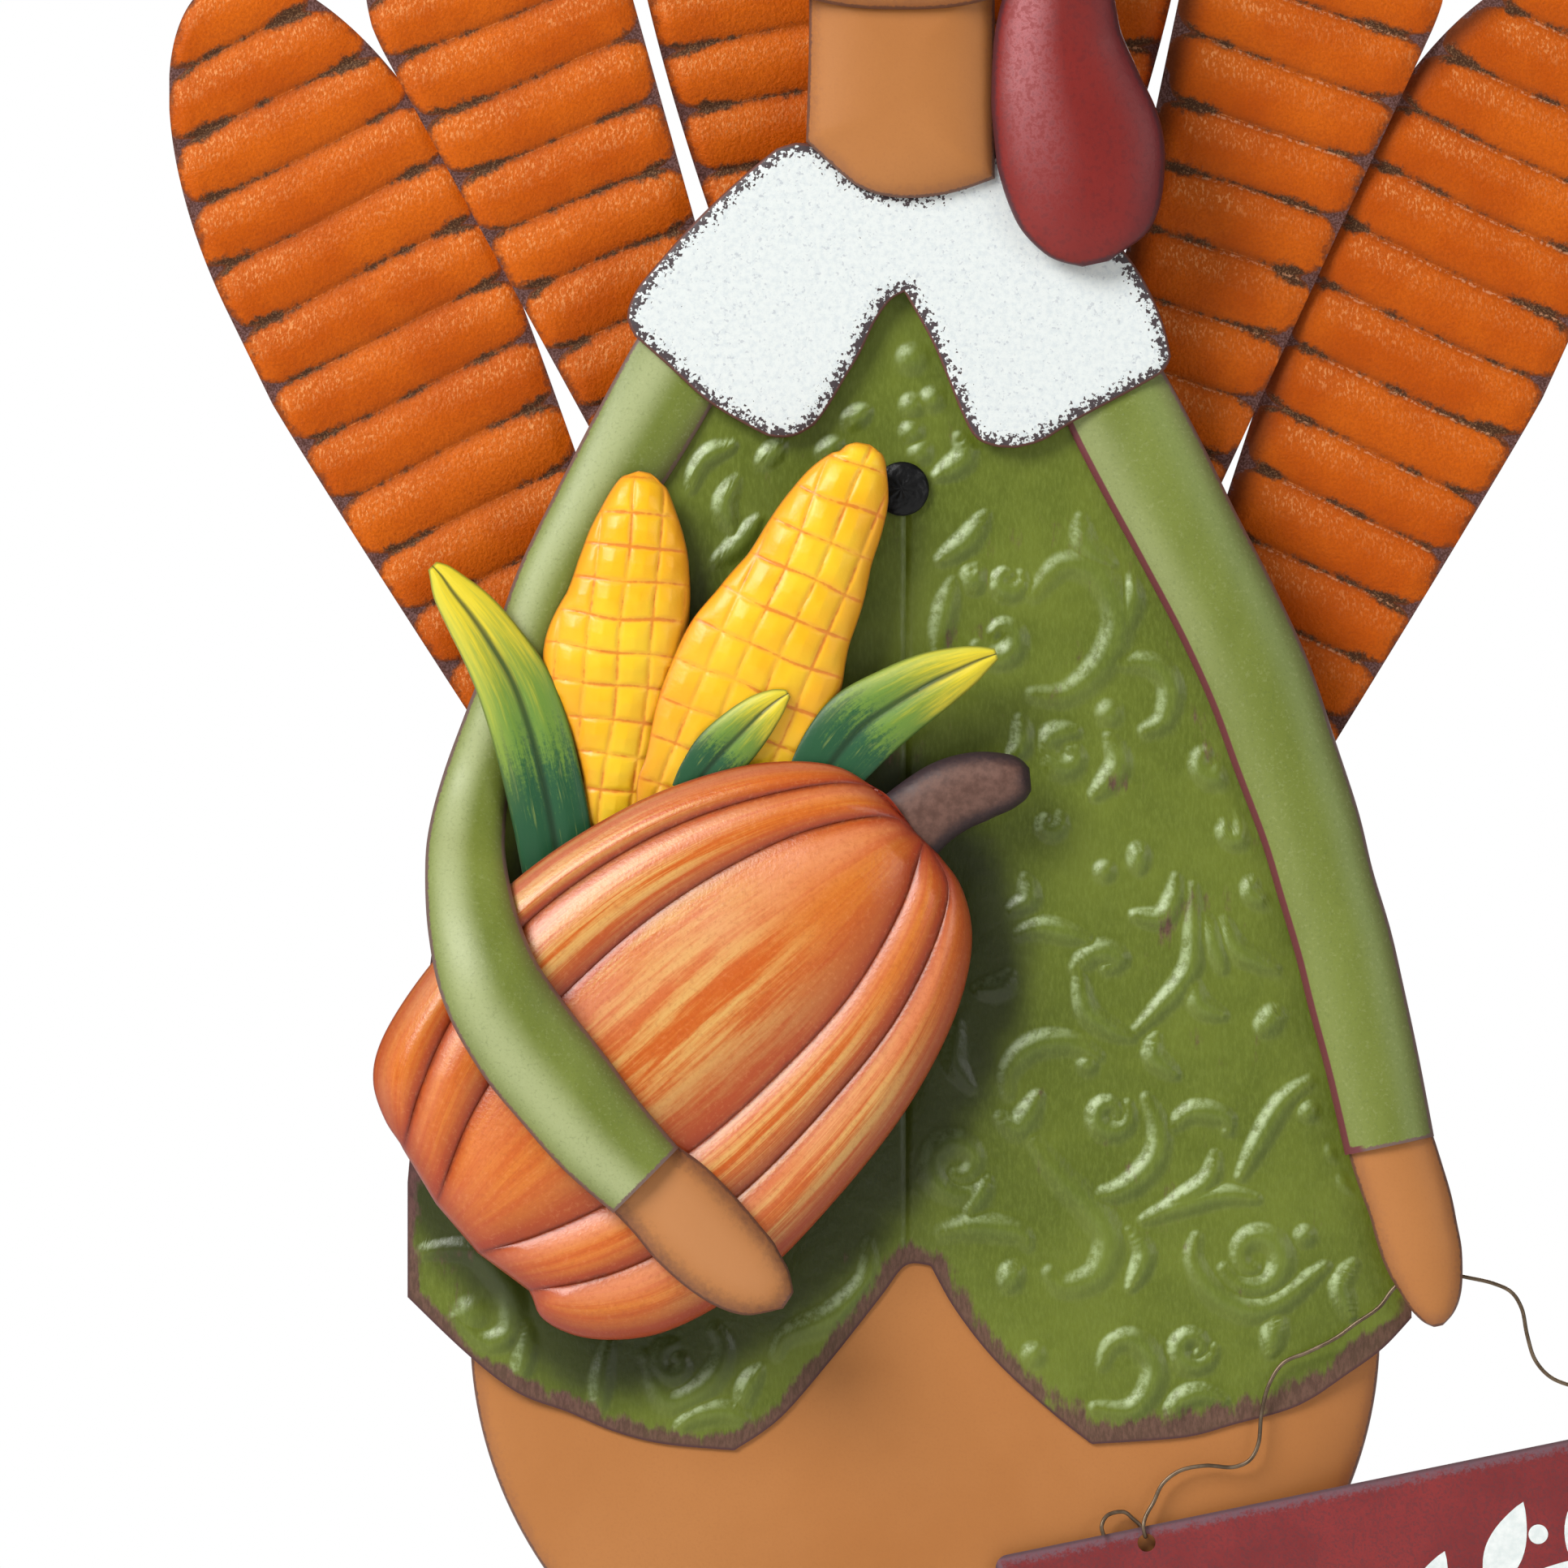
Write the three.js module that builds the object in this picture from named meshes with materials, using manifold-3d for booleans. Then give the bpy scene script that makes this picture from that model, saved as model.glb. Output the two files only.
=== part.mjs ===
// A metal turkey yard stake: pressed and painted steel sheets laid on one another, carried by two rods.
// Millimetres, +Z up, +X to the viewer's right. The viewer looks along +Y.
// A depth counts along -Y from the rods, and the ground is at zero, under the foot-press bar.
import * as THREE from 'three'
import { mergeVertices } from 'three/addons/utils/BufferGeometryUtils.js'
import Module from 'manifold-3d'

const wasm = await Module()
wasm.setup()

// Sheet metal and fits
const SHEET = 0.8
const SEAT_GAP = 0.3
const CUT_OVERRUN = 4
const SEAT_STEP = 3

// Stake frame
const fanBar = { height: 534, width: 25, thickness: 3, endMargin: 14, feathersBeside: 2.3 }
const rod = { diameter: 9.5, stance: 150, soilDepth: 180, pointLength: 25, aboveFanBar: 18, chamfer: 1 }
const pressBar = { width: 25, thickness: 5 }
const bolt = { diameter: 5, headDiameter: 9, headHeight: 3, nutAcross: 8, nutHeight: 4, tail: 1.5 }
const rivet = { diameter: 4, headDiameter: 9, headHeight: 2, shoulderDiameter: 7 }
const lug = { width: 12, height: 20, belowFanBar: 60 }
const strap = { width: 20, thickness: 3, belowVestTop: 38.5, joggle: 12, topMargin: 6 }

// Legs and feet
const leg = { diameter: 16, ringPitch: 14, ringDepth: 1.4, ringCount: 6 }
const foot = { thickness: 5, width: 66, length: 84 }

// Fan feathers: where the centre line crosses the fan bar, its lean, how far the pair is turned to the left
// and set to the right, and how far a feather goes above and below the bar
const ridge = { pitch: 24, rise: 3.5 }
const feathers = {
  middle: {
    rootX: 72.5, lean: 20.3, turn: 1.9, beside: 5.8, above: 290, below: 25,
    half: 48.6, tip: 70, taperFrom: 57, rootHalf: 19, bend: 1,
  },
  outer: {
    rootX: 152, lean: 25.3, turn: 0.7, beside: 0, above: 239, below: 100,
    half: 50, tip: 112, taperFrom: 150, rootHalf: 28, bend: 1.1,
  },
  inner: {
    rootX: 11.4, lean: 10.3, turn: 0, beside: 0, above: 295, below: 25,
    half: 47.6, tip: 62, taperFrom: 60, rootHalf: 3, bend: 1.6,
  },
}

// Body and clothes
const body = { centreX: 8, centreZ: 249, halfWidth: 168, below: 160, above: 402, rise: 11.2, roll: 50 }
const vest = { aboveBodyCentre: -43.5, width: 371, height: 470, beside: 5.5, flatHalf: 122, sideDrop: 5 }
const collar = { width: 200.5, height: 112.5, rise: 1.7, roll: 6 }
const button = { diameter: 20, height: 5 }
const neck = { width: 69.5, height: 84, rise: 10, roll: 30 }

// Head and hat
const head = { aboveNeck: 30, halfWidth: 60, halfHeight: 45, rise: 13, roll: 38 }
const eye = { spacing: 38, aboveCentre: 12, diameter: 11, height: 3.6 }
const beak = { width: 22, height: 25, belowCentre: 2, rise: 12, roll: 11 }
const snood = { besideHead: 12.3, aboveHead: 13.5, width: 59.5, height: 152, half: 31, rise: 9, climb: 22 }
const brim = { width: 146, height: 13, sag: 5, rise: 3, aboveHead: 34 }
const crown = { bottomWidth: 84, topWidth: 62, height: 82, rise: 7, roll: 22, overlap: 4 }
const hatBand = { height: 15, overhang: 1.5 }
const buckle = { width: 22, height: 21, frame: 4.5, thickness: 1.6 }

// Arms: a hand starts a little behind its sleeve's cuff
const leftSleeve = { width: 84.5, height: 311, half: 20, rise: 9 }
const leftHand = { width: 57.5, height: 49, half: 18.6, tuckX: 5.3, tuckZ: 5 }
const rightSleeve = { width: 107.5, height: 288.5, half: 20.7, rise: 10 }
const rightHand = { width: 20, height: 74, half: 15.9, tuckX: 2, tuckZ: 7.5 }

// Harvest held in the left arm
const pumpkin = { width: 220, height: 212, rise: 14, ribRise: 3.2 }
const stem = { width: 55, height: 28.5, half: 15, rise: 8 }
const leftCob = { width: 12.5, height: 137, half: 25.8, rise: 10 }
const rightCob = { width: 62.5, height: 144, half: 31.1, rise: 10 }
const leftLeaf = { width: 48, height: 122, half: 14.4, rise: 4 }
const rightLeaf = { width: 68.5, height: 53.5, half: 15, rise: 4 }
const smallLeaf = { width: 36.5, height: 37.5, half: 10.2, rise: 2.5, tilt: 4 }
const stud = { diameter: 7 }

// Sign and its wire
const sign = { length: 305, height: 116, thickness: 1, corner: 5, tilt: 11.6, drop: 131 }
const signHole = { diameter: 6.6, spacing: 192, inset: 6 }
const peg = { diameter: 3, headDiameter: 6, headHeight: 1 }
const wire = {
  diameter: 1.5, clearance: 2.6, holeClearance: 0.4, frontLoop: 2.3, backLoop: 3.2, overTop: 3.4,
}

// Places on the vest, as shares of its width and height: lower left corners, upper left for the sleeves
const collarPlaceShare = [0.2183, 0.7862]
const buttonPlaceShare = [0.4916, 0.7543]
const leftShoulderShare = [0.0593, 0.8755]
const rightShoulderShare = [0.686, 0.8532]
const pumpkinPlaceShare = [-0.0323, 0.0883]

// Places on the collar and the pumpkin, as shares of their widths and heights
const neckPlaceShare = [0.3292, 0.8178]
const stemPlaceShare = [0.8477, 0.8373]
const leftCobPlaceShare = [0.3955, 0.8585]
const rightCobPlaceShare = [0.5341, 0.875]
const leftLeafPlaceShare = [0.0977, 0.7665]
const rightLeafPlaceShare = [0.7295, 0.9363]
const smallLeafPlaceShare = [0.5273, 0.9434]
const upperStudShare = [0.72, 0.6]
const lowerStudShare = [0.46, 0.22]
const cobStudShare = [0.629, 0.66]
const pegPlaceShare = [0.85, 0.2635]
const outerRivetShare = 0.6

// Facet counts
const ROD_SIDES = 16
const SMALL_SIDES = 10
const WIRE_SIDES = 8
const WIRE_STEPS = 2
const SWEEP_COLUMNS = 6
const OUTLINE_STEPS = 5
const BODY_STEPS = 36
const HEAD_STEPS = 32
const STRIP_STEPS = 10
const RAISE_PASSES = 6
const HEAD_SQUARENESS = 2.6
const RIB_POWER = 0.6

// Rings between a sheet's rim and its pole
const bodyRingShares = [1, 0.98, 0.92, 0.82, 0.5]
const vestRingShares = [1, 0.86, 0.72, 0.4]
const collarRingShares = [1, 0.93, 0.85, 0.4]
const domeRingShares = [1, 0.93, 0.8, 0.5]
const headRingShares = [1, 0.95, 0.82, 0.5]
const beakRingShares = [1, 0.75, 0.35]

// Small profiles and outlines
const featherColumnShares = [-1, -0.84, 0.84, 1]
const featherStartShare = 0.06
const leafVeinShare = 0.55
const leafCrestShare = 0.4
const buttonShares = [[0, 0], [1, 0], [1, 0.5], [0.7, 0.9], [0, 1]]
const eyeShares = [[0, 0], [1, 0], [0.8, 0.65], [0.4, 0.94], [0, 1]]
const beakShares = [
  [0.5, 1], [0.78, 0.93], [1, 0.7], [0.9, 0.42], [0.68, 0.15], [0.5, 0], [0.32, 0.15], [0.1, 0.42],
  [0, 0.7], [0.22, 0.93],
]
const beakPoleShare = [0.5, 0.6]
const crownSagShare = 0.02
const crownShoulderShare = 0.95
const stripStraightShare = 0.8
const stripTipShare = 0.3
const pumpkinRollShare = 0.25
const ribFadeShare = 0.05
const leftCuffBulgeShare = 1.15

const collarStrokeShares = [
  [
    [0.275, 0.98], [0.32, 1], [0.37, 0.965], [0.435, 0.865], [0.51, 0.835], [0.585, 0.86],
    [0.645, 0.945], [0.7, 1],
  ],
  [[0.7, 1], [0.745, 0.98], [0.81, 0.875], [0.89, 0.7], [0.95, 0.55], [0.985, 0.41], [1, 0.3]],
  [[1, 0.3], [0.985, 0.25], [0.935, 0.195], [0.825, 0.09], [0.765, 0.025], [0.715, 0]],
  [
    [0.715, 0], [0.675, 0.005], [0.64, 0.035], [0.615, 0.115], [0.59, 0.225], [0.56, 0.35],
    [0.51, 0.51],
  ],
  [
    [0.51, 0.51], [0.485, 0.485], [0.455, 0.41], [0.43, 0.315], [0.4, 0.225], [0.37, 0.135],
    [0.345, 0.075],
  ],
  [
    [0.345, 0.075], [0.31, 0.04], [0.27, 0.035], [0.235, 0.06], [0.15, 0.15], [0.075, 0.27],
    [0.015, 0.365],
  ],
  [[0.015, 0.365], [0, 0.43], [0.015, 0.51], [0.045, 0.58], [0.13, 0.75], [0.22, 0.9], [0.275, 0.98]],
]
const collarPoleShare = [0.505, 0.66]
const vestStrokeShares = [
  [[0.39, 1], [0.44, 0.985], [0.49, 0.98], [0.545, 0.985], [0.595, 1]],
  [
    [0.595, 1], [0.67, 0.93], [0.73, 0.85], [0.795, 0.745], [0.86, 0.61], [0.92, 0.47], [0.985, 0.215],
    [1, 0.105],
  ],
  [[1, 0.105], [0.97, 0.08], [0.935, 0.06], [0.885, 0.035], [0.82, 0.02], [0.77, 0.01], [0.68, 0.005]],
  [[0.68, 0.005], [0.64, 0.03], [0.585, 0.07], [0.545, 0.11], [0.52, 0.145]],
  [[0.52, 0.145], [0.495, 0.145], [0.47, 0.12], [0.42, 0.07], [0.37, 0.025], [0.325, 0]],
  [[0.325, 0], [0.255, 0.005], [0.205, 0.015], [0.16, 0.03], [0.11, 0.045], [0.06, 0.075], [0, 0.12]],
  [
    [0, 0.12], [0, 0.21], [0.015, 0.31], [0.035, 0.435], [0.125, 0.665], [0.19, 0.765], [0.27, 0.87],
    [0.39, 1],
  ],
]
const vestPoleShare = [0.5, 0.45]
const neckStrokeShares = [
  [[0.015, 0.99], [0.015, 0.665], [0, 0.245]],
  [[0, 0.245], [0.115, 0.16], [0.285, 0.045], [0.5, 0], [0.76, 0.02], [1, 0.085]],
  [[1, 0.085], [1, 0.665], [1, 0.99]],
  [[1, 0.99], [0.5, 1], [0.015, 0.99]],
]
const neckPoleShare = [0.5, 0.5]

// Lines along the pumpkin from the stem to its lower left: its upper edge, four grooves, its lower edge
const pumpkinLineShares = [
  [
    [0.885, 0.905], [0.825, 0.965], [0.77, 0.995], [0.65, 1], [0.49, 0.955], [0.35, 0.88],
    [0.235, 0.795], [0.095, 0.65], [0.01, 0.51], [0, 0.445], [0.02, 0.38], [0.045, 0.34],
  ],
  [
    [0.895, 0.895], [0.85, 0.95], [0.795, 0.965], [0.595, 0.925], [0.42, 0.845], [0.245, 0.71],
    [0.135, 0.56], [0.08, 0.435], [0.05, 0.33],
  ],
  [
    [0.905, 0.88], [0.87, 0.905], [0.735, 0.885], [0.595, 0.82], [0.455, 0.725], [0.33, 0.61],
    [0.24, 0.51], [0.165, 0.39], [0.105, 0.235],
  ],
  [
    [0.92, 0.865], [0.905, 0.815], [0.88, 0.745], [0.805, 0.61], [0.7, 0.485], [0.54, 0.335],
    [0.38, 0.23], [0.27, 0.18], [0.175, 0.15],
  ],
  [
    [0.93, 0.855], [0.96, 0.79], [0.945, 0.71], [0.875, 0.56], [0.77, 0.42], [0.615, 0.255],
    [0.475, 0.15], [0.365, 0.105], [0.26, 0.085],
  ],
  [
    [0.945, 0.84], [0.98, 0.79], [1, 0.705], [0.98, 0.585], [0.9, 0.415], [0.77, 0.24], [0.635, 0.1],
    [0.49, 0.015], [0.4, 0], [0.33, 0.01], [0.28, 0.04], [0.265, 0.075],
  ],
]
const PUMPKIN_STEPS = 13
const ribCrossShares = [0, 0.22, 0.5, 0.78]

// Stations along the swept pieces: x, z, half width, and for some of them how far they are raised or bulged
const leftSleeveShares = [
  [1, 1, 0.87, 0, 0.3], [0.895, 0.95, 0.91, 0, 0.45], [0.705, 0.86, 0.87, 0, 0.8],
  [0.535, 0.785, 0.76, 0, 1], [0.37, 0.705, 0.67, 0, 1], [0.25, 0.62, 0.63, 0, 1],
  [0.13, 0.535, 0.63, 0, 1], [0.045, 0.47, 0.64, 0, 1], [0.005, 0.415, 0.7, 0.2, 1],
  [0, 0.37, 0.75, 0.5, 1], [0.035, 0.3, 0.84, 0.82, 1.1], [0.115, 0.23, 0.94, 1, 1.15],
  [0.26, 0.165, 1, 1, 1.2], [0.42, 0.11, 0.99, 1, 1.2], [0.585, 0.055, 0.94, 1, 1.2],
  [0.785, 0, 0.85, 1, 1.15],
]
const leftHandShares = [
  [0, 1, 0.87, 0, 1], [0.13, 0.865, 0.92, 0, 1], [0.26, 0.73, 0.97, 0, 1], [0.405, 0.545, 1, 0, 1],
  [0.595, 0.325, 0.94, 0, 0.95], [0.765, 0.17, 0.81, 0, 0.85], [0.9, 0.075, 0.55, 0, 0.65],
  [1, 0, 0.19, 0, 0.3],
]
const rightSleeveShares = [
  [0, 1, 0.93, 0, 0.3], [0.075, 0.945, 0.99, 0, 0.45], [0.18, 0.87, 1, 0, 0.8],
  [0.305, 0.78, 0.97, 0, 1], [0.445, 0.68, 0.96, 0, 1], [0.555, 0.59, 0.96, 0, 1],
  [0.64, 0.5, 0.94, 0.1, 1], [0.725, 0.41, 0.91, 0.3, 1], [0.78, 0.335, 0.88, 0.5, 1],
  [0.84, 0.26, 0.88, 0.75, 1], [0.885, 0.19, 0.87, 0.9, 1], [0.94, 0.105, 0.84, 1, 1],
  [1, 0, 0.81, 1, 1],
]
const rightHandShares = [
  [0, 1, 0.94, 0, 1], [0.135, 0.89, 1, 0, 1], [0.315, 0.74, 1, 0, 1], [0.48, 0.605, 0.98, 0, 1],
  [0.595, 0.475, 0.96, 0, 1], [0.73, 0.34, 0.91, 0, 0.95], [0.85, 0.22, 0.77, 0, 0.85],
  [0.925, 0.115, 0.6, 0, 0.7], [0.97, 0.04, 0.36, 0, 0.5], [1, 0, 0.11, 0, 0.25],
]
const leftCobShares = [
  [1, 1, 0.09, 0, 0.15], [0.97, 0.985, 0.235, 0, 0.4], [0.93, 0.965, 0.36, 0, 0.6],
  [0.86, 0.91, 0.51, 0, 0.8], [0.78, 0.83, 0.685, 0, 0.92], [0.69, 0.745, 0.8, 0, 1],
  [0.5, 0.635, 0.9, 0, 1], [0.07, 0.5, 1, 0, 0.95], [0.12, 0.4, 0.85, 0, 0.8],
  [0.17, 0.3, 0.65, 0, 0.65], [0.195, 0.195, 0.51, 0, 0.5], [0.12, 0.09, 0.42, 0, 0.3],
  [0, 0, 0.35, 0, 0.2],
]
const rightCobShares = [
  [1, 1, 0.08, 0, 0.15], [0.994, 0.986, 0.205, 0, 0.4], [0.98, 0.954, 0.335, 0, 0.6],
  [0.922, 0.894, 0.5, 0, 0.8], [0.839, 0.821, 0.6, 0, 0.92], [0.741, 0.738, 0.67, 0, 1],
  [0.642, 0.636, 0.76, 0, 1], [0.53, 0.547, 0.855, 0, 1], [0.429, 0.457, 0.974, 0, 0.9],
  [0.334, 0.36, 1, 0, 0.7], [0.237, 0.259, 0.974, 0, 0.5], [0.126, 0.136, 0.868, 0, 0.25],
  [0.066, 0.071, 0.852, 0, 0.15], [0, 0, 0.723, 0, 0.15],
]
const snoodShares = [
  [0, 1, 0.21, 1, 0.4], [0.28, 0.965, 0.31, 1, 0.5], [0.555, 0.855, 0.45, 0.8, 0.6],
  [0.705, 0.745, 0.56, 0.5, 0.7], [0.76, 0.65, 0.66, 0.2, 0.85], [0.77, 0.53, 0.78, 0, 1],
  [0.82, 0.41, 0.91, 0, 1], [0.895, 0.295, 1, 0, 1], [0.93, 0.2, 0.96, 0, 1],
  [0.96, 0.105, 0.82, 0, 0.85], [0.98, 0.04, 0.56, 0, 0.6], [1, 0, 0.16, 0, 0.25],
]
const leftLeafShares = [
  [0, 1, 0.15, 0, 0.3], [0.07, 0.97, 0.35, 0, 0.6], [0.16, 0.92, 0.54, 0, 0.8],
  [0.3, 0.85, 0.71, 0, 0.95], [0.455, 0.76, 0.83, 0, 1], [0.625, 0.64, 0.96, 0, 1],
  [0.755, 0.495, 1, 0, 1], [0.85, 0.345, 1, 0, 0.9], [0.92, 0.21, 0.98, 0, 0.7],
  [0.97, 0.085, 0.94, 0, 0.4], [1, 0, 0.88, 0, 0.3],
]
const rightLeafShares = [
  [1, 1, 0.14, 0, 0.3], [0.92, 0.965, 0.34, 0, 0.6], [0.83, 0.915, 0.52, 0, 0.8],
  [0.65, 0.805, 0.76, 0, 1], [0.455, 0.66, 0.9, 0, 1], [0.28, 0.505, 1, 0, 0.8],
  [0.16, 0.335, 0.96, 0, 0.5], [0.06, 0.15, 0.84, 0, 0.25], [0, 0, 0.72, 0, 0.2],
]
const smallLeafShares = [
  [1, 1, 0.15, 1, 0.4], [0.885, 0.93, 0.47, 0.95, 0.8], [0.72, 0.8, 0.74, 0.8, 1],
  [0.51, 0.6, 0.94, 0.55, 1], [0.295, 0.385, 1, 0.3, 0.8], [0.115, 0.175, 0.85, 0.1, 0.4],
  [0, 0, 0.71, 0, 0.2],
]
const stemShares = [
  [1, 1, 0.28, 0, 0.4], [0.945, 0.99, 0.52, 0, 0.8], [0.845, 0.97, 0.7, 0, 1],
  [0.655, 0.905, 0.86, 0, 1], [0.465, 0.78, 0.92, 0, 1], [0.29, 0.56, 0.94, 0, 0.9],
  [0.125, 0.265, 1, 0, 0.7], [0, 0, 1, 0, 0.6],
]
const footShares = [
  [0, -0.26], [0.14, -0.24], [0.17, 0], [0.3, 0.16], [0.5, 0.5], [0.42, 0.56], [0.2, 0.32],
  [0.13, 0.36], [0.15, 0.68], [0.08, 0.74], [0, 0.745],
]

// The wire's route on either side of the peg, as shares of the way across and down to the sign's hole
const leftWireShares = [
  [0.12, 0.05], [0.18, 0.13], [0.26, 0.19], [0.33, 0.245], [0.43, 0.3], [0.515, 0.34], [0.565, 0.42],
  [0.592, 0.53], [0.604, 0.65], [0.635, 0.71], [0.69, 0.735], [0.79, 0.73], [0.88, 0.75], [0.94, 0.8],
  [0.972, 0.87],
]
const rightWireShares = [
  [0.14, 0.02], [0.28, 0.065], [0.36, 0.12], [0.405, 0.22], [0.43, 0.39], [0.465, 0.545], [0.53, 0.65],
  [0.62, 0.705], [0.73, 0.73], [0.83, 0.745], [0.91, 0.79], [0.96, 0.86],
]

// A painted finish
function paint(color, roughness = 0.45, metalness = 0.2) {
  return new THREE.MeshStandardMaterial({ color, roughness, metalness })
}

const finishes = {
  feather: paint(0xc65a14, 0.35),
  tan: paint(0xb87a44),
  white: paint(0xecefed),
  vest: paint(0x6e7a2c, 0.35),
  sleeve: paint(0x748c3c, 0.4),
  snood: paint(0x8c1f1c, 0.4),
  black: paint(0x101014, 0.3),
  eye: paint(0x0c0c10, 0.15),
  beak: paint(0xe09a24, 0.4),
  hat: paint(0x2a2422, 0.5),
  band: paint(0x6a3a34, 0.5),
  brass: paint(0xc8a040, 0.35, 0.8),
  pumpkin: paint(0xd0661e, 0.4),
  stem: paint(0x5e4440, 0.6),
  corn: paint(0xf4b414, 0.35),
  leaf: paint(0x4f8a44, 0.45),
  sign: paint(0x873c36, 0.55),
  wire: paint(0x6a6058, 0.35, 0.9),
  steel: paint(0x3a3632, 0.55, 0.7),
  leg: paint(0xc88a2c, 0.45),
}

// A solid's geometry from points and faces, its faces turned outwards.
function closedGeometry(points, faces) {
  const a = new THREE.Vector3()
  const b = new THREE.Vector3()
  const c = new THREE.Vector3()
  let volume = 0
  for (const [i, j, k] of faces) {
    a.fromArray(points[i])
    b.fromArray(points[j])
    c.fromArray(points[k])
    volume += a.dot(b.cross(c))
  }
  const outward = volume < 0 ? faces.map(([i, j, k]) => [i, k, j]) : faces
  const geometry = new THREE.BufferGeometry()
  geometry.setAttribute('position', new THREE.Float32BufferAttribute(points.flat(), 3))
  geometry.setIndex(outward.flat())
  geometry.computeVertexNormals()
  return geometry
}

// A pressed sheet through rows of points { x, z, depth } of its back. A last row of one point is a pole.
function pressedSheet(rows, ringed = false, thickness = SHEET) {
  const points = []
  const faces = []
  const index = rows.map((row) => row.map((point) => {
    points.push([point.x, -point.depth, point.z], [point.x, -point.depth - thickness, point.z])
    return points.length - 2
  }))
  const quad = (a, b, c, d) => faces.push([a, b, c], [a, c, d])
  const rim = (a, b) => quad(a, b, b + 1, a + 1)
  const columns = rows[0].length
  const spans = ringed ? columns : columns - 1
  for (let i = 0; i + 1 < rows.length; i++) {
    for (let j = 0; j < spans; j++) {
      const k = (j + 1) % columns
      const a = index[i][j]
      const b = index[i][k]
      if (rows[i + 1].length === 1) {
        const pole = index[i + 1][0]
        faces.push([a, pole, b], [a + 1, b + 1, pole + 1])
        continue
      }
      const c = index[i + 1][k]
      const d = index[i + 1][j]
      quad(a, d, c, b)
      quad(a + 1, b + 1, c + 1, d + 1)
    }
    if (!ringed) {
      rim(index[i + 1][0], index[i][0])
      rim(index[i][columns - 1], index[i + 1][columns - 1])
    }
  }
  for (let j = 0; j < spans; j++) rim(index[0][j], index[0][(j + 1) % columns])
  if (!ringed) {
    const last = index[rows.length - 1]
    for (let j = 0; j < spans; j++) rim(last[j + 1], last[j])
  }
  return closedGeometry(points, faces)
}

// The closed outline through strokes of shares, as points { x, z } from the piece's lower left corner.
function outlineOf(size, strokeShares) {
  const outline = []
  for (const stroke of strokeShares) {
    const corners = stroke.map(([x, z]) => new THREE.Vector2(x * size.width, z * size.height))
    const points = new THREE.SplineCurve(corners).getSpacedPoints(OUTLINE_STEPS)
    for (const point of points.slice(0, OUTLINE_STEPS)) outline.push({ x: point.x, z: point.y })
  }
  return outline
}

// A piece's box: its size and where its lower left corner lies on the piece that carries it.
function boxOn(carrier, size, [across, up]) {
  const left = carrier.left + across * carrier.width
  const bottom = carrier.bottom + up * carrier.height
  return { ...size, left, bottom }
}

// A sleeve's box hangs from its shoulder, and a hand's from its sleeve's cuff.
function boxHungOn(carrier, size, place) {
  const shoulder = boxOn(carrier, size, place)
  return { ...shoulder, bottom: shoulder.bottom - size.height }
}
function boxAtCuff(hand, sleeve, sleeveShares) {
  const cuff = boxOn(sleeve, {}, sleeveShares.at(-1))
  return { ...hand, left: cuff.left - hand.tuckX, bottom: cuff.bottom + hand.tuckZ - hand.height }
}

function distanceToOutline(point, outline) {
  let nearest = Infinity
  outline.forEach((a, i) => {
    const b = outline[(i + 1) % outline.length]
    const alongX = b.x - a.x
    const alongZ = b.z - a.z
    const reach = ((point.x - a.x) * alongX + (point.z - a.z) * alongZ) / (alongX ** 2 + alongZ ** 2)
    const t = THREE.MathUtils.clamp(reach, 0, 1)
    nearest = Math.min(nearest, Math.hypot(point.x - a.x - t * alongX, point.z - a.z - t * alongZ))
  })
  return nearest
}

// The height of a rolled edge at a distance from the rim: a quarter of an ellipse, then flat.
function rolledRise(distance, roll, rise) {
  const inward = 1 - Math.min(distance / roll, 1)
  return rise * Math.sqrt(1 - inward ** 2)
}

// A sheet inside an outline, in rings from the rim to a pole. A function gives the depth at a point.
function outlinedSheet(outline, pole, ringShares, depthAt) {
  const ring = (share) => outline.map((rimPoint) => {
    const x = THREE.MathUtils.lerp(pole.x, rimPoint.x, share)
    const z = THREE.MathUtils.lerp(pole.z, rimPoint.z, share)
    return { x, z, depth: depthAt({ x, z }) }
  })
  const rows = ringShares.map(ring)
  rows.push([{ ...pole, depth: depthAt(pole) }])
  return pressedSheet(rows, true)
}

// A half tube swept through stations { x, z, half, depth, rise }.
function sweptSheet(stations, profile = (u) => Math.sqrt(1 - u * u)) {
  const rows = stations.map((station, i) => {
    const before = stations[Math.max(i - 1, 0)]
    const after = stations[Math.min(i + 1, stations.length - 1)]
    const length = Math.hypot(after.x - before.x, after.z - before.z)
    const across = { x: (after.z - before.z) / length, z: (before.x - after.x) / length }
    const row = []
    for (let j = 0; j <= SWEEP_COLUMNS; j++) {
      const u = -Math.cos((Math.PI * j) / SWEEP_COLUMNS)
      const edge = j === 0 || j === SWEEP_COLUMNS
      row.push({
        x: station.x + across.x * station.half * u,
        z: station.z + across.z * station.half * u,
        depth: station.depth + (edge ? 0 : station.rise * profile(u)),
      })
    }
    return row
  })
  return pressedSheet(rows)
}

// Stations of a swept piece from its table of shares, measured from its lower left corner.
function stationsOf(size, shares, lift) {
  return shares.map(([x, z, half, raised, bulge]) => ({
    x: x * size.width,
    z: z * size.height,
    half: half * size.half,
    depth: raised * lift,
    rise: bulge * size.rise,
  }))
}

function mesh(name, geometry, finish, x = 0, depth = 0, z = 0) {
  const made = new THREE.Mesh(geometry, finish)
  made.name = name
  made.position.set(x, -depth, z)
  return made
}

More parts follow.
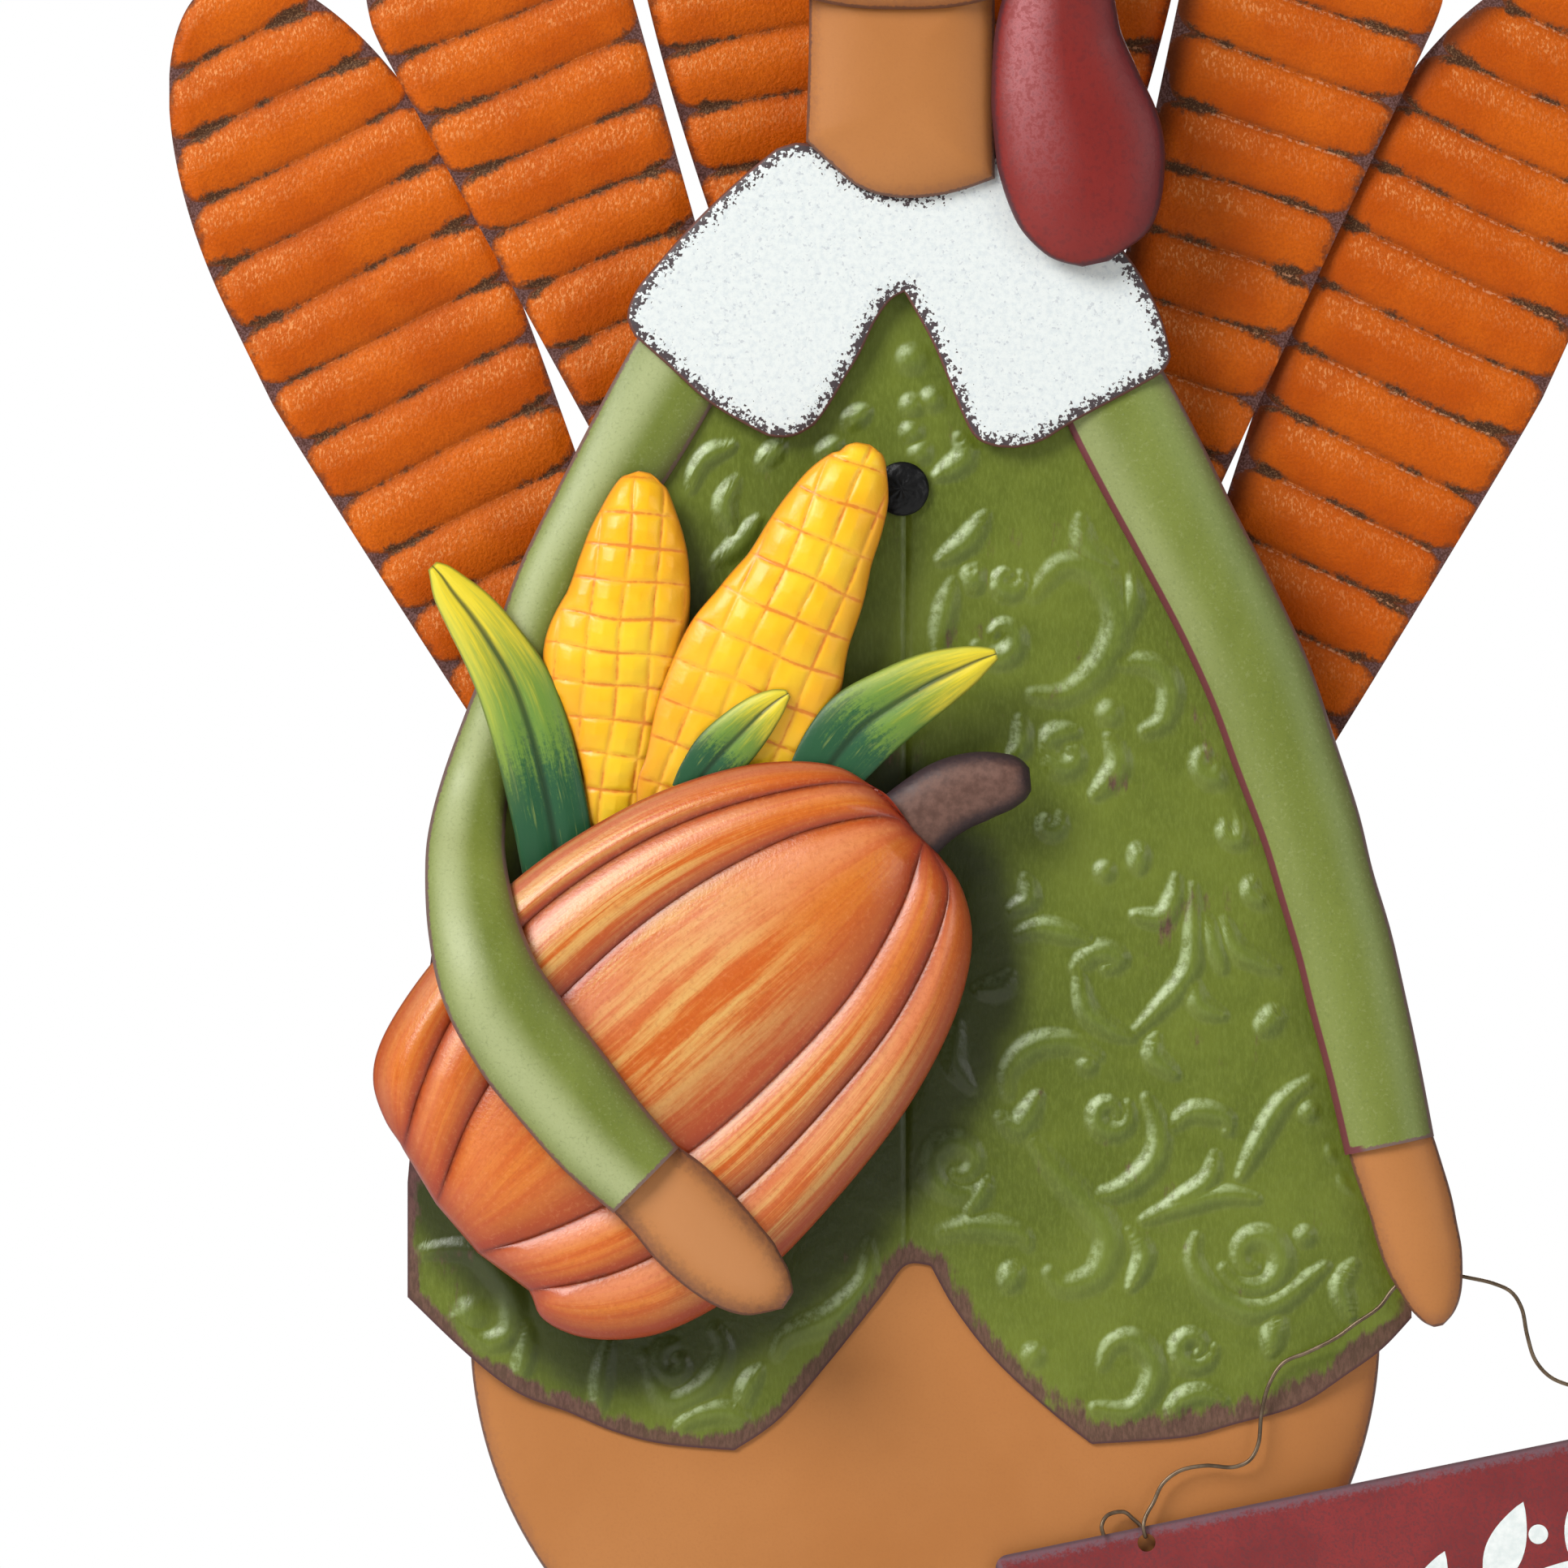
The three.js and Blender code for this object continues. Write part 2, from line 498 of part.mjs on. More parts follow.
// A mesh's triangles in the part's frame, as rows of three [x, depth, z].
function trianglesOf(piece) {
  piece.updateWorldMatrix(true, false)
  const geometry = piece.geometry.index ? piece.geometry.toNonIndexed() : piece.geometry.clone()
  geometry.applyMatrix4(piece.matrixWorld)
  const at = geometry.getAttribute('position')
  const triangles = []
  for (let i = 0; i < at.count; i += 3) {
    triangles.push([i, i + 1, i + 2].map((k) => [at.getX(k), -at.getY(k), at.getZ(k)]))
  }
  return triangles
}

// The least and greatest depth of some triangles at one place seen from the front, or null beside them.
function depthRange(triangles, x, z) {
  let least = Infinity
  let greatest = -Infinity
  for (const [a, b, c] of triangles) {
    if (x < a[0] && x < b[0] && x < c[0]) continue
    if (x > a[0] && x > b[0] && x > c[0]) continue
    if (z < a[2] && z < b[2] && z < c[2]) continue
    if (z > a[2] && z > b[2] && z > c[2]) continue
    const area = (b[0] - a[0]) * (c[2] - a[2]) - (c[0] - a[0]) * (b[2] - a[2])
    if (area === 0) continue
    const toB = ((x - a[0]) * (c[2] - a[2]) - (c[0] - a[0]) * (z - a[2])) / area
    const toC = ((b[0] - a[0]) * (z - a[2]) - (x - a[0]) * (b[2] - a[2])) / area
    if (toB < 0 || toC < 0 || toB + toC > 1) continue
    const depth = a[1] + toB * (b[1] - a[1]) + toC * (c[1] - a[1])
    least = Math.min(least, depth)
    greatest = Math.max(greatest, depth)
  }
  return greatest < least ? null : { least, greatest }
}

// The corners of some triangles and places spaced along their edges.
function samplesOf(triangles) {
  const samples = []
  for (const triangle of triangles) {
    triangle.forEach((from, i) => {
      const to = triangle[(i + 1) % triangle.length]
      const parts = Math.ceil(Math.hypot(to[0] - from[0], to[2] - from[2]) / SEAT_STEP)
      for (let k = 0; k < Math.max(parts, 1); k++) {
        samples.push(from.map((value, axis) => value + ((to[axis] - value) * k) / Math.max(parts, 1)))
      }
    })
  }
  return samples
}

// How far the carriers stand in front of a piece's back, at the place where they stand the farthest.
function overlapDepth(piece, ...carriers) {
  const own = trianglesOf(piece)
  const under = carriers.flatMap(trianglesOf)
  let overlap = -Infinity
  for (const [x, depth, z] of samplesOf(own)) {
    const below = depthRange(under, x, z)
    if (below) overlap = Math.max(overlap, below.greatest - depth)
  }
  for (const [x, depth, z] of samplesOf(under)) {
    const above = depthRange(own, x, z)
    if (above) overlap = Math.max(overlap, depth - above.least)
  }
  return overlap
}

// Moves a piece forward or back until it lies the seat gap in front of the pieces behind it.
function layOn(piece, ...carriers) {
  piece.position.y -= overlapDepth(piece, ...carriers) + SEAT_GAP
  return piece
}

// The frontmost depth of a piece on a ring of places and at its middle.
function frontAround(piece, x, z, radius) {
  const triangles = trianglesOf(piece)
  let front = -Infinity
  for (let i = 0; i < SMALL_SIDES; i++) {
    const angle = (2 * Math.PI * i) / SMALL_SIDES
    const there = depthRange(triangles, x + radius * Math.cos(angle), z + radius * Math.sin(angle))
    if (there) front = Math.max(front, there.greatest)
  }
  return front
}

function frontOf(piece, x, z) {
  return depthRange(trianglesOf(piece), x, z).greatest
}

function backOf(piece, x, z) {
  return depthRange(trianglesOf(piece), x, z).least
}

// A geometry as a solid that can be cut and joined, and back.
function solidOf(geometry) {
  const bare = geometry.clone()
  bare.deleteAttribute('normal')
  bare.deleteAttribute('uv')
  const merged = mergeVertices(bare)
  const triVerts = new Uint32Array(merged.index.array)
  const vertProperties = new Float32Array(merged.attributes.position.array)
  return new wasm.Manifold(new wasm.Mesh({ numProp: 3, vertProperties, triVerts }))
}

function geometryOf(solid) {
  const made = solid.getMesh()
  const geometry = new THREE.BufferGeometry()
  geometry.setAttribute('position', new THREE.BufferAttribute(new Float32Array(made.vertProperties), 3))
  geometry.setIndex(new THREE.BufferAttribute(new Uint32Array(made.triVerts), 1))
  geometry.computeVertexNormals()
  return geometry
}

// Cuts round holes through a piece from back to front.
function drill(piece, diameter, ...places) {
  let solid = solidOf(piece.geometry)
  const { box, reach } = extentOf(piece)
  for (const [x, z] of places) {
    const tool = new THREE.CylinderGeometry(diameter / 2, diameter / 2, reach + CUT_OVERRUN, SMALL_SIDES)
    tool.translate(x - piece.position.x, (box.min.y + box.max.y) / 2, z - piece.position.z)
    solid = solid.subtract(solidOf(tool))
  }
  piece.geometry = geometryOf(solid)
  return piece
}

function extentOf(piece) {
  piece.geometry.computeBoundingBox()
  const box = piece.geometry.boundingBox
  return { box, reach: box.max.y - box.min.y }
}

// A round wire along a curve, with a few rings from each of the curve's points to the next.
function tubeAlong(curve, segments, radius) {
  const centres = curve.getPoints(segments * WIRE_STEPS)
  const last = centres.length - 1
  const ahead = (i) => {
    const before = centres[Math.max(i - 1, 0)]
    return centres[Math.min(i + 1, last)].clone().sub(before).normalize()
  }
  const points = [centres[0].toArray()]
  const faces = []
  const side = new THREE.Vector3(0, 1, 0)
  centres.forEach((centre, i) => {
    const along = ahead(i)
    side.addScaledVector(along, -side.dot(along)).normalize()
    const other = new THREE.Vector3().crossVectors(along, side)
    for (let k = 0; k < WIRE_SIDES; k++) {
      const angle = (2 * Math.PI * k) / WIRE_SIDES
      const point = centre.clone().addScaledVector(side, radius * Math.cos(angle))
      points.push(point.addScaledVector(other, radius * Math.sin(angle)).toArray())
      const a = 1 + i * WIRE_SIDES + k
      const b = 1 + i * WIRE_SIDES + ((k + 1) % WIRE_SIDES)
      if (i === 0) faces.push([0, b, a])
      if (i < last) faces.push([a, b, b + WIRE_SIDES], [a, b + WIRE_SIDES, a + WIRE_SIDES])
      else faces.push([a, b, points.length + WIRE_SIDES - 1 - k])
    }
  })
  points.push(centres[last].toArray())
  return closedGeometry(points, faces)
}

// A turned solid on the depth axis, from a profile of [radius, depth] that starts and ends on the axis.
function turned(profile, sides = SMALL_SIDES) {
  const points = profile.map(([radius, depth]) => new THREE.Vector2(radius, -depth))
  return new THREE.LatheGeometry(points.reverse(), sides)
}

// A flat plate that faces the front, with its back at depth zero.
function plate(shape, thickness) {
  return new THREE.ExtrudeGeometry(shape, { depth: thickness, bevelEnabled: false }).rotateX(Math.PI / 2)
}

// Where the clothes and what they carry lie
const vestBox = {
  ...vest,
  left: body.centreX - vest.beside - vest.width / 2,
  bottom: body.centreZ + vest.aboveBodyCentre,
}
const collarBox = boxOn(vestBox, collar, collarPlaceShare)
const neckBox = boxOn(collarBox, neck, neckPlaceShare)
const leftSleeveBox = boxHungOn(vestBox, leftSleeve, leftShoulderShare)
const rightSleeveBox = boxHungOn(vestBox, rightSleeve, rightShoulderShare)
const leftHandBox = boxAtCuff(leftHand, leftSleeveBox, leftSleeveShares)
const rightHandBox = boxAtCuff(rightHand, rightSleeveBox, rightSleeveShares)
const pumpkinBox = boxOn(vestBox, pumpkin, pumpkinPlaceShare)
const stemBox = boxOn(pumpkinBox, stem, stemPlaceShare)
const leftCobBox = boxOn(pumpkinBox, leftCob, leftCobPlaceShare)
const rightCobBox = boxOn(pumpkinBox, rightCob, rightCobPlaceShare)
const leftLeafBox = boxOn(pumpkinBox, leftLeaf, leftLeafPlaceShare)
const rightLeafBox = boxOn(pumpkinBox, rightLeaf, rightLeafPlaceShare)
const smallLeafBox = boxOn(pumpkinBox, smallLeaf, smallLeafPlaceShare)
const headX = neckBox.left + neck.width / 2
const headZ = neckBox.bottom + neck.height + head.aboveNeck
const snoodBox = {
  ...snood,
  left: headX + snood.besideHead,
  bottom: headZ + snood.aboveHead - snood.height,
}

const stake = new THREE.Group()
const rodRadius = rod.diameter / 2
const rodX = rod.stance / 2
const rodTop = fanBar.height + rod.aboveFanBar

// Stake rods, pointed below, with a cross hole for the fan bolts
function stakeRod(name, x) {
  const length = rodTop + rod.soilDepth
  const profile = [
    [0, 0], [rodRadius, rod.pointLength],
    [rodRadius, length - rod.chamfer], [rodRadius - rod.chamfer, length], [0, length],
  ]
  const turnedRod = new THREE.LatheGeometry(profile.map(([r, z]) => new THREE.Vector2(r, z)), ROD_SIDES)
  turnedRod.rotateX(Math.PI / 2).translate(0, 0, -rod.soilDepth)
  return drill(mesh(name, turnedRod, finishes.steel, x), bolt.diameter + 2 * SEAT_GAP, [x, fanBar.height])
}
const leftRod = stakeRod('left_stake_rod', -rodX)
const rightRod = stakeRod('right_stake_rod', rodX)
stake.add(leftRod, rightRod)

const pressLength = rod.stance - rod.diameter - 2 * SEAT_GAP
const pressShape = new THREE.BoxGeometry(pressLength, pressBar.width, pressBar.thickness)
stake.add(mesh('foot_press_bar', pressShape, finishes.steel, 0, 0, pressBar.thickness / 2))

// Feet: three toes forward and a heel, round the rod
function footPlate(name, x) {
  const half = footShares.map(([across, ahead]) => [across * foot.width, -ahead * foot.length])
  const outline = [...half, ...half.slice(1, -1).reverse().map(([across, y]) => [-across, y])]
  const shape = new THREE.Shape(outline.map(([across, y]) => new THREE.Vector2(across, y)))
  const flat = new THREE.ExtrudeGeometry(shape, { depth: foot.thickness, bevelEnabled: false })
  const holeRadius = rodRadius + SEAT_GAP
  const holeLength = 2 * foot.thickness + CUT_OVERRUN
  const hole = new THREE.CylinderGeometry(holeRadius, holeRadius, holeLength, ROD_SIDES)
  const cut = solidOf(flat).subtract(solidOf(hole.rotateX(Math.PI / 2)))
  return mesh(name, geometryOf(cut), finishes.leg, x, 0, pressBar.thickness + SEAT_GAP)
}
stake.add(footPlate('left_foot', -rodX), footPlate('right_foot', rodX))

// Ringed leg tubes that slide over the rods and stand on the feet
const legBottom = pressBar.thickness + foot.thickness + 2 * SEAT_GAP
function legTube(name, x) {
  const inner = rodRadius + SEAT_GAP + SEAT_GAP
  const outer = leg.diameter / 2
  const fromBodyCentre = Math.abs(x - body.centreX) - outer
  const bodyEdge = body.centreZ - body.below * Math.sqrt(1 - (fromBodyCentre / body.halfWidth) ** 2)
  const height = bodyEdge - SEAT_GAP - legBottom
  const profile = [[inner, 0], [outer - leg.ringDepth, 0]]
  for (let i = 0; i < leg.ringCount; i++) {
    const middle = (i + 1) * leg.ringPitch
    if (middle + leg.ringPitch / 2 > height) break
    profile.push([outer, middle - leg.ringPitch / 2], [outer - leg.ringDepth, middle])
  }
  profile.push([outer - leg.ringDepth, height], [inner, height], [inner, 0])
  const tube = new THREE.LatheGeometry(profile.map(([r, z]) => new THREE.Vector2(r, z)), ROD_SIDES)
  return mesh(name, tube.rotateX(Math.PI / 2), finishes.leg, x, 0, legBottom)
}
stake.add(legTube('left_leg', -rodX), legTube('right_leg', rodX))

// Fan feathers: corrugated sheets in three layers behind the rods, the middle pair in front
const layerStep = SHEET + ridge.rise + SEAT_GAP
const fanFront = -rodRadius - layerStep
function featherSheet(name, side, size, depth) {
  const length = size.above + size.below
  const lean = THREE.MathUtils.degToRad(size.lean * side - size.turn)
  const rows = []
  const rowCount = Math.round(length / (ridge.pitch / 2))
  for (let i = 0; i <= rowCount; i++) {
    const fromTip = (length * Math.max(i, featherStartShare)) / rowCount
    const tipShare = Math.sqrt(1 - (1 - Math.min(fromTip / size.tip, 1)) ** 2)
    const taperShare = Math.max(fromTip - size.taperFrom, 0) / (length - size.taperFrom)
    const half = tipShare * (size.half - (size.half - size.rootHalf) * taperShare ** size.bend)
    const along = size.above - fromTip
    const rise = i % 2 ? ridge.rise : 0
    const toMiddle = (size.rootX + Math.abs(Math.sin(lean)) * along - SEAT_GAP) / Math.cos(lean)
    rows.push(featherColumnShares.map((u) => {
      const across = u * (u * side < 0 ? Math.min(half, toMiddle) : half)
      return {
        x: Math.sin(lean) * along + Math.cos(lean) * across,
        z: Math.cos(lean) * along - Math.sin(lean) * across,
        depth: Math.abs(u) === 1 ? 0 : rise,
      }
    }))
  }
  const x = fanBar.feathersBeside + size.beside + side * size.rootX
  return mesh(name, pressedSheet(rows), finishes.feather, x, depth, fanBar.height)
}
const featherPairs = {}
Object.entries(feathers).forEach(([kind, size], layer) => {
  const depth = fanFront - layer * layerStep
  featherPairs[kind] = [-1, 1].map((side) => {
    const name = `${side < 0 ? 'left' : 'right'}_${kind}_feather`
    return featherSheet(name, side, size, depth)
  })
})

// The flat bar behind the feathers, its bolts through the rods and its rivets
const barFront = fanFront - 2 * layerStep - SEAT_GAP
const barBack = barFront - fanBar.thickness
const barLength = 2 * (feathers.outer.rootX + fanBar.endMargin)
const barShape = new THREE.BoxGeometry(barLength, fanBar.thickness, fanBar.width)
const bar = mesh('fan_bar', barShape, finishes.steel, 0, barFront - fanBar.thickness / 2, fanBar.height)
const rivetX = {
  outer: feathers.outer.rootX - outerRivetShare * feathers.outer.half,
  inner: feathers.inner.rootX,
}
const rivetPlaces = Object.values(rivetX).flatMap((x) => {
  return [-1, 1].map((side) => [fanBar.feathersBeside + side * x, fanBar.height])
})
const boltPlaces = [[-rodX, fanBar.height], [rodX, fanBar.height]]
const boltHole = bolt.diameter + 2 * SEAT_GAP
const rivetHole = rivet.diameter + 2 * SEAT_GAP
drill(bar, boltHole, ...boltPlaces)
drill(bar, rivetHole, ...rivetPlaces)
stake.add(bar)
featherPairs.middle.forEach((feather, i) => drill(feather, boltHole, boltPlaces[i]))
featherPairs.outer.forEach((feather, i) => drill(feather, rivetHole, rivetPlaces[i]))
featherPairs.inner.forEach((feather, i) => drill(feather, rivetHole, rivetPlaces[2 + i]))
stake.add(...Object.values(featherPairs).flat())

const nutFront = barBack - SEAT_GAP
function fanBolt(name, x) {
  const headBack = rodRadius + SEAT_GAP
  const headFront = headBack + bolt.headHeight
  const back = nutFront - bolt.nutHeight - bolt.tail
  const radius = bolt.diameter / 2
  const headRadius = bolt.headDiameter / 2
  const profile = [
    [0, back], [radius, back], [radius, headBack],
    [headRadius, headBack], [headRadius, headFront], [0, headFront],
  ]
  return mesh(name, turned(profile), finishes.steel, x, 0, fanBar.height)
}
function fanNut(name, x) {
  const corner = bolt.nutAcross / 2 / Math.cos(Math.PI / 6)
  const corners = [0, 1, 2, 3, 4, 5].map((i) => (i * Math.PI) / 3)
  const points = corners.map((a) => new THREE.Vector2(corner * Math.cos(a), corner * Math.sin(a)))
  const shape = new THREE.Shape(points)
  const hole = new THREE.Path()
  hole.absarc(0, 0, boltHole / 2, 0, 2 * Math.PI, true)
  shape.holes.push(hole)
  const back = nutFront - bolt.nutHeight
  return mesh(name, plate(shape, bolt.nutHeight), finishes.steel, x, back, fanBar.height)
}
stake.add(fanBolt('left_fan_bolt', -rodX), fanBolt('right_fan_bolt', rodX))
stake.add(fanNut('left_fan_nut', -rodX), fanNut('right_fan_nut', rodX))

// A rivet with a shoulder between its feather and the bar
function featherRivet(name, feather, x) {
  const featherFront = frontAround(feather, x, fanBar.height, rivet.headDiameter / 2)
  const featherBack = -feather.position.y
  const radius = rivet.diameter / 2
  const headRadius = rivet.headDiameter / 2
  const headBack = featherFront + SEAT_GAP
  const backHead = barBack - SEAT_GAP
  const tail = backHead - rivet.headHeight
  const profile = [[0, tail], [headRadius, tail], [headRadius, backHead], [radius, backHead]]
  const shoulderBack = barFront + SEAT_GAP
  const shoulderFront = featherBack - SEAT_GAP
  profile.push([radius, shoulderBack])
  if (shoulderFront - shoulderBack > SEAT_GAP) {
    const shoulder = rivet.shoulderDiameter / 2
    profile.push([shoulder, shoulderBack], [shoulder, shoulderFront], [radius, shoulderFront])
  }
  profile.push([radius, headBack], [headRadius, headBack], [0, headBack + rivet.headHeight])
  return mesh(name, turned(profile), finishes.steel, x, 0, fanBar.height)
}
for (const kind of ['outer', 'inner']) {
  featherPairs[kind].forEach((feather, i) => {
    const side = i === 0 ? 'left' : 'right'
    const x = fanBar.feathersBeside + (i === 0 ? -1 : 1) * rivetX[kind]
    stake.add(featherRivet(`${side}_${kind}_feather_rivet`, feather, x))
  })
}

// The body shell, an egg that rests on the rods
const bodyOutline = []
for (let i = 0; i < BODY_STEPS; i++) {
  const angle = (2 * Math.PI * i) / BODY_STEPS
  const reach = Math.sin(angle) < 0 ? body.below : body.above
  bodyOutline.push({ x: body.halfWidth * Math.cos(angle), z: reach * Math.sin(angle) })
}
const bodySheet = outlinedSheet(bodyOutline, { x: 0, z: 0 }, bodyRingShares, (point) =>
  rolledRise(distanceToOutline(point, bodyOutline), body.roll, body.rise))
const bodyShell = mesh('body_shell', bodySheet, finishes.tan, body.centreX, 0, body.centreZ)
stake.add(layOn(bodyShell, leftRod, rightRod))

function bodyLug(name, x) {
  const z = fanBar.height - lug.belowFanBar
  const corners = [[-1, -1], [-1, 1], [1, -1], [1, 1]]
  const backs = corners.map(([i, k]) => backOf(bodyShell, x + (i * lug.width) / 2, z + (k * lug.height) / 2))
  const front = Math.min(...backs) - SEAT_GAP
  const back = rodRadius + SEAT_GAP
  const block = new THREE.BoxGeometry(lug.width, front - back, lug.height)
  return mesh(name, block, finishes.steel, x, (front + back) / 2, z)
}
stake.add(bodyLug('left_body_lug', -rodX), bodyLug('right_body_lug', rodX))

// The vest, flat in front and drawn back at its sides
const vestOutline = outlineOf(vest, vestStrokeShares)
const vestPole = { x: vestPoleShare[0] * vest.width, z: vestPoleShare[1] * vest.height }
const vestSheet = outlinedSheet(vestOutline, vestPole, vestRingShares, (point) => {
  const beside = Math.max(Math.abs(point.x - vest.width / 2) - vest.flatHalf, 0)
  return -vest.sideDrop * (beside / (vest.width / 2 - vest.flatHalf)) ** 2
})
const vestPiece = layOn(mesh('vest', vestSheet, finishes.vest, vestBox.left, 0, vestBox.bottom), bodyShell)
stake.add(vestPiece)

const buttonBox = boxOn(vestBox, button, buttonPlaceShare)
const buttonProfile = buttonShares.map(([r, h]) => [(r * button.diameter) / 2, h * button.height])
const buttonTurned = turned(buttonProfile, ROD_SIDES)
const buttonPiece = mesh('vest_button', buttonTurned, finishes.black, buttonBox.left, 0, buttonBox.bottom)
stake.add(layOn(buttonPiece, vestPiece))
const vestFront = frontOf(vestPiece, buttonBox.left, buttonBox.bottom)

// A swept piece in its box
function swept(name, box, shares, finish, lift = 0, profile = undefined) {
  return mesh(name, sweptSheet(stationsOf(box, shares, lift), profile), finish, box.left, 0, box.bottom)
}

// A sleeve that starts on the vest and is raised towards the cuff until it clears what lies under it
function raisedSleeve(name, box, shares, ...under) {
  const seat = -layOn(swept('draft', box, shares, finishes.sleeve), vestPiece).position.y
  let lift = 0
  let piece
  for (let pass = 0; pass < RAISE_PASSES; pass++) {
    piece = swept(name, box, shares, finishes.sleeve, lift)
    piece.position.y = -seat
    lift += Math.max(overlapDepth(piece, ...under) + SEAT_GAP, 0)
  }
  return piece
}

// Right hand and sleeve: the hanger wire passes under the hand
const wireDepth = vestFront + wire.clearance + wire.diameter / 2
const rightHandRise = rightSleeve.rise - SHEET - 4 * SEAT_GAP
const rightHandForm = { ...rightHandBox, rise: rightHandRise }
const rightHandPiece = swept('right_hand', rightHandForm, rightHandShares, finishes.tan)
rightHandPiece.position.y = -(wireDepth + wire.diameter / 2 + SEAT_GAP)
const rightSleevePiece = raisedSleeve('right_sleeve', rightSleeveBox, rightSleeveShares, rightHandPiece)
stake.add(rightHandPiece, rightSleevePiece)

// The left sleeve lies flat here, until the depth of what it holds is known.
const sleeveDraft = layOn(swept('draft', leftSleeveBox, leftSleeveShares, finishes.sleeve), vestPiece)

// Cobs and leaves
const leftCobPiece = swept('left_corn_cob', leftCobBox, leftCobShares, finishes.corn)
const rightCobPiece = swept('right_corn_cob', rightCobBox, rightCobShares, finishes.corn)
layOn(leftCobPiece, sleeveDraft, vestPiece)
layOn(rightCobPiece, leftCobPiece, buttonPiece, vestPiece)

// A leaf's cross section, drawn in along its vein
function leafProfile(u) {
  const beside = Math.min(Math.abs(u) / leafCrestShare, 1)
  return Math.sqrt(1 - u * u) * THREE.MathUtils.lerp(leafVeinShare, 1, beside)
}
function sweptLeaf(name, box, shares, tilt = 0) {
  return swept(name, box, shares, finishes.leaf, tilt, leafProfile)
}
const leftLeafPiece = sweptLeaf('left_leaf', leftLeafBox, leftLeafShares)
const rightLeafPiece = sweptLeaf('right_leaf', rightLeafBox, rightLeafShares)
const smallLeafPiece = sweptLeaf('small_leaf', smallLeafBox, smallLeafShares, smallLeaf.tilt)
layOn(leftLeafPiece, sleeveDraft, leftCobPiece, vestPiece)
layOn(rightLeafPiece, rightCobPiece, vestPiece)
layOn(smallLeafPiece, rightCobPiece, leftCobPiece, vestPiece)
stake.add(leftCobPiece, rightCobPiece, leftLeafPiece, rightLeafPiece, smallLeafPiece)

// The pumpkin: ribs between lines that run from the stem to the lower left, bulged as a whole
function pumpkinSheet() {
  const lines = pumpkinLineShares.map((line) => {
    const points = line.map(([x, z]) => new THREE.Vector3(x * pumpkin.width, 0, z * pumpkin.height))
    return new THREE.CatmullRomCurve3(points).getSpacedPoints(PUMPKIN_STEPS)
  })
  const across = []
  for (let rib = 0; rib + 1 < lines.length; rib++) {
    for (const share of ribCrossShares) across.push([rib, share])
  }
  across.push([lines.length - 2, 1])
  const rows = []
  for (let step = 0; step <= PUMPKIN_STEPS; step++) {
    rows.push(across.map(([rib, share]) => {
      const point = lines[rib][step].clone().lerp(lines[rib + 1][step], share)
      return { x: point.x, z: point.z, ribRise: pumpkin.ribRise * Math.sin(Math.PI * share) ** RIB_POWER }
    }))
  }
  const rim = [
    ...rows[0],
    ...rows.map((row) => row[row.length - 1]),
    ...[...rows[rows.length - 1]].reverse(),
    ...rows.map((row) => row[0]).reverse(),
  ].filter((point, i, all) => point.x !== all.at(i - 1).x || point.z !== all.at(i - 1).z)
  const roll = pumpkinRollShare * pumpkin.height
  const ribRoll = ribFadeShare * pumpkin.height
  return pressedSheet(rows.map((row) => row.map((point) => {
    const inside = distanceToOutline(point, rim)
    const ribbed = point.ribRise * Math.min(inside / ribRoll, 1)
    return { x: point.x, z: point.z, depth: rolledRise(inside, roll, pumpkin.rise) + ribbed }
  })))
}
const pumpkinPiece = mesh('pumpkin', pumpkinSheet(), finishes.pumpkin, pumpkinBox.left, 0, pumpkinBox.bottom)
const leafPieces = [leftLeafPiece, rightLeafPiece, smallLeafPiece]
stake.add(layOn(pumpkinPiece, leftCobPiece, rightCobPiece, ...leafPieces, vestPiece))

// The stem is tucked under the pumpkin's upper right edge
const stemPiece = swept('pumpkin_stem', stemBox, stemShares, finishes.stem)
stemPiece.position.y += overlapDepth(pumpkinPiece, stemPiece) + SEAT_GAP
stake.add(stemPiece)

// The left hand lies on the pumpkin, and its sleeve is raised over both
const leftHandRise = leftCuffBulgeShare * leftSleeve.rise - SHEET - 4 * SEAT_GAP
const leftHandForm = { ...leftHandBox, rise: leftHandRise }
const leftHandPiece = swept('left_hand', leftHandForm, leftHandShares, finishes.tan)
layOn(leftHandPiece, pumpkinPiece, vestPiece)
const held = [pumpkinPiece, leftHandPiece]
const leftSleevePiece = raisedSleeve('left_sleeve', leftSleeveBox, leftSleeveShares, ...held)
stake.add(leftHandPiece, leftSleevePiece)

// Studs between the vest and what it carries
function carryingStud(name, carried, box, share) {
  const { left: x, bottom: z } = boxOn(box, {}, share)
  const back = frontOf(vestPiece, x, z) + SEAT_GAP
  const radius = stud.diameter / 2
  const rimPlaces = [[0, 0], [-radius, 0], [radius, 0], [0, -radius], [0, radius]]
  const front = Math.min(...rimPlaces.map(([i, k]) => backOf(carried, x + i, z + k))) - SEAT_GAP
  const post = turned([[0, back], [radius, back], [radius, front], [0, front]])
  return mesh(name, post, finishes.steel, x, 0, z)
}
stake.add(carryingStud('upper_pumpkin_stud', pumpkinPiece, pumpkinBox, upperStudShare))
stake.add(carryingStud('lower_pumpkin_stud', pumpkinPiece, pumpkinBox, lowerStudShare))
stake.add(carryingStud('right_cob_stud', rightCobPiece, rightCobBox, cobStudShare))

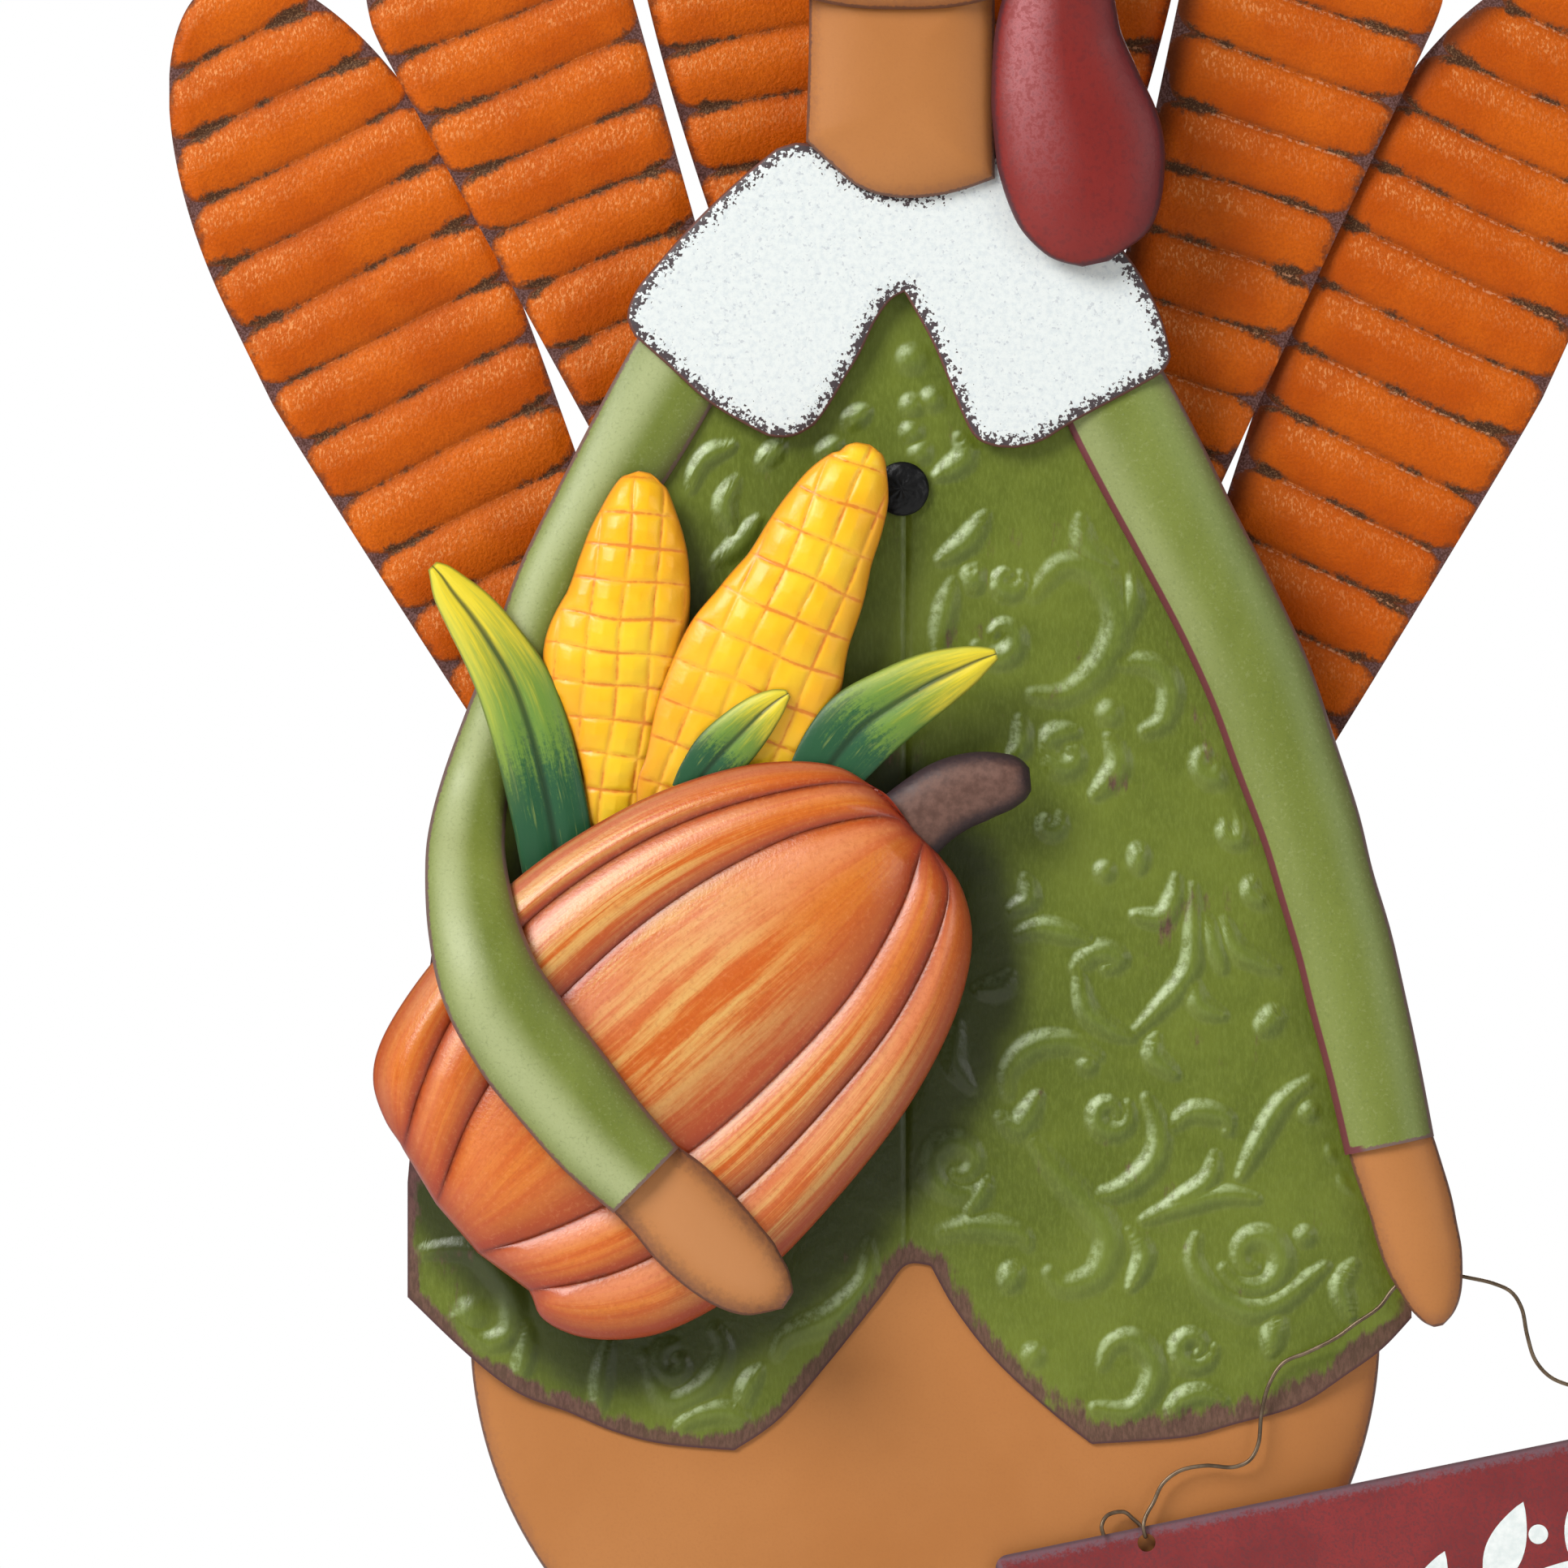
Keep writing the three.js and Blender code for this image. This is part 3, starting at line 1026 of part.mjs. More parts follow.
// Back strap, collar, neck and head
const collarOutline = outlineOf(collar, collarStrokeShares)
const collarPole = { x: collarPoleShare[0] * collar.width, z: collarPoleShare[1] * collar.height }
const collarSheet = outlinedSheet(collarOutline, collarPole, collarRingShares, (point) =>
  rolledRise(distanceToOutline(point, collarOutline), collar.roll, collar.rise))
const collarPiece = mesh('collar', collarSheet, finishes.white, collarBox.left, 0, collarBox.bottom)
const strapBottom = vestBox.bottom + vest.height - strap.belowVestTop
const strapSeat = new THREE.BoxGeometry(strap.width, strap.thickness, strap.joggle)
const strapFoot = mesh('strap_foot', strapSeat, finishes.steel, headX, 0, strapBottom + strap.joggle)
layOn(strapFoot, vestPiece)
layOn(collarPiece, rightSleevePiece, leftSleevePiece, strapFoot, vestPiece)
stake.add(collarPiece)

const neckOutline = outlineOf(neck, neckStrokeShares)
const neckPole = { x: neckPoleShare[0] * neck.width, z: neckPoleShare[1] * neck.height }
const neckSheet = outlinedSheet(neckOutline, neckPole, domeRingShares, (point) =>
  rolledRise(distanceToOutline(point, neckOutline), neck.roll, neck.rise))
const neckPiece = mesh('neck', neckSheet, finishes.tan, neckBox.left, 0, neckBox.bottom)
stake.add(layOn(neckPiece, collarPiece, vestPiece))

const headOutline = []
for (let i = 0; i < HEAD_STEPS; i++) {
  const angle = (2 * Math.PI * i) / HEAD_STEPS
  const squared = (value) => Math.sign(value) * Math.abs(value) ** (2 / HEAD_SQUARENESS)
  headOutline.push({
    x: head.halfWidth * squared(Math.cos(angle)),
    z: head.halfHeight * squared(Math.sin(angle)),
  })
}
const headSheet = outlinedSheet(headOutline, { x: 0, z: 0 }, headRingShares, (point) =>
  rolledRise(distanceToOutline(point, headOutline), head.roll, head.rise))
const headPiece = layOn(mesh('head', headSheet, finishes.tan, headX, 0, headZ), neckPiece)
stake.add(headPiece)

function eyeDome(name, x) {
  const dome = turned(eyeShares.map(([r, h]) => [(r * eye.diameter) / 2, h * eye.height]))
  return layOn(mesh(name, dome, finishes.eye, x, 0, headZ + eye.aboveCentre), headPiece)
}
stake.add(eyeDome('left_eye', headX - eye.spacing / 2), eyeDome('right_eye', headX + eye.spacing / 2))

const beakOutline = beakShares.map(([x, z]) => ({ x: x * beak.width, z: z * beak.height }))
const beakPole = { x: beakPoleShare[0] * beak.width, z: beakPoleShare[1] * beak.height }
const beakSheet = outlinedSheet(beakOutline, beakPole, beakRingShares, (point) =>
  rolledRise(distanceToOutline(point, beakOutline), beak.roll, beak.rise))
const beakBottom = headZ - beak.belowCentre - beak.height / 2
const beakPiece = mesh('beak', beakSheet, finishes.beak, headX - beak.width / 2, 0, beakBottom)
stake.add(layOn(beakPiece, headPiece))

const snoodPiece = swept('snood', snoodBox, snoodShares, finishes.snood, snood.climb)
stake.add(layOn(snoodPiece, collarPiece, neckPiece, headPiece, beakPiece))

// Hat: crown and brim in front of the head's top, a band and a buckle on the crown
const crownBottom = headZ + brim.aboveHead
const crownTaperShare = (1 - crown.topWidth / crown.bottomWidth) / 2
const crownShoulders = [[1 - crownTaperShare, crownShoulderShare], [crownTaperShare, crownShoulderShare]]
const crownOutline = outlineOf({ width: crown.bottomWidth, height: crown.height }, [
  [[0, 0], [1 / 2, -crownSagShare], [1, 0]],
  [[1, 0], crownShoulders[0]],
  [crownShoulders[0], [1 / 2, 1], crownShoulders[1]],
  [crownShoulders[1], [0, 0]],
])
const crownPole = { x: crown.bottomWidth / 2, z: crown.height / 2 }
const crownSheet = outlinedSheet(crownOutline, crownPole, domeRingShares, (point) =>
  rolledRise(distanceToOutline(point, crownOutline), crown.roll, crown.rise))
const crownLeft = headX - crown.bottomWidth / 2
const crownPiece = mesh('hat_crown', crownSheet, finishes.hat, crownLeft, 0, crownBottom)
stake.add(layOn(crownPiece, headPiece))

// A strip across the hat that sags in the middle and narrows towards its ends
function hatStrip(name, size, bottom, finish) {
  const stations = []
  for (let i = 0; i <= STRIP_STEPS; i++) {
    const t = (2 * i) / STRIP_STEPS - 1
    const toTip = Math.max(Math.abs(t) - stripStraightShare, 0) / (1 - stripStraightShare)
    const half = (size.height / 2) * THREE.MathUtils.lerp(1, stripTipShare, toTip ** 2)
    const z = size.height / 2 + size.sag * t * t
    stations.push({ x: (t * size.width) / 2, z, half, depth: 0, rise: size.rise })
  }
  return mesh(name, sweptSheet(stations), finish, headX, 0, bottom)
}
const bandWidthShare = 1 - hatBand.height / crown.height / 2
const crownWidth = THREE.MathUtils.lerp(crown.topWidth, crown.bottomWidth, bandWidthShare)
const bandSize = { width: crownWidth + 2 * hatBand.overhang, height: hatBand.height, sag: 0, rise: SHEET }
const bandBottom = crownBottom + brim.height / 2
const bandPiece = layOn(hatStrip('hat_band', bandSize, bandBottom, finishes.band), crownPiece)
const brimPiece = hatStrip('hat_brim', brim, crownBottom - crown.overlap, finishes.hat)
layOn(brimPiece, crownPiece, bandPiece, headPiece)
stake.add(brimPiece, bandPiece)

function rectangle(inset) {
  const right = buckle.width - inset
  const top = buckle.height - inset
  const corners = [[inset, inset], [right, inset], [right, top], [inset, top]]
  return corners.map(([x, z]) => new THREE.Vector2(x, z))
}
const buckleShape = new THREE.Shape(rectangle(0))
buckleShape.holes.push(new THREE.Path(rectangle(buckle.frame).reverse()))
const buckleBottom = bandBottom + hatBand.height / 2 - buckle.height / 2 + brim.height / 4
const bucklePlate = plate(buckleShape, buckle.thickness)
const buckleLeft = headX - buckle.width / 2
const bucklePiece = mesh('hat_buckle', bucklePlate, finishes.brass, buckleLeft, 0, buckleBottom)
stake.add(layOn(bucklePiece, bandPiece, crownPiece, brimPiece))

// Back strap: a flat bar that steps forward behind the vest's top, the neck, the head and the hat
function backStrap() {
  const frontLevels = [
    { depth: -strapFoot.position.y + strap.thickness / 2, from: strapBottom },
    { depth: -neckPiece.position.y - SEAT_GAP, from: collarBox.bottom + collar.height - strap.joggle },
    { depth: -headPiece.position.y - SEAT_GAP, from: neckBox.bottom + neck.height + SEAT_GAP },
    { depth: -crownPiece.position.y - SEAT_GAP, from: headZ + head.halfHeight + SEAT_GAP },
  ]
  const top = crownBottom + crown.height - strap.topMargin
  const front = []
  frontLevels.forEach((level, i) => {
    const until = i + 1 < frontLevels.length ? frontLevels[i + 1].from : top
    front.push([level.depth, i === 0 ? level.from : level.from + strap.joggle], [level.depth, until])
  })
  const back = front.map(([depth, z]) => [depth - strap.thickness, z]).reverse()
  const shape = new THREE.Shape([...front, ...back].map(([depth, z]) => new THREE.Vector2(depth, z)))
  const bar = new THREE.ExtrudeGeometry(shape, { depth: strap.width, bevelEnabled: false })
  const turn = new THREE.Matrix4().makeBasis(
    new THREE.Vector3(0, -1, 0), new THREE.Vector3(0, 0, 1), new THREE.Vector3(-1, 0, 0))
  return mesh('back_strap', bar.applyMatrix4(turn), finishes.steel, headX + strap.width / 2)
}
stake.add(backStrap())

// The headed peg behind the right hand that carries the hanger wire
const { left: pegX, bottom: pegZ } = boxOn(rightHandBox, {}, pegPlaceShare)
const pegRadius = peg.diameter / 2
const pegFront = backOf(rightHandPiece, pegX, pegZ) - SEAT_GAP
const pegShoulder = wireDepth - wire.diameter / 2 - SEAT_GAP
const pegBack = pegShoulder - peg.headHeight
const pegHead = peg.headDiameter / 2
const pegTurned = turned([
  [0, pegBack], [pegHead, pegBack], [pegHead, pegShoulder],
  [pegRadius, pegShoulder], [pegRadius, pegFront], [0, pegFront],
])
stake.add(mesh('hanger_peg', pegTurned, finishes.steel, pegX, 0, pegZ))

// The sign board, hung level with its own weight under the peg
const tilt = THREE.MathUtils.degToRad(sign.tilt)
const signShape = new THREE.Shape()
const cornerX = sign.length / 2 - sign.corner
const cornerZ = sign.height / 2 - sign.corner
const corners = [[cornerX, cornerZ], [-cornerX, cornerZ], [-cornerX, -cornerZ], [cornerX, -cornerZ]]
corners.forEach(([x, z], i) => {
  signShape.absarc(x, z, sign.corner, (i * Math.PI) / 2, ((i + 1) * Math.PI) / 2)
})
const holeUp = sign.height / 2 - signHole.inset
for (const side of [-1, 1]) {
  const hole = new THREE.Path()
  hole.absarc((side * signHole.spacing) / 2, holeUp, signHole.diameter / 2, 0, 2 * Math.PI, true)
  signShape.holes.push(hole)
}
const boardExtrusion = { depth: sign.thickness, bevelEnabled: false, curveSegments: 4 }
const board = new THREE.ExtrudeGeometry(signShape, boardExtrusion)
board.translate(0, 0, -sign.thickness / 2).rotateX(Math.PI / 2)
const signPiece = mesh('sign_board', board, finishes.sign, pegX, wireDepth, pegZ - sign.drop)
signPiece.rotation.y = -tilt
stake.add(signPiece)

// The hanger wire: over the peg, down to both holes, through them and hooked over the board's edge
function onSign(across, up, forward) {
  return new THREE.Vector3(
    signPiece.position.x + across * Math.cos(tilt) - up * Math.sin(tilt),
    -wireDepth - forward,
    signPiece.position.z + across * Math.sin(tilt) + up * Math.cos(tilt))
}
const wireRadius = wire.diameter / 2
const passUp = holeUp + signHole.diameter / 2 - wire.holeClearance - wireRadius
function wireSide(side, routeShares) {
  const holeX = (side * signHole.spacing) / 2
  const hole = onSign(holeX, passUp, 0)
  const route = routeShares.map(([across, down]) => new THREE.Vector3(
    THREE.MathUtils.lerp(pegX, hole.x, across), -wireDepth, THREE.MathUtils.lerp(pegZ, hole.z, down)))
  const edge = sign.height / 2
  return [
    ...route,
    onSign(holeX + wire.diameter, edge + wire.overTop, wire.frontLoop / 2),
    onSign(holeX, edge, wire.frontLoop),
    onSign(holeX, passUp + wireRadius / 2, wire.frontLoop - wireRadius),
    onSign(holeX, passUp, 0),
    onSign(holeX, passUp + wireRadius / 2, wireRadius - wire.backLoop),
    onSign(holeX - wireRadius, edge, -wire.backLoop),
    onSign(holeX - 2 * wire.diameter, edge + wire.overTop, wireRadius - wire.backLoop),
    onSign(holeX - 4 * wire.diameter, edge + 2 * wire.overTop, 0),
    onSign(holeX - 8 * wire.diameter, edge + 2 * wire.overTop, wireRadius),
    onSign(holeX - 10 * wire.diameter, edge + wire.overTop, wire.frontLoop),
    onSign(holeX - 10 * wire.diameter, edge, wire.frontLoop),
  ]
}
const overPeg = pegRadius + SEAT_GAP + wireRadius
const pegArc = [-1, 0, 1].map((i) => new THREE.Vector3(
  pegX + overPeg * Math.sin((i * Math.PI) / 3), -wireDepth, pegZ + overPeg * Math.cos((i * Math.PI) / 3)))
const wirePoints = [...wireSide(-1, leftWireShares).reverse(), ...pegArc, ...wireSide(1, rightWireShares)]
const wirePath = new THREE.CatmullRomCurve3(wirePoints, false, 'centripetal')
stake.add(mesh('hanger_wire', tubeAlong(wirePath, wirePoints.length - 1, wireRadius), finishes.wire))

export default stake
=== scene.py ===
"""The metal turkey yard stake as it looks: dense pressed sheets and painted materials round the CAD frame.

Tables are millimetres in the row frame, with a depth counted along -Y, as in the part's source.
"""

import math

import bmesh
import bpy
import numpy as np
from mathutils import Matrix, Vector


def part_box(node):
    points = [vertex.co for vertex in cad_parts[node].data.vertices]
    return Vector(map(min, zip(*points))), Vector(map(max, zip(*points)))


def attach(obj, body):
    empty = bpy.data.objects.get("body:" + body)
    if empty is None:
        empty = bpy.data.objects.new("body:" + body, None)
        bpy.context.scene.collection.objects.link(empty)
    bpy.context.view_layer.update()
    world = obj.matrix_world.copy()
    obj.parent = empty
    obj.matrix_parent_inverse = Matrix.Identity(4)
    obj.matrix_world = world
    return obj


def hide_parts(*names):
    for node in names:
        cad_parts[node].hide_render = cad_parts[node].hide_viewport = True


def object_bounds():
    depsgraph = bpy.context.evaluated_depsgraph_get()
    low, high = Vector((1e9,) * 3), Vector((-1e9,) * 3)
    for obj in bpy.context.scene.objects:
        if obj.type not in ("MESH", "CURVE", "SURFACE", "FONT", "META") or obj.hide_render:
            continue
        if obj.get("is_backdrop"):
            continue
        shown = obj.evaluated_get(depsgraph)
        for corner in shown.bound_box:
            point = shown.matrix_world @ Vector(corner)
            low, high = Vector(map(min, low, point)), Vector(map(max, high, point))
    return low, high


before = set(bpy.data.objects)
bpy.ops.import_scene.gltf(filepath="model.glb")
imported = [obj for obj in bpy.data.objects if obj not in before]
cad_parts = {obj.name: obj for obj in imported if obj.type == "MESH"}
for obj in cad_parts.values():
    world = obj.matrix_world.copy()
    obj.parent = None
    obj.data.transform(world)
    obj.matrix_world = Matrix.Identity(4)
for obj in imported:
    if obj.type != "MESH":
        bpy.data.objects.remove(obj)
cad_low, cad_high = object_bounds()

MM = 0.001
CAD_LOW, CAD_HIGH = np.array(cad_low) / MM, np.array(cad_high) / MM
SHEET = 0.8
SEAT_GAP = 0.3

# Sizes shared with the CAD model
VEST = dict(left=-183, bottom=205.5, width=371, height=470)
VEST_FLAT_HALF = 122
VEST_SIDE_DROP = 5
COLLAR = dict(left=-102, bottom=575, width=200.5, height=112.5)
NECK = dict(left=-36, bottom=667, width=69.5, height=84)
PUMPKIN = dict(left=-195, bottom=247, width=220, height=212)
BODY_CENTRE = (8, 249)
BODY_HALF_WIDTH = 168
BODY_BELOW = 160
BODY_ABOVE = 402
HEAD_HALF_WIDTH = 60
HEAD_HALF_HEIGHT = 45
PEG = (194, 271)
SIGN_LENGTH = 305
SIGN_HEIGHT = 116
SIGN_TILT = math.radians(11.6)
SIGN_DROP = 131
HOLE_SPACING = 192
HOLE_INSET = 6
HOLE_DIAMETER = 6.6
FAN_HEIGHT = 534
ROD_X = 75
FAN_CENTRE = 2.3
FEATHERS = {
    "outer": (152, 25.3, 0.7, 0, 239, 100, 50, 112, 150, 28, 1.1),
    "middle": (72.5, 20.3, 1.9, 5.8, 290, 25, 48.6, 70, 57, 19, 1),
    "inner": (11.4, 10.3, 0, 0, 295, 25, 47.6, 62, 60, 3, 1.6),
}
RIDGE_PITCH = 24
RIDGE_RISE = 3.5

# Swept pieces: their sizes, and stations as shares of them (x, z, half width, lift and bulge)
STATIONS = {
    "left_sleeve": (dict(left=-161, bottom=306, width=84.5, height=311, half=20, rise=9), [
        (1, 1, 0.87, 0, 0.3), (0.895, 0.95, 0.91, 0, 0.45), (0.705, 0.86, 0.87, 0, 0.8), (0.535, 0.785, 0.76, 0, 1),
        (0.37, 0.705, 0.67, 0, 1), (0.25, 0.62, 0.63, 0, 1), (0.13, 0.535, 0.63, 0, 1), (0.045, 0.47, 0.64, 0, 1),
        (0.005, 0.415, 0.7, 0.2, 1), (0, 0.37, 0.75, 0.5, 1), (0.035, 0.3, 0.84, 0.82, 1.1),
        (0.115, 0.23, 0.94, 1, 1.15), (0.26, 0.165, 1, 1, 1.2), (0.42, 0.11, 0.99, 1, 1.2),
        (0.585, 0.055, 0.94, 1, 1.2), (0.785, 0, 0.85, 1, 1.15),
    ]),
    "left_hand": (dict(left=-100, bottom=262, width=57.5, height=49, half=18.6, rise=8.35), [
        (0, 1, 0.87, 0, 1), (0.13, 0.865, 0.92, 0, 1), (0.26, 0.73, 0.97, 0, 1), (0.405, 0.545, 1, 0, 1),
        (0.595, 0.325, 0.94, 0, 0.95), (0.765, 0.17, 0.81, 0, 0.85), (0.9, 0.075, 0.55, 0, 0.65),
        (1, 0, 0.19, 0, 0.3),
    ]),
    "right_sleeve": (dict(left=71.5, bottom=318, width=107.5, height=288.5, half=20.7, rise=10), [
        (0, 1, 0.93, 0, 0.3), (0.075, 0.945, 0.99, 0, 0.45), (0.18, 0.87, 1, 0, 0.8), (0.305, 0.78, 0.97, 0, 1),
        (0.445, 0.68, 0.96, 0, 1), (0.555, 0.59, 0.96, 0, 1), (0.64, 0.5, 0.94, 0.1, 1), (0.725, 0.41, 0.91, 0.3, 1),
        (0.78, 0.335, 0.88, 0.5, 1), (0.84, 0.26, 0.88, 0.75, 1), (0.885, 0.19, 0.87, 0.9, 1),
        (0.94, 0.105, 0.84, 1, 1), (1, 0, 0.81, 1, 1),
    ]),
    "right_hand": (dict(left=177, bottom=251.5, width=20, height=74, half=15.9, rise=8), [
        (0, 1, 0.94, 0, 1), (0.135, 0.89, 1, 0, 1), (0.315, 0.74, 1, 0, 1), (0.48, 0.605, 0.98, 0, 1),
        (0.595, 0.475, 0.96, 0, 1), (0.73, 0.34, 0.91, 0, 0.95), (0.85, 0.22, 0.77, 0, 0.85),
        (0.925, 0.115, 0.6, 0, 0.7), (0.97, 0.04, 0.36, 0, 0.5), (1, 0, 0.11, 0, 0.25),
    ]),
    "left_corn_cob": (dict(left=-108, bottom=429, width=12.5, height=137, half=25.8, rise=10), [
        (1, 1, 0.09, 0, 0.15), (0.97, 0.985, 0.235, 0, 0.4), (0.93, 0.965, 0.36, 0, 0.6), (0.86, 0.91, 0.51, 0, 0.8),
        (0.78, 0.83, 0.685, 0, 0.92), (0.69, 0.745, 0.8, 0, 1), (0.5, 0.635, 0.9, 0, 1), (0.07, 0.5, 1, 0, 0.95),
        (0.12, 0.4, 0.85, 0, 0.8), (0.17, 0.3, 0.65, 0, 0.65), (0.195, 0.195, 0.51, 0, 0.5),
        (0.12, 0.09, 0.42, 0, 0.3), (0, 0, 0.35, 0, 0.2),
    ]),
    "right_corn_cob": (dict(left=-77.5, bottom=432.5, width=62.5, height=144, half=31.1, rise=10), [
        (1, 1, 0.08, 0, 0.15), (0.994, 0.986, 0.205, 0, 0.4), (0.98, 0.954, 0.335, 0, 0.6),
        (0.922, 0.894, 0.5, 0, 0.8), (0.839, 0.821, 0.6, 0, 0.92), (0.741, 0.738, 0.67, 0, 1),
        (0.642, 0.636, 0.76, 0, 1), (0.53, 0.547, 0.855, 0, 1), (0.429, 0.457, 0.974, 0, 0.9),
        (0.334, 0.36, 1, 0, 0.7), (0.237, 0.259, 0.974, 0, 0.5), (0.126, 0.136, 0.868, 0, 0.25),
        (0.066, 0.071, 0.852, 0, 0.15), (0, 0, 0.723, 0, 0.15),
    ]),
    "snood": (dict(left=11.05, bottom=642.5, width=59.5, height=152, half=31, rise=9), [
        (0, 1, 0.21, 1, 0.4), (0.28, 0.965, 0.31, 1, 0.5), (0.555, 0.855, 0.45, 0.8, 0.6),
        (0.705, 0.745, 0.56, 0.5, 0.7), (0.76, 0.65, 0.66, 0.2, 0.85), (0.77, 0.53, 0.78, 0, 1),
        (0.82, 0.41, 0.91, 0, 1), (0.895, 0.295, 1, 0, 1), (0.93, 0.2, 0.96, 0, 1), (0.96, 0.105, 0.82, 0, 0.85),
        (0.98, 0.04, 0.56, 0, 0.6), (1, 0, 0.16, 0, 0.25),
    ]),
    "left_leaf": (dict(left=-173.5, bottom=409.5, width=48, height=122, half=14.4, rise=4), [
        (0, 1, 0.15, 0, 0.3), (0.07, 0.97, 0.35, 0, 0.6), (0.16, 0.92, 0.54, 0, 0.8), (0.3, 0.85, 0.71, 0, 0.95),
        (0.455, 0.76, 0.83, 0, 1), (0.625, 0.64, 0.96, 0, 1), (0.755, 0.495, 1, 0, 1), (0.85, 0.345, 1, 0, 0.9),
        (0.92, 0.21, 0.98, 0, 0.7), (0.97, 0.085, 0.94, 0, 0.4), (1, 0, 0.88, 0, 0.3),
    ]),
    "right_leaf": (dict(left=-34.5, bottom=445.5, width=68.5, height=53.5, half=15, rise=4), [
        (1, 1, 0.14, 0, 0.3), (0.92, 0.965, 0.34, 0, 0.6), (0.83, 0.915, 0.52, 0, 0.8), (0.65, 0.805, 0.76, 0, 1),
        (0.455, 0.66, 0.9, 0, 1), (0.28, 0.505, 1, 0, 0.8), (0.16, 0.335, 0.96, 0, 0.5), (0.06, 0.15, 0.84, 0, 0.25),
        (0, 0, 0.72, 0, 0.2),
    ]),
    "small_leaf": (dict(left=-79, bottom=447, width=36.5, height=37.5, half=10.2, rise=2.5), [
        (1, 1, 0.15, 1, 0.4), (0.885, 0.93, 0.47, 0.95, 0.8), (0.72, 0.8, 0.74, 0.8, 1), (0.51, 0.6, 0.94, 0.55, 1),
        (0.295, 0.385, 1, 0.3, 0.8), (0.115, 0.175, 0.85, 0.1, 0.4), (0, 0, 0.71, 0, 0.2),
    ]),
    "pumpkin_stem": (dict(left=-8.5, bottom=424.5, width=55, height=28.5, half=15, rise=8), [
        (1, 1, 0.28, 0, 0.4), (0.945, 0.99, 0.52, 0, 0.8), (0.845, 0.97, 0.7, 0, 1), (0.655, 0.905, 0.86, 0, 1),
        (0.465, 0.78, 0.92, 0, 1), (0.29, 0.56, 0.94, 0, 0.9), (0.125, 0.265, 1, 0, 0.7), (0, 0, 1, 0, 0.6),
    ]),
}

# Outlines and lines as shares of a piece's width and height
COLLAR_STROKES = [
    [(0.275, 0.98), (0.32, 1), (0.37, 0.965), (0.435, 0.865), (0.51, 0.835), (0.585, 0.86), (0.645, 0.945), (0.7, 1)],
    [(0.7, 1), (0.745, 0.98), (0.81, 0.875), (0.89, 0.7), (0.95, 0.55), (0.985, 0.41), (1, 0.3)],
    [(1, 0.3), (0.985, 0.25), (0.935, 0.195), (0.825, 0.09), (0.765, 0.025), (0.715, 0)],
    [(0.715, 0), (0.675, 0.005), (0.64, 0.035), (0.615, 0.115), (0.59, 0.225), (0.56, 0.35), (0.51, 0.51)],
    [(0.51, 0.51), (0.485, 0.485), (0.455, 0.41), (0.43, 0.315), (0.4, 0.225), (0.37, 0.135), (0.345, 0.075)],
    [(0.345, 0.075), (0.31, 0.04), (0.27, 0.035), (0.235, 0.06), (0.15, 0.15), (0.075, 0.27), (0.015, 0.365)],
    [(0.015, 0.365), (0, 0.43), (0.015, 0.51), (0.045, 0.58), (0.13, 0.75), (0.22, 0.9), (0.275, 0.98)],
]
VEST_TOP = [
    [(0, 0.12), (0, 0.21), (0.015, 0.31), (0.035, 0.435), (0.125, 0.665), (0.19, 0.765), (0.27, 0.87), (0.39, 1)],
    [(0.39, 1), (0.44, 0.985), (0.49, 0.98), (0.545, 0.985), (0.595, 1)],
    [(0.595, 1), (0.67, 0.93), (0.73, 0.85), (0.795, 0.745), (0.86, 0.61), (0.92, 0.47), (0.985, 0.215), (1, 0.105)],
]
VEST_BOTTOM = [
    [(0, 0.12), (0.06, 0.075), (0.11, 0.045), (0.16, 0.03), (0.205, 0.015), (0.255, 0.005), (0.325, 0)],
    [(0.325, 0), (0.37, 0.025), (0.42, 0.07), (0.47, 0.12), (0.495, 0.145), (0.52, 0.145)],
    [(0.52, 0.145), (0.545, 0.11), (0.585, 0.07), (0.64, 0.03), (0.68, 0.005)],
    [(0.68, 0.005), (0.77, 0.01), (0.82, 0.02), (0.885, 0.035), (0.935, 0.06), (0.97, 0.08), (1, 0.105)],
]
NECK_STROKES = [
    [(0.015, 0.99), (0.015, 0.665), (0, 0.245)],
    [(0, 0.245), (0.115, 0.16), (0.285, 0.045), (0.5, 0), (0.76, 0.02), (1, 0.085)],
    [(1, 0.085), (1, 0.665), (1, 0.99)],
    [(1, 0.99), (0.5, 1), (0.015, 0.99)],
]
BEAK_POINTS = [
    (0.5, 1), (0.78, 0.93), (1, 0.7), (0.9, 0.42), (0.68, 0.15), (0.5, 0), (0.32, 0.15), (0.1, 0.42), (0, 0.7),
    (0.22, 0.93), (0.5, 1),
]
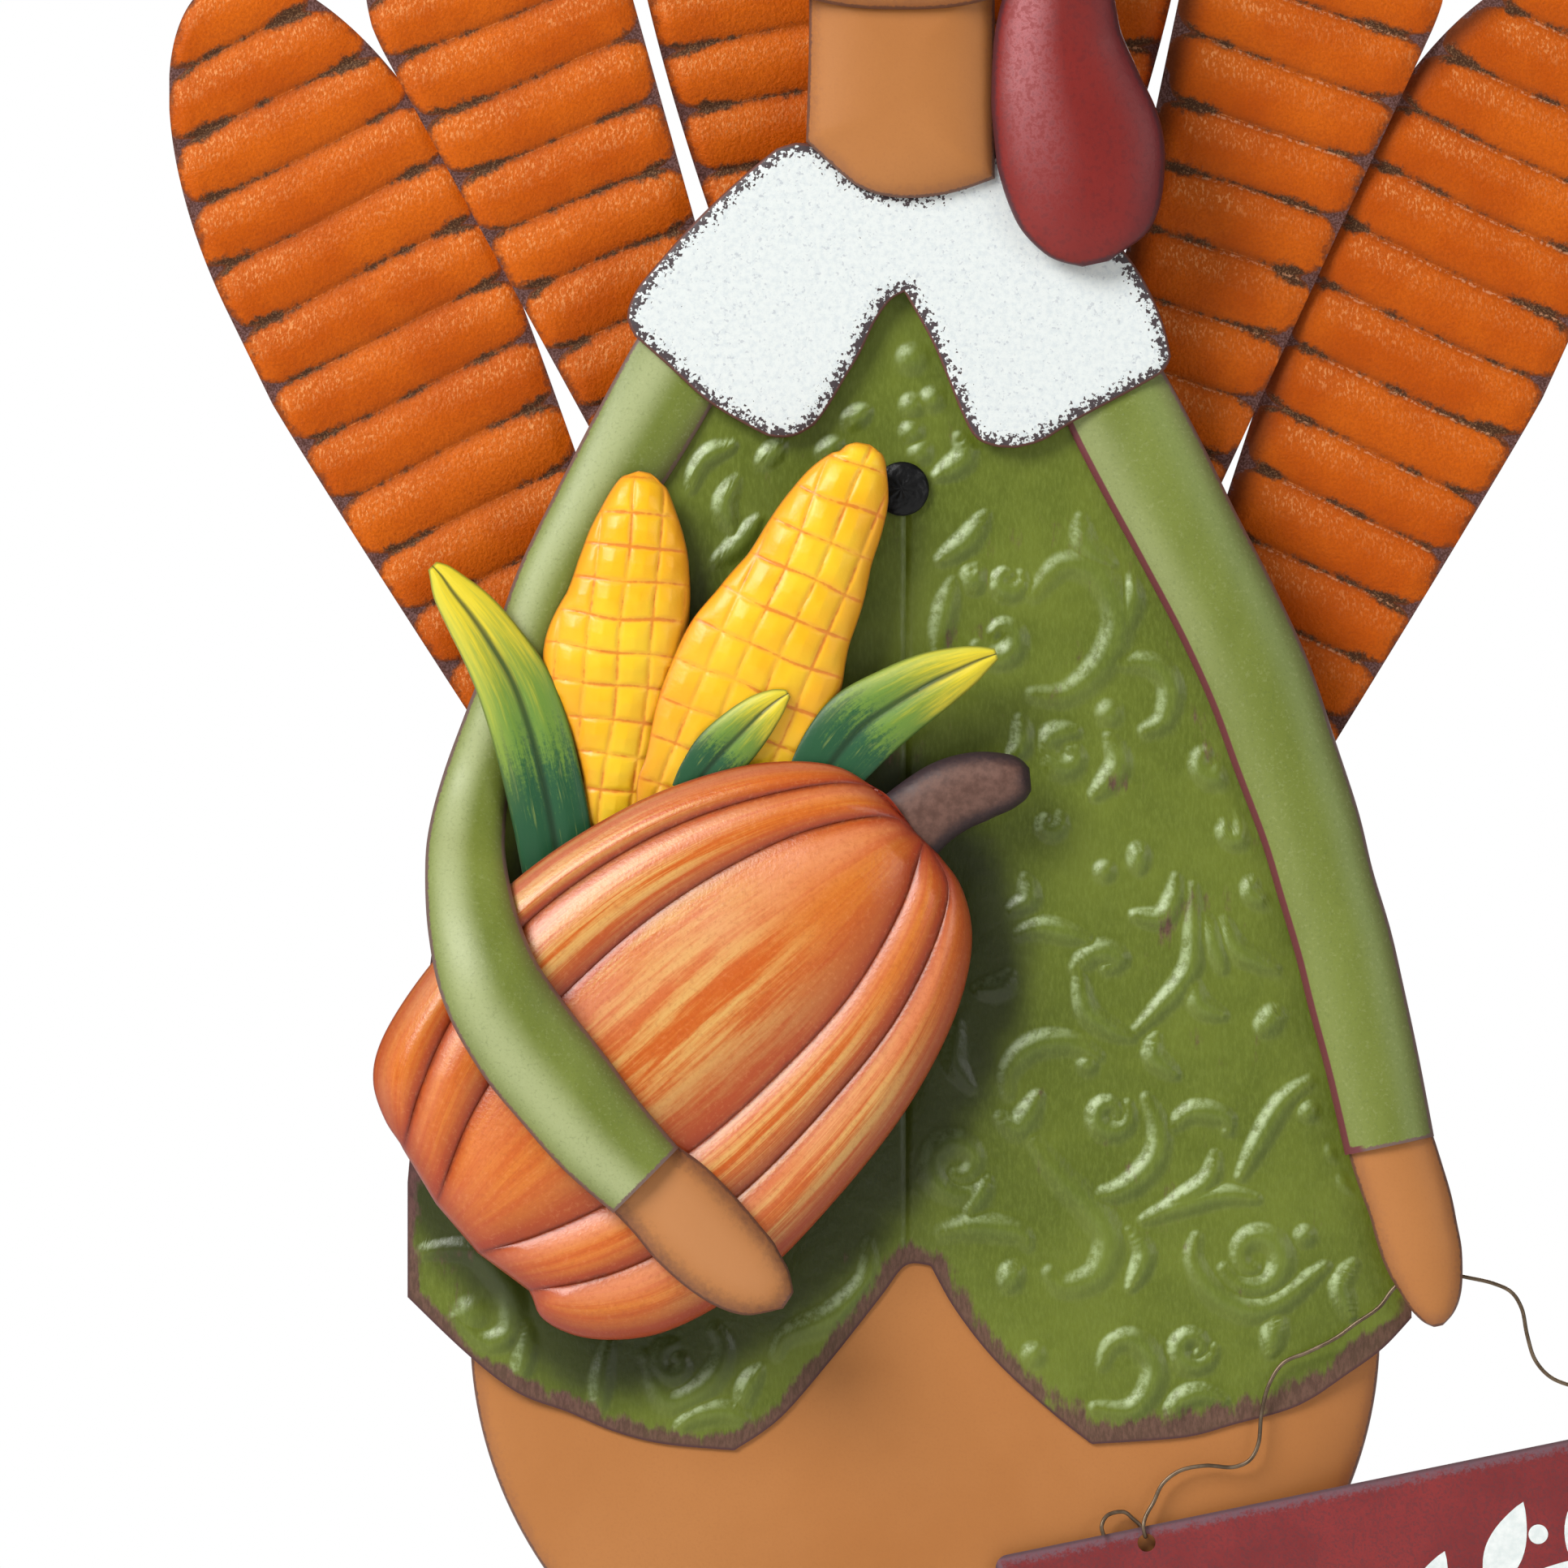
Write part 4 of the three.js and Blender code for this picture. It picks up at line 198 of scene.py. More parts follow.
PUMPKIN_LINES = [
    [(0.885, 0.905), (0.825, 0.965), (0.77, 0.995), (0.65, 1), (0.49, 0.955), (0.35, 0.88), (0.235, 0.795),
     (0.095, 0.65), (0.01, 0.51), (0, 0.445), (0.02, 0.38), (0.045, 0.34)],
    [(0.895, 0.895), (0.85, 0.95), (0.795, 0.965), (0.595, 0.925), (0.42, 0.845), (0.245, 0.71), (0.135, 0.56),
     (0.08, 0.435), (0.05, 0.33)],
    [(0.905, 0.88), (0.87, 0.905), (0.735, 0.885), (0.595, 0.82), (0.455, 0.725), (0.33, 0.61), (0.24, 0.51),
     (0.165, 0.39), (0.105, 0.235)],
    [(0.92, 0.865), (0.905, 0.815), (0.88, 0.745), (0.805, 0.61), (0.7, 0.485), (0.54, 0.335), (0.38, 0.23),
     (0.27, 0.18), (0.175, 0.15)],
    [(0.93, 0.855), (0.96, 0.79), (0.945, 0.71), (0.875, 0.56), (0.77, 0.42), (0.615, 0.255), (0.475, 0.15),
     (0.365, 0.105), (0.26, 0.085)],
    [(0.945, 0.84), (0.98, 0.79), (1, 0.705), (0.98, 0.585), (0.9, 0.415), (0.77, 0.24), (0.635, 0.1), (0.49, 0.015),
     (0.4, 0), (0.33, 0.01), (0.28, 0.04), (0.265, 0.075)],
]
LEFT_WIRE_ROUTE = [
    (0.12, 0.05), (0.18, 0.13), (0.26, 0.19), (0.33, 0.245), (0.43, 0.3), (0.515, 0.34), (0.565, 0.42), (0.592, 0.53),
    (0.604, 0.65), (0.635, 0.71), (0.69, 0.735), (0.79, 0.73), (0.88, 0.75), (0.94, 0.8), (0.972, 0.87),
]
RIGHT_WIRE_ROUTE = [
    (0.14, 0.02), (0.28, 0.065), (0.36, 0.12), (0.405, 0.22), (0.43, 0.39), (0.465, 0.545), (0.53, 0.65),
    (0.62, 0.705), (0.73, 0.73), (0.83, 0.745), (0.91, 0.79), (0.96, 0.86),
]

# Raised scrollwork of the vest: strokes by half width
RELIEF_STROKES = {
    3.3: [
        [(2.4, 608.7)],
        [(47.4, 521.7), (58.2, 532.5), (71.1, 529.2), (78.6, 513.3), (73.2, 497.1), (60.3, 485.4), (47.4, 484.8)],
        [(47.7, 319.8), (58.2, 306), (67.2, 297), (75, 284.7), (72.6, 273.9), (67.8, 269.1), (58.2, 266.7),
         (53.4, 271.5)],
    ],
    2.7: [
        [(2.4, 591.3)], [(9.9, 593.7)], [(2.4, 581.7)], [(5.7, 574.2)], [(19.8, 579.6), (21.9, 572.1), (12.3, 565.8)],
        [(29.4, 550.8), (23.1, 541.5), (13.2, 534.6)], [(24.6, 531.3), (25.8, 524.4)],
        [(17.4, 526.2), (14.1, 513), (12.3, 501.3)], [(64.8, 549.6), (66.3, 540), (75.6, 533.4)],
        [(87.3, 532.5), (80.7, 507.9)], [(78.6, 496.2), (90.3, 496.2), (97.8, 488.7), (95.7, 475.8), (88.2, 471.3)],
        [(51.9, 461.7), (54, 469.2), (62.4, 471.3)], [(75.3, 469.2), (78.6, 458.7), (69.9, 447.9)],
        [(62.7, 384), (70.8, 390), (78.6, 387.6), (74.1, 384)],
        [(37.5, 338.1), (38.7, 347.4), (47.7, 355.5), (60.3, 356.7), (70.8, 351.9)], [(137.4, 368.1), (131.4, 361.2)],
        [(35.1, 329.1), (42, 325.5), (48.9, 336.9)],
        [(89.1, 336), (93.6, 324.3), (91.5, 312.9), (81, 302.7), (67.2, 299.1)],
        [(13.2, 286.5), (26.1, 288.9), (42, 286.5), (45, 282.3)], [(40.2, 273.9), (38.1, 267)],
        [(107.4, 284.7), (106.2, 276.3), (113.7, 264.3), (125.7, 258.3), (137.7, 260.7), (154.5, 273.9)],
        [(137.1, 255.9), (134.7, 242.7)],
        [(72.6, 237.9), (76.2, 245.1), (84.6, 246.9), (91.8, 237.9), (89.4, 227.1), (82.2, 220.8), (70.2, 222)],
        [(47.4, 241.5)],
        [(-166.2, 254.7), (-156, 246), (-146.1, 249.6), (-144.9, 261), (-149.7, 270), (-161.1, 279.9), (-180, 279.3)],
        [(-95.4, 240.9), (-87.9, 224.4), (-72.9, 230.7), (-66.6, 243.3), (-70.2, 250.8)],
        [(-13.5, 282.6), (-14.7, 268.5), (-27.3, 255.9), (-43.8, 248.4), (-47.4, 242.1)],
    ],
    3.0: [
        [(75.3, 477.9)],
    ],
    2.4: [
        [(42.3, 475.8), (43.2, 467.1), (39, 461.7)], [(86.1, 429), (86.1, 420.6)], [(73.5, 419.7)],
        [(99.9, 417.3), (99.3, 410.4), (94.8, 402.6), (84.6, 403.5)],
        [(106.2, 414), (106.2, 388.8), (101.7, 378.3), (93.6, 369.3), (85.5, 361.2)], [(111, 402.6), (116.7, 384)],
        [(117.9, 401.4), (122.4, 390.9), (136.2, 384)], [(106.2, 379.5), (108.6, 370.5), (116.7, 366.9)],
        [(63.9, 381.9), (67.2, 368.1), (76.5, 361.2), (83.4, 358.8)], [(92.4, 358.8), (91.5, 351.9), (99.3, 345)],
        [(67.2, 348.6)], [(44.4, 417.3), (45.6, 409.5), (39.6, 405.9)], [(42, 396.6), (51.3, 399), (67.2, 394.5)],
        [(38.7, 381.9), (35.1, 377.1), (27, 376.2)], [(19.2, 363.6), (18, 349.8), (23.7, 340.5)],
        [(98.4, 325.5), (106.2, 331.2), (117.9, 329.1), (119.1, 324.3)],
        [(150, 342.9), (139.5, 334.8), (131.7, 322.2), (123.6, 307.2)], [(114.3, 315.3), (111, 304.8), (96, 295.8)],
        [(87.9, 291), (99.3, 295.8), (116.7, 300.3), (129.3, 299.1)], [(82.2, 287.1), (88.2, 278.7), (83.4, 266.7)],
        [(30.6, 306), (23.7, 294.6)], [(147.3, 285.3)], [(138.6, 407.1)], [(159, 316.5)], [(163.2, 306)],
        [(148.8, 331.2)], [(165.3, 275.1), (160.5, 266.7), (164.1, 255.9)],
        [(100.2, 216), (99, 222), (107.4, 227.1), (117.3, 224.7)], [(-141, 253.5), (-139.8, 243.3), (-143.4, 230.7)],
        [(-109.5, 246), (-111.9, 233.4), (-113.1, 220.5)],
        [(-84.3, 210.6), (-79.2, 218.1), (-66.6, 220.5), (-56.4, 215.7)], [(-60.3, 222), (-57.6, 230.7), (-54, 235.8)],
        [(-78.9, 561), (-75.3, 571.2), (-63.9, 576.6)], [(-62.4, 564), (-66.9, 555), (-63.9, 546)],
        [(-53.4, 570), (-45.9, 576.6)], [(-69.9, 534), (-62.4, 539.4), (-54.9, 549)], [(-21.9, 585), (-14.4, 589.5)],
        [(-30.9, 573), (-24.9, 577.5)],
    ],
    3.6: [
        [(-160.5, 256.5)],
    ],
}
# Curls: x, z, radius, start angle, turn, half width
RELIEF_CURLS = [
    (37.8, 527.1, 5.4, 20, -300, 2.4),
    (34.8, 505.8, 9, 200, 290, 2.7),
    (59.4, 462.9, 6.6, 150, 270, 2.7),
    (112.8, 460.8, 9, 60, -300, 2.7),
    (120, 435.9, 6.6, 60, -250, 2.4),
    (75.6, 330, 7.5, 30, -400, 2.4),
    (19.2, 312, 12, -40, -430, 2.7),
    (129.3, 277.5, 12.6, 200, 420, 2.7),
    (106.2, 243.9, 7.5, 0, -400, 2.4),
    (-85.5, 238.2, 7.2, 90, 330, 2.4),
    (53.1, 438, 4.8, 30, -250, 2.1),
    (129.6, 414, 5.4, 0, -240, 2.1),
]


# Curves and distances
def catmull(points, per_span, centripetal=False):
    """Points of a Catmull-Rom curve through rows of numbers, with its ends reached."""
    p = np.array(points, float)
    if centripetal:
        ends = 2 * p[0] - p[1], 2 * p[-1] - p[-2]
    else:
        ends = p[0], p[-1]
    p = np.vstack([ends[0], p, ends[1]])
    out = []
    for i in range(1, len(p) - 2):
        p0, p1, p2, p3 = p[i - 1:i + 3]
        t = np.linspace(0, 1, per_span, endpoint=False)[:, None]
        if centripetal:
            d = [max(np.linalg.norm(b - a) ** 0.5, 1e-6) for a, b in ((p0, p1), (p1, p2), (p2, p3))]
            m1 = ((p1 - p0) / d[0] - (p2 - p0) / (d[0] + d[1]) + (p2 - p1) / d[1]) * d[1]
            m2 = ((p2 - p1) / d[1] - (p3 - p1) / (d[1] + d[2]) + (p3 - p2) / d[2]) * d[1]
        else:
            m1, m2 = (p2 - p0) / 2, (p3 - p1) / 2
        out.append(
            (2 * t**3 - 3 * t**2 + 1) * p1 + (t**3 - 2 * t**2 + t) * m1 + (3 * t**2 - 2 * t**3) * p2
            + (t**3 - t**2) * m2
        )
    out.append(p[-2][None])
    return np.vstack(out)


def stacked(*entries):
    """Rows that take one number from each of the entries in turn."""
    return np.stack([np.ravel(entry) for entry in entries], axis=1)


def evenly(points, count, columns=2):
    """count + 1 rows, evenly spaced along a dense polyline by the length of its first columns."""
    steps = np.linalg.norm(np.diff(points[:, :columns], axis=0), axis=1)
    at = np.concatenate([[0], np.cumsum(steps)])
    where = np.linspace(0, at[-1], count + 1)
    return stacked(*(np.interp(where, at, column) for column in points.T))


def distance_to(points, line, closed=False):
    """The distance of each point from a polyline."""
    ends = np.roll(line, -1, axis=0) if closed else line[1:]
    starts = line if closed else line[:-1]
    along = ends - starts
    squared = np.maximum((along**2).sum(1), 1e-12)
    nearest = np.empty(len(points))
    for first in range(0, len(points), 8000):
        offset = points[first:first + 8000, None, :] - starts[None]
        t = np.clip((offset * along[None]).sum(2) / squared, 0, 1)
        gap = offset - t[..., None] * along[None]
        nearest[first:first + 8000] = np.sqrt((gap**2).sum(2).min(1))
    return nearest


def rolled(distance, roll, rise):
    inward = 1 - np.minimum(distance / roll, 1)
    return rise * np.sqrt(1 - inward**2)


def smooth(value, low, high):
    t = np.clip((value - low) / (high - low), 0, 1)
    return t * t * (3 - 2 * t)


def waves(x, z, seed, scale):
    """A slow, smooth and repeatable wobble between about -1 and 1."""
    random = np.random.default_rng(seed)
    total = 0
    for _ in range(5):
        angle = random.uniform(0, 2 * math.pi)
        length = scale * random.uniform(0.6, 1.6)
        phase = random.uniform(0, 2 * math.pi)
        total = total + np.sin(2 * math.pi * (x * math.cos(angle) + z * math.sin(angle)) / length + phase)
    return total / 3


# Meshes
def shown(name, data):
    """A linked object for a mesh, a curve, a lamp or a camera."""
    made = bpy.data.objects.new(name, data)
    bpy.context.collection.objects.link(made)
    return made


def solid_mesh(name, points, faces, attributes=None, sharp=40):
    """An object of closed faces, turned outwards, with float attributes on its points."""
    points = np.clip(np.array(points, float), CAD_LOW, CAD_HIGH)
    faces = [np.asarray(corners) for corners in faces if len(corners)]
    volume = 0.0
    for corners in faces:
        for k in range(1, corners.shape[1] - 1):
            a, b, c = points[corners[:, 0]], points[corners[:, k]], points[corners[:, k + 1]]
            volume += (a * np.cross(b, c)).sum()
    lists = []
    for corners in faces:
        lists += (corners[:, ::-1] if volume < 0 else corners).tolist()
    data = bpy.data.meshes.new(name)
    data.from_pydata((points * MM).tolist(), [], lists)
    data.polygons.foreach_set("use_smooth", [True] * len(lists))
    for key, values in (attributes or {}).items():
        data.attributes.new(key, "FLOAT", "POINT").data.foreach_set("value", np.array(values, np.float32))
    data.set_sharp_from_angle(angle=math.radians(sharp))
    return shown(name, data)


def sheet_mesh(name, x, z, depth, attributes, ringed=False, pole=None):
    """A closed sheet over a grid of back-face points; front points stand its thickness in front of them.

    A pole (x, z, depth, values) closes the middle of a ringed grid.
    """
    rows, columns = x.shape
    back = stacked(x, -depth, z)
    index = np.arange(rows * columns).reshape(rows, columns) * 2
    values = {key: np.repeat(np.asarray(value, float).ravel(), 2) for key, value in attributes.items()}
    if pole is not None:
        back = np.vstack([back, [pole[0], -pole[2], pole[1]]])
        for key in values:
            values[key] = np.append(values[key], [pole[3][key]] * 2)
    front = back - [0, SHEET, 0]
    points = np.empty((2 * len(back), 3))
    points[0::2] = back
    points[1::2] = front
    a = index[:-1]
    d = index[1:]
    if ringed:
        b, c = np.roll(a, -1, axis=1), np.roll(d, -1, axis=1)
    else:
        a, b, c, d = a[:, :-1], a[:, 1:], d[:, 1:], d[:, :-1]
    quads = [stacked(a, d, c, b), stacked(a + 1, b + 1, c + 1, d + 1)]

    def rim(start, end):
        quads.append(stacked(start, end, end + 1, start + 1))

    first = index[0]
    if ringed:
        rim(first, np.roll(first, -1))
    else:
        rim(first[:-1], first[1:])
        rim(index[-1][1:], index[-1][:-1])
        rim(index[1:, 0], index[:-1, 0])
        rim(index[:-1, -1], index[1:, -1])
    triangles = np.empty((0, 3), int)
    if pole is not None:
        last = index[-1]
        after = np.roll(last, -1)
        tip = np.full(len(last), 2 * (len(back) - 1))
        triangles = np.vstack([stacked(last, tip, after), stacked(last + 1, after + 1, tip + 1)])
    return solid_mesh(name, points, [np.vstack(quads), triangles], values)


def back_of(node):
    return -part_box(node)[1].y / MM


def front_of(node):
    return -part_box(node)[0].y / MM


def centre_of(node):
    low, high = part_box(node)
    return (low.x + high.x) / 2 / MM, (low.z + high.z) / 2 / MM


def half_round(u):
    return np.sqrt(np.maximum(1 - u * u, 0))


def leaf_profile(u):
    return half_round(u) * (0.55 + 0.45 * np.minimum(np.abs(u) / 0.4, 1))


def swept(node, lift=0, rows=120, columns=24, profile=half_round, dress=None, wear=0):
    """A half tube through stations, as in the CAD model but dense."""
    size, shares = STATIONS[node]
    table = np.array(shares, float) * [size["width"], size["height"], size["half"], lift, size["rise"]]
    table[:, 0] += size["left"]
    table[:, 1] += size["bottom"]
    line = evenly(catmull(table, 24), rows)
    ahead = np.gradient(line[:, :2], axis=0)
    ahead /= np.linalg.norm(ahead, axis=1)[:, None]
    across = stacked(ahead[:, 1], -ahead[:, 0])
    u = -np.cos(np.pi * np.arange(columns + 1) / columns)
    half = line[:, 2:3]
    x = line[:, 0:1] + across[:, 0:1] * half * u
    z = line[:, 1:2] + across[:, 1:2] * half * u
    base = back_of(node)
    arc = np.concatenate([[0], np.cumsum(np.linalg.norm(np.diff(line[:, :2], axis=0), axis=1))])[:, None]
    depth = base + line[:, 3:4] + line[:, 4:5] * profile(u)[None]
    depth[:, 0] = depth[:, -1] = base + line[:, 3]
    to_end = np.minimum(arc, arc[-1] - arc)
    attributes = {
        "along": arc / arc[-1] + 0 * u,
        "across": u[None] * np.sign(across[:, 0:1] + 1e-9) + 0 * half,
        "edge": np.minimum((1 - np.abs(u))[None] * half, to_end + 0 * u),
        "groove": 0 * x,
        "wear": 0 * x + wear,
    }
    if dress:
        depth, attributes["groove"] = dress(depth, u[None] + 0 * half, x, z)
    return sheet_mesh(node + "_sheet", x, z, depth, attributes)


def outline_of(strokes, size, steps=26):
    points = []
    for stroke in strokes:
        scaled = np.array(stroke, float) * [size["width"], size["height"]] + [size["left"], size["bottom"]]
        points.append(evenly(catmull(scaled, 16), steps)[:-1])
    return np.vstack(points)


def outlined(node, outline, pole, rings, roll, rise):
    """A sheet inside an outline, from rings that close on a pole, with a rolled edge."""
    outline = np.array(outline, float)
    pole = np.array(pole, float)
    shares = 1 - (np.arange(rings) / rings) ** 1.5
    x = pole[0] + (outline[:, 0] - pole[0])[None] * shares[:, None]
    z = pole[1] + (outline[:, 1] - pole[1])[None] * shares[:, None]
    edge = distance_to(stacked(x, z), outline, True).reshape(x.shape)
    edge[0] = 0
    middle = distance_to(pole[None], outline, True)[0]
    base = back_of(node)
    depth = base + rolled(edge, roll, rise)
    top = base + rolled(middle, roll, rise)
    values = {"edge": middle, "groove": 0}
    attributes = {"edge": edge, "groove": 0 * x}
    return sheet_mesh(node + "_sheet", x, z, depth, attributes, ringed=True, pole=(*pole, float(top), values))


def lathe(name, profile, centre, upright=False, sides=40, closed=False, dress=None):
    """A turned solid from rows of radius and height, about the depth axis or a vertical one."""
    profile = np.array(profile, float)
    angles = 2 * math.pi * np.arange(sides) / sides
    core = profile if closed else profile[1:-1]
    radius = core[:, 0:1] + 0 * angles
    level = core[:, 1:2] + 0 * angles
    if dress:
        level = level + dress(radius, angles[None] + 0 * radius)
    east, north = radius * np.cos(angles), radius * np.sin(angles)

    def placed(a, b, h):
        if upright:
            return np.stack([centre[0] + a, b + 0 * a, h], axis=-1)
        return np.stack([centre[0] + a, -h, centre[1] + b], axis=-1)

    points = placed(east, north, level).reshape(-1, 3)
    index = np.arange(radius.size).reshape(radius.shape)
    ahead = np.roll(index, -1, axis=0) if closed else index[1:]
    start = index if closed else index[:-1]
    quads = stacked(start, np.roll(start, -1, axis=1), np.roll(ahead, -1, axis=1), ahead)
    triangles = np.empty((0, 3), int)
    if not closed:
        caps = placed(np.zeros(2), np.zeros(2), profile[[0, -1], 1])
        low, high = len(points), len(points) + 1
        points = np.vstack([points, caps])
        first, last = index[0], index[-1]
        triangles = np.vstack([
            stacked(np.full(sides, low), np.roll(first, -1), first),
            stacked(np.full(sides, high), last, np.roll(last, -1)),
        ])
    return solid_mesh(name, points, [quads, triangles], {"groove": np.zeros(len(points))}, 35)


# Materials
def rgb(red, green, blue):
    """A colour of 0 to 255 as Blender's linear colour."""
    linear = []
    for value in (red / 255, green / 255, blue / 255):
        linear.append(value / 12.92 if value <= 0.04045 else ((value + 0.055) / 1.055) ** 2.4)
    return (*linear, 1)


class Paint:
    """A material's nodes: numbers and sockets go in, sockets come out, and coats of colour lie on each other."""

    def __init__(self, name, roughness=0.45, metallic=0.0, specular=0.5):
        self.material = bpy.data.materials.new(name)
        self.material.use_nodes = True
        self.tree = self.material.node_tree
        self.tree.nodes.clear()
        self.shader = self.node("BsdfPrincipled", {
            "Roughness": roughness, "Metallic": metallic, "Specular IOR Level": specular, "Coat Roughness": 0.25})
        self.output = self.node("OutputMaterial", {"Surface": self.shader.outputs[0]})
        self.place = self.node("TexCoord").outputs["Object"]
        self.slope = None

    def put(self, value, socket):
        if isinstance(value, bpy.types.NodeSocket):
            self.tree.links.new(value, socket)
        else:
            socket.default_value = value

    def node(self, kind, inputs=(), **settings):
        made = self.tree.nodes.new("ShaderNode" + kind)
        for key, value in settings.items():
            setattr(made, key, value)
        for key, value in dict(inputs).items():
            self.put(value, made.inputs[key])
        return made

    def fact(self, name):
        return self.node("Attribute", attribute_name=name).outputs["Fac"]

    def math(self, operation, a, b=0.0):
        return self.node("Math", {0: a, 1: b}, operation=operation).outputs[0]

    def times(self, first, *others):
        for other in others:
            first = self.math("MULTIPLY", first, other)
        return first

    def plus(self, first, *others):
        for other in others:
            first = self.math("ADD", first, other)
        return first

    def turned(self, scale, tilt=0.0, source=None):
        inputs = {"Vector": source or self.place, "Scale": scale, "Rotation": (0, tilt, 0)}
        return self.node("Mapping", inputs).outputs[0]

    def along(self, run, cross):
        """A vector of two attributes, for streaks that follow the piece."""
        return self.node("CombineXYZ", {0: run, 1: cross}).outputs[0]

    def noise(self, scale, detail=3.0, rough=0.55, where=None):
        inputs = {"Vector": where or self.place, "Scale": scale, "Detail": detail, "Roughness": rough}
        return self.node("TexNoise", inputs).outputs["Fac"]

    def fade(self, value, low, high, start=0.0, end=1.0):
        inputs = {"Value": value, "From Min": low, "From Max": high, "To Min": start, "To Max": end}
        return self.node("MapRange", inputs, interpolation_type="SMOOTHSTEP").outputs["Result"]

    def worn(self, mask, noise, low=0.45, high=0.65, ragged=0.9):
        """A mask from 0 to 1 whose border is broken up by a noise."""
        return self.fade(self.plus(mask, self.times(self.math("SUBTRACT", noise, 0.5), ragged)), low, high)

    def mix(self, amount, first, second):
        if isinstance(first, tuple):
            first = rgb(*first)
        if isinstance(second, tuple):
            second = rgb(*second)
        return self.node("Mix", {0: amount, 6: first, 7: second}, data_type="RGBA").outputs[2]

    def base(self, amount, first, second):
        self.colour = self.mix(amount, first, second)

    def coat(self, amount, colour):
        self.colour = self.mix(amount, self.colour, colour)

    def bump(self, height, distance, strength=1.0):
        node = self.node("Bump", {"Height": height, "Distance": distance, "Strength": strength})
        if self.slope is not None:
            self.put(self.slope, node.inputs["Normal"])
        self.slope = node.outputs["Normal"]

    def done(self, roughness=None):
        self.put(self.colour, self.shader.inputs["Base Color"])
        self.put(self.slope, self.shader.inputs["Normal"])
        if roughness is not None:
            self.put(roughness, self.shader.inputs["Roughness"])
        return self.material


def feather_paint():
    p = Paint("feather_paint", 0.38, specular=0.22)
    p.shader.inputs["Specular Tint"].default_value = rgb(255, 214, 170)
    groove, edge, wear, phase = p.fact("groove"), p.fact("edge"), p.fact("wear"), p.fact("along")
    patch, speck, fine = p.noise(64, 4, 0.62), p.noise(620, 3, 0.65), p.noise(1500, 2, 0.6)
    grit = p.plus(p.times(speck, 0.55), p.times(p.noise(190, 4, 0.65), 0.45))
    p.base(p.fade(p.noise(30, 4), 0.3, 0.7), (186, 78, 6), (206, 96, 14))
    p.coat(p.fade(p.noise(900, 3, 0.6), 0.42, 0.62, 0, 0.35), (160, 66, 10))
    # Painted shade: the lower flank of each ridge darker, and the grooves darker still
    p.coat(p.fade(phase, 0.55, 1.0, 0, 0.2), (146, 62, 12))
    p.coat(p.fade(groove, 0.5, 0.95, 0, 0.4), (120, 54, 16))
    # Painted highlight: a lighter band with bright flecks on the upper flank of each ridge, strongest some way in from
    # the edge
    band = p.times(p.fade(phase, 0.05, 0.2), p.fade(phase, 0.6, 0.26), p.fade(wear, 0.9, 1.5),
                   p.fade(wear, 2.6, 5.0, 1.0, 0.45))
    highlight_flecks = p.fade(p.noise(1.0, 3, 0.6, p.turned((1150, 1150, 520))), 0.5, 0.66)
    p.coat(p.times(band, 0.16), (226, 124, 52))
    p.coat(p.times(band, highlight_flecks, 0.55), (242, 170, 106))
    # Painted shade: the right feathers dark at their left ends
    p.coat(p.fade(wear, 1.25, 0.1, 0, 0.9), (66, 30, 16))
    ends = p.fade(edge, 3.0, 30.0, 0.14, -0.18)
    mark = p.plus(groove, p.fade(patch, 0.3, 0.68, -0.24, 0.14), ends)
    p.coat(p.worn(p.fade(mark, 0.45, 1.1), grit, 0.3, 0.8, 1.2), (104, 54, 22))
    mark = p.worn(mark, grit, 0.56, 0.92, 1.2)
    grime = p.mix(p.fade(fine, 0.5, 0.66), (54, 38, 30), (120, 90, 64))
    p.coat(p.times(mark, 0.8), grime)
    # Painted glint: pale specks just below the grooves of the right feathers
    glint = p.times(p.fade(phase, 0.08, 0.05), p.fade(phase, 0.015, 0.03))
    p.coat(p.times(glint, p.fact("across"), p.fade(speck, 0.48, 0.58), 0.55), (224, 160, 118))
    spread = p.plus(p.times(p.math("POWER", groove, 2.6), 8.5), p.fade(wear, 1.0, 0.0, 0, 1.6))
    reach = p.math("SUBTRACT", p.plus(edge, p.fade(patch, 0.35, 0.65, 0, 2.5)), spread)
    soft = p.worn(p.fade(reach, 7.0, -1.0), grit, 0.3, 0.85, 1.7)
    p.coat(p.times(soft, 0.8), (108, 52, 28))
    rim = p.worn(p.fade(reach, 2.6, -0.6), grit, 0.3, 0.8, 2.0)
    bare = p.mix(p.fade(fine, 0.4, 0.62), (72, 48, 46), (112, 84, 84))
    p.coat(p.times(rim, 0.85), bare)
    p.bump(speck, 0.0009, 0.65)
    return p.done(p.fade(p.math("MAXIMUM", rim, p.fade(wear, 1.2, 0.2)), 0, 1, 0.36, 0.7))


def tan_paint():
    p = Paint("tan_paint", 0.48, specular=0.3)
    edge = p.fact("edge")
    fine = p.noise(900, 3, 0.6)
    p.base(p.fade(p.noise(9, 4, 0.55), 0.3, 0.7), (176, 112, 56), (186, 122, 66))
    p.coat(p.fade(fine, 0.45, 0.75, 0, 0.25), (168, 106, 58))
    # The hands (wear above 0): a paler skin tone towards their middle, part skin colour and part painted highlight,
    # and painted shade in a band along their edges
    skin = p.fact("wear")
    p.coat(p.times(skin, p.fade(edge, 2.0, 14.0, 0.1, 0.7)), (196, 134, 84))
    shade = p.worn(p.fade(edge, 15.0, 0.0), p.noise(420, 4, 0.7), 0.4, 1.5, 0.9)
    p.coat(p.times(skin, shade), (104, 68, 50))
    brushed = p.noise(30, 5, 0.65, p.turned((5, 5, 1)))
    shade = p.worn(p.fade(edge, 14, 0.0), p.math("MAXIMUM", brushed, p.noise(520, 3, 0.7)), 0.62, 1.3, 0.9)
    p.coat(p.times(shade, 0.6), (140, 90, 64))
    rim = p.worn(p.fade(edge, 2.4, 0.0), fine, 0.5, 0.75, 0.9)
    p.coat(p.times(rim, 0.85), (102, 70, 60))
    p.bump(fine, 0.00016, 0.4)
    return p.done()


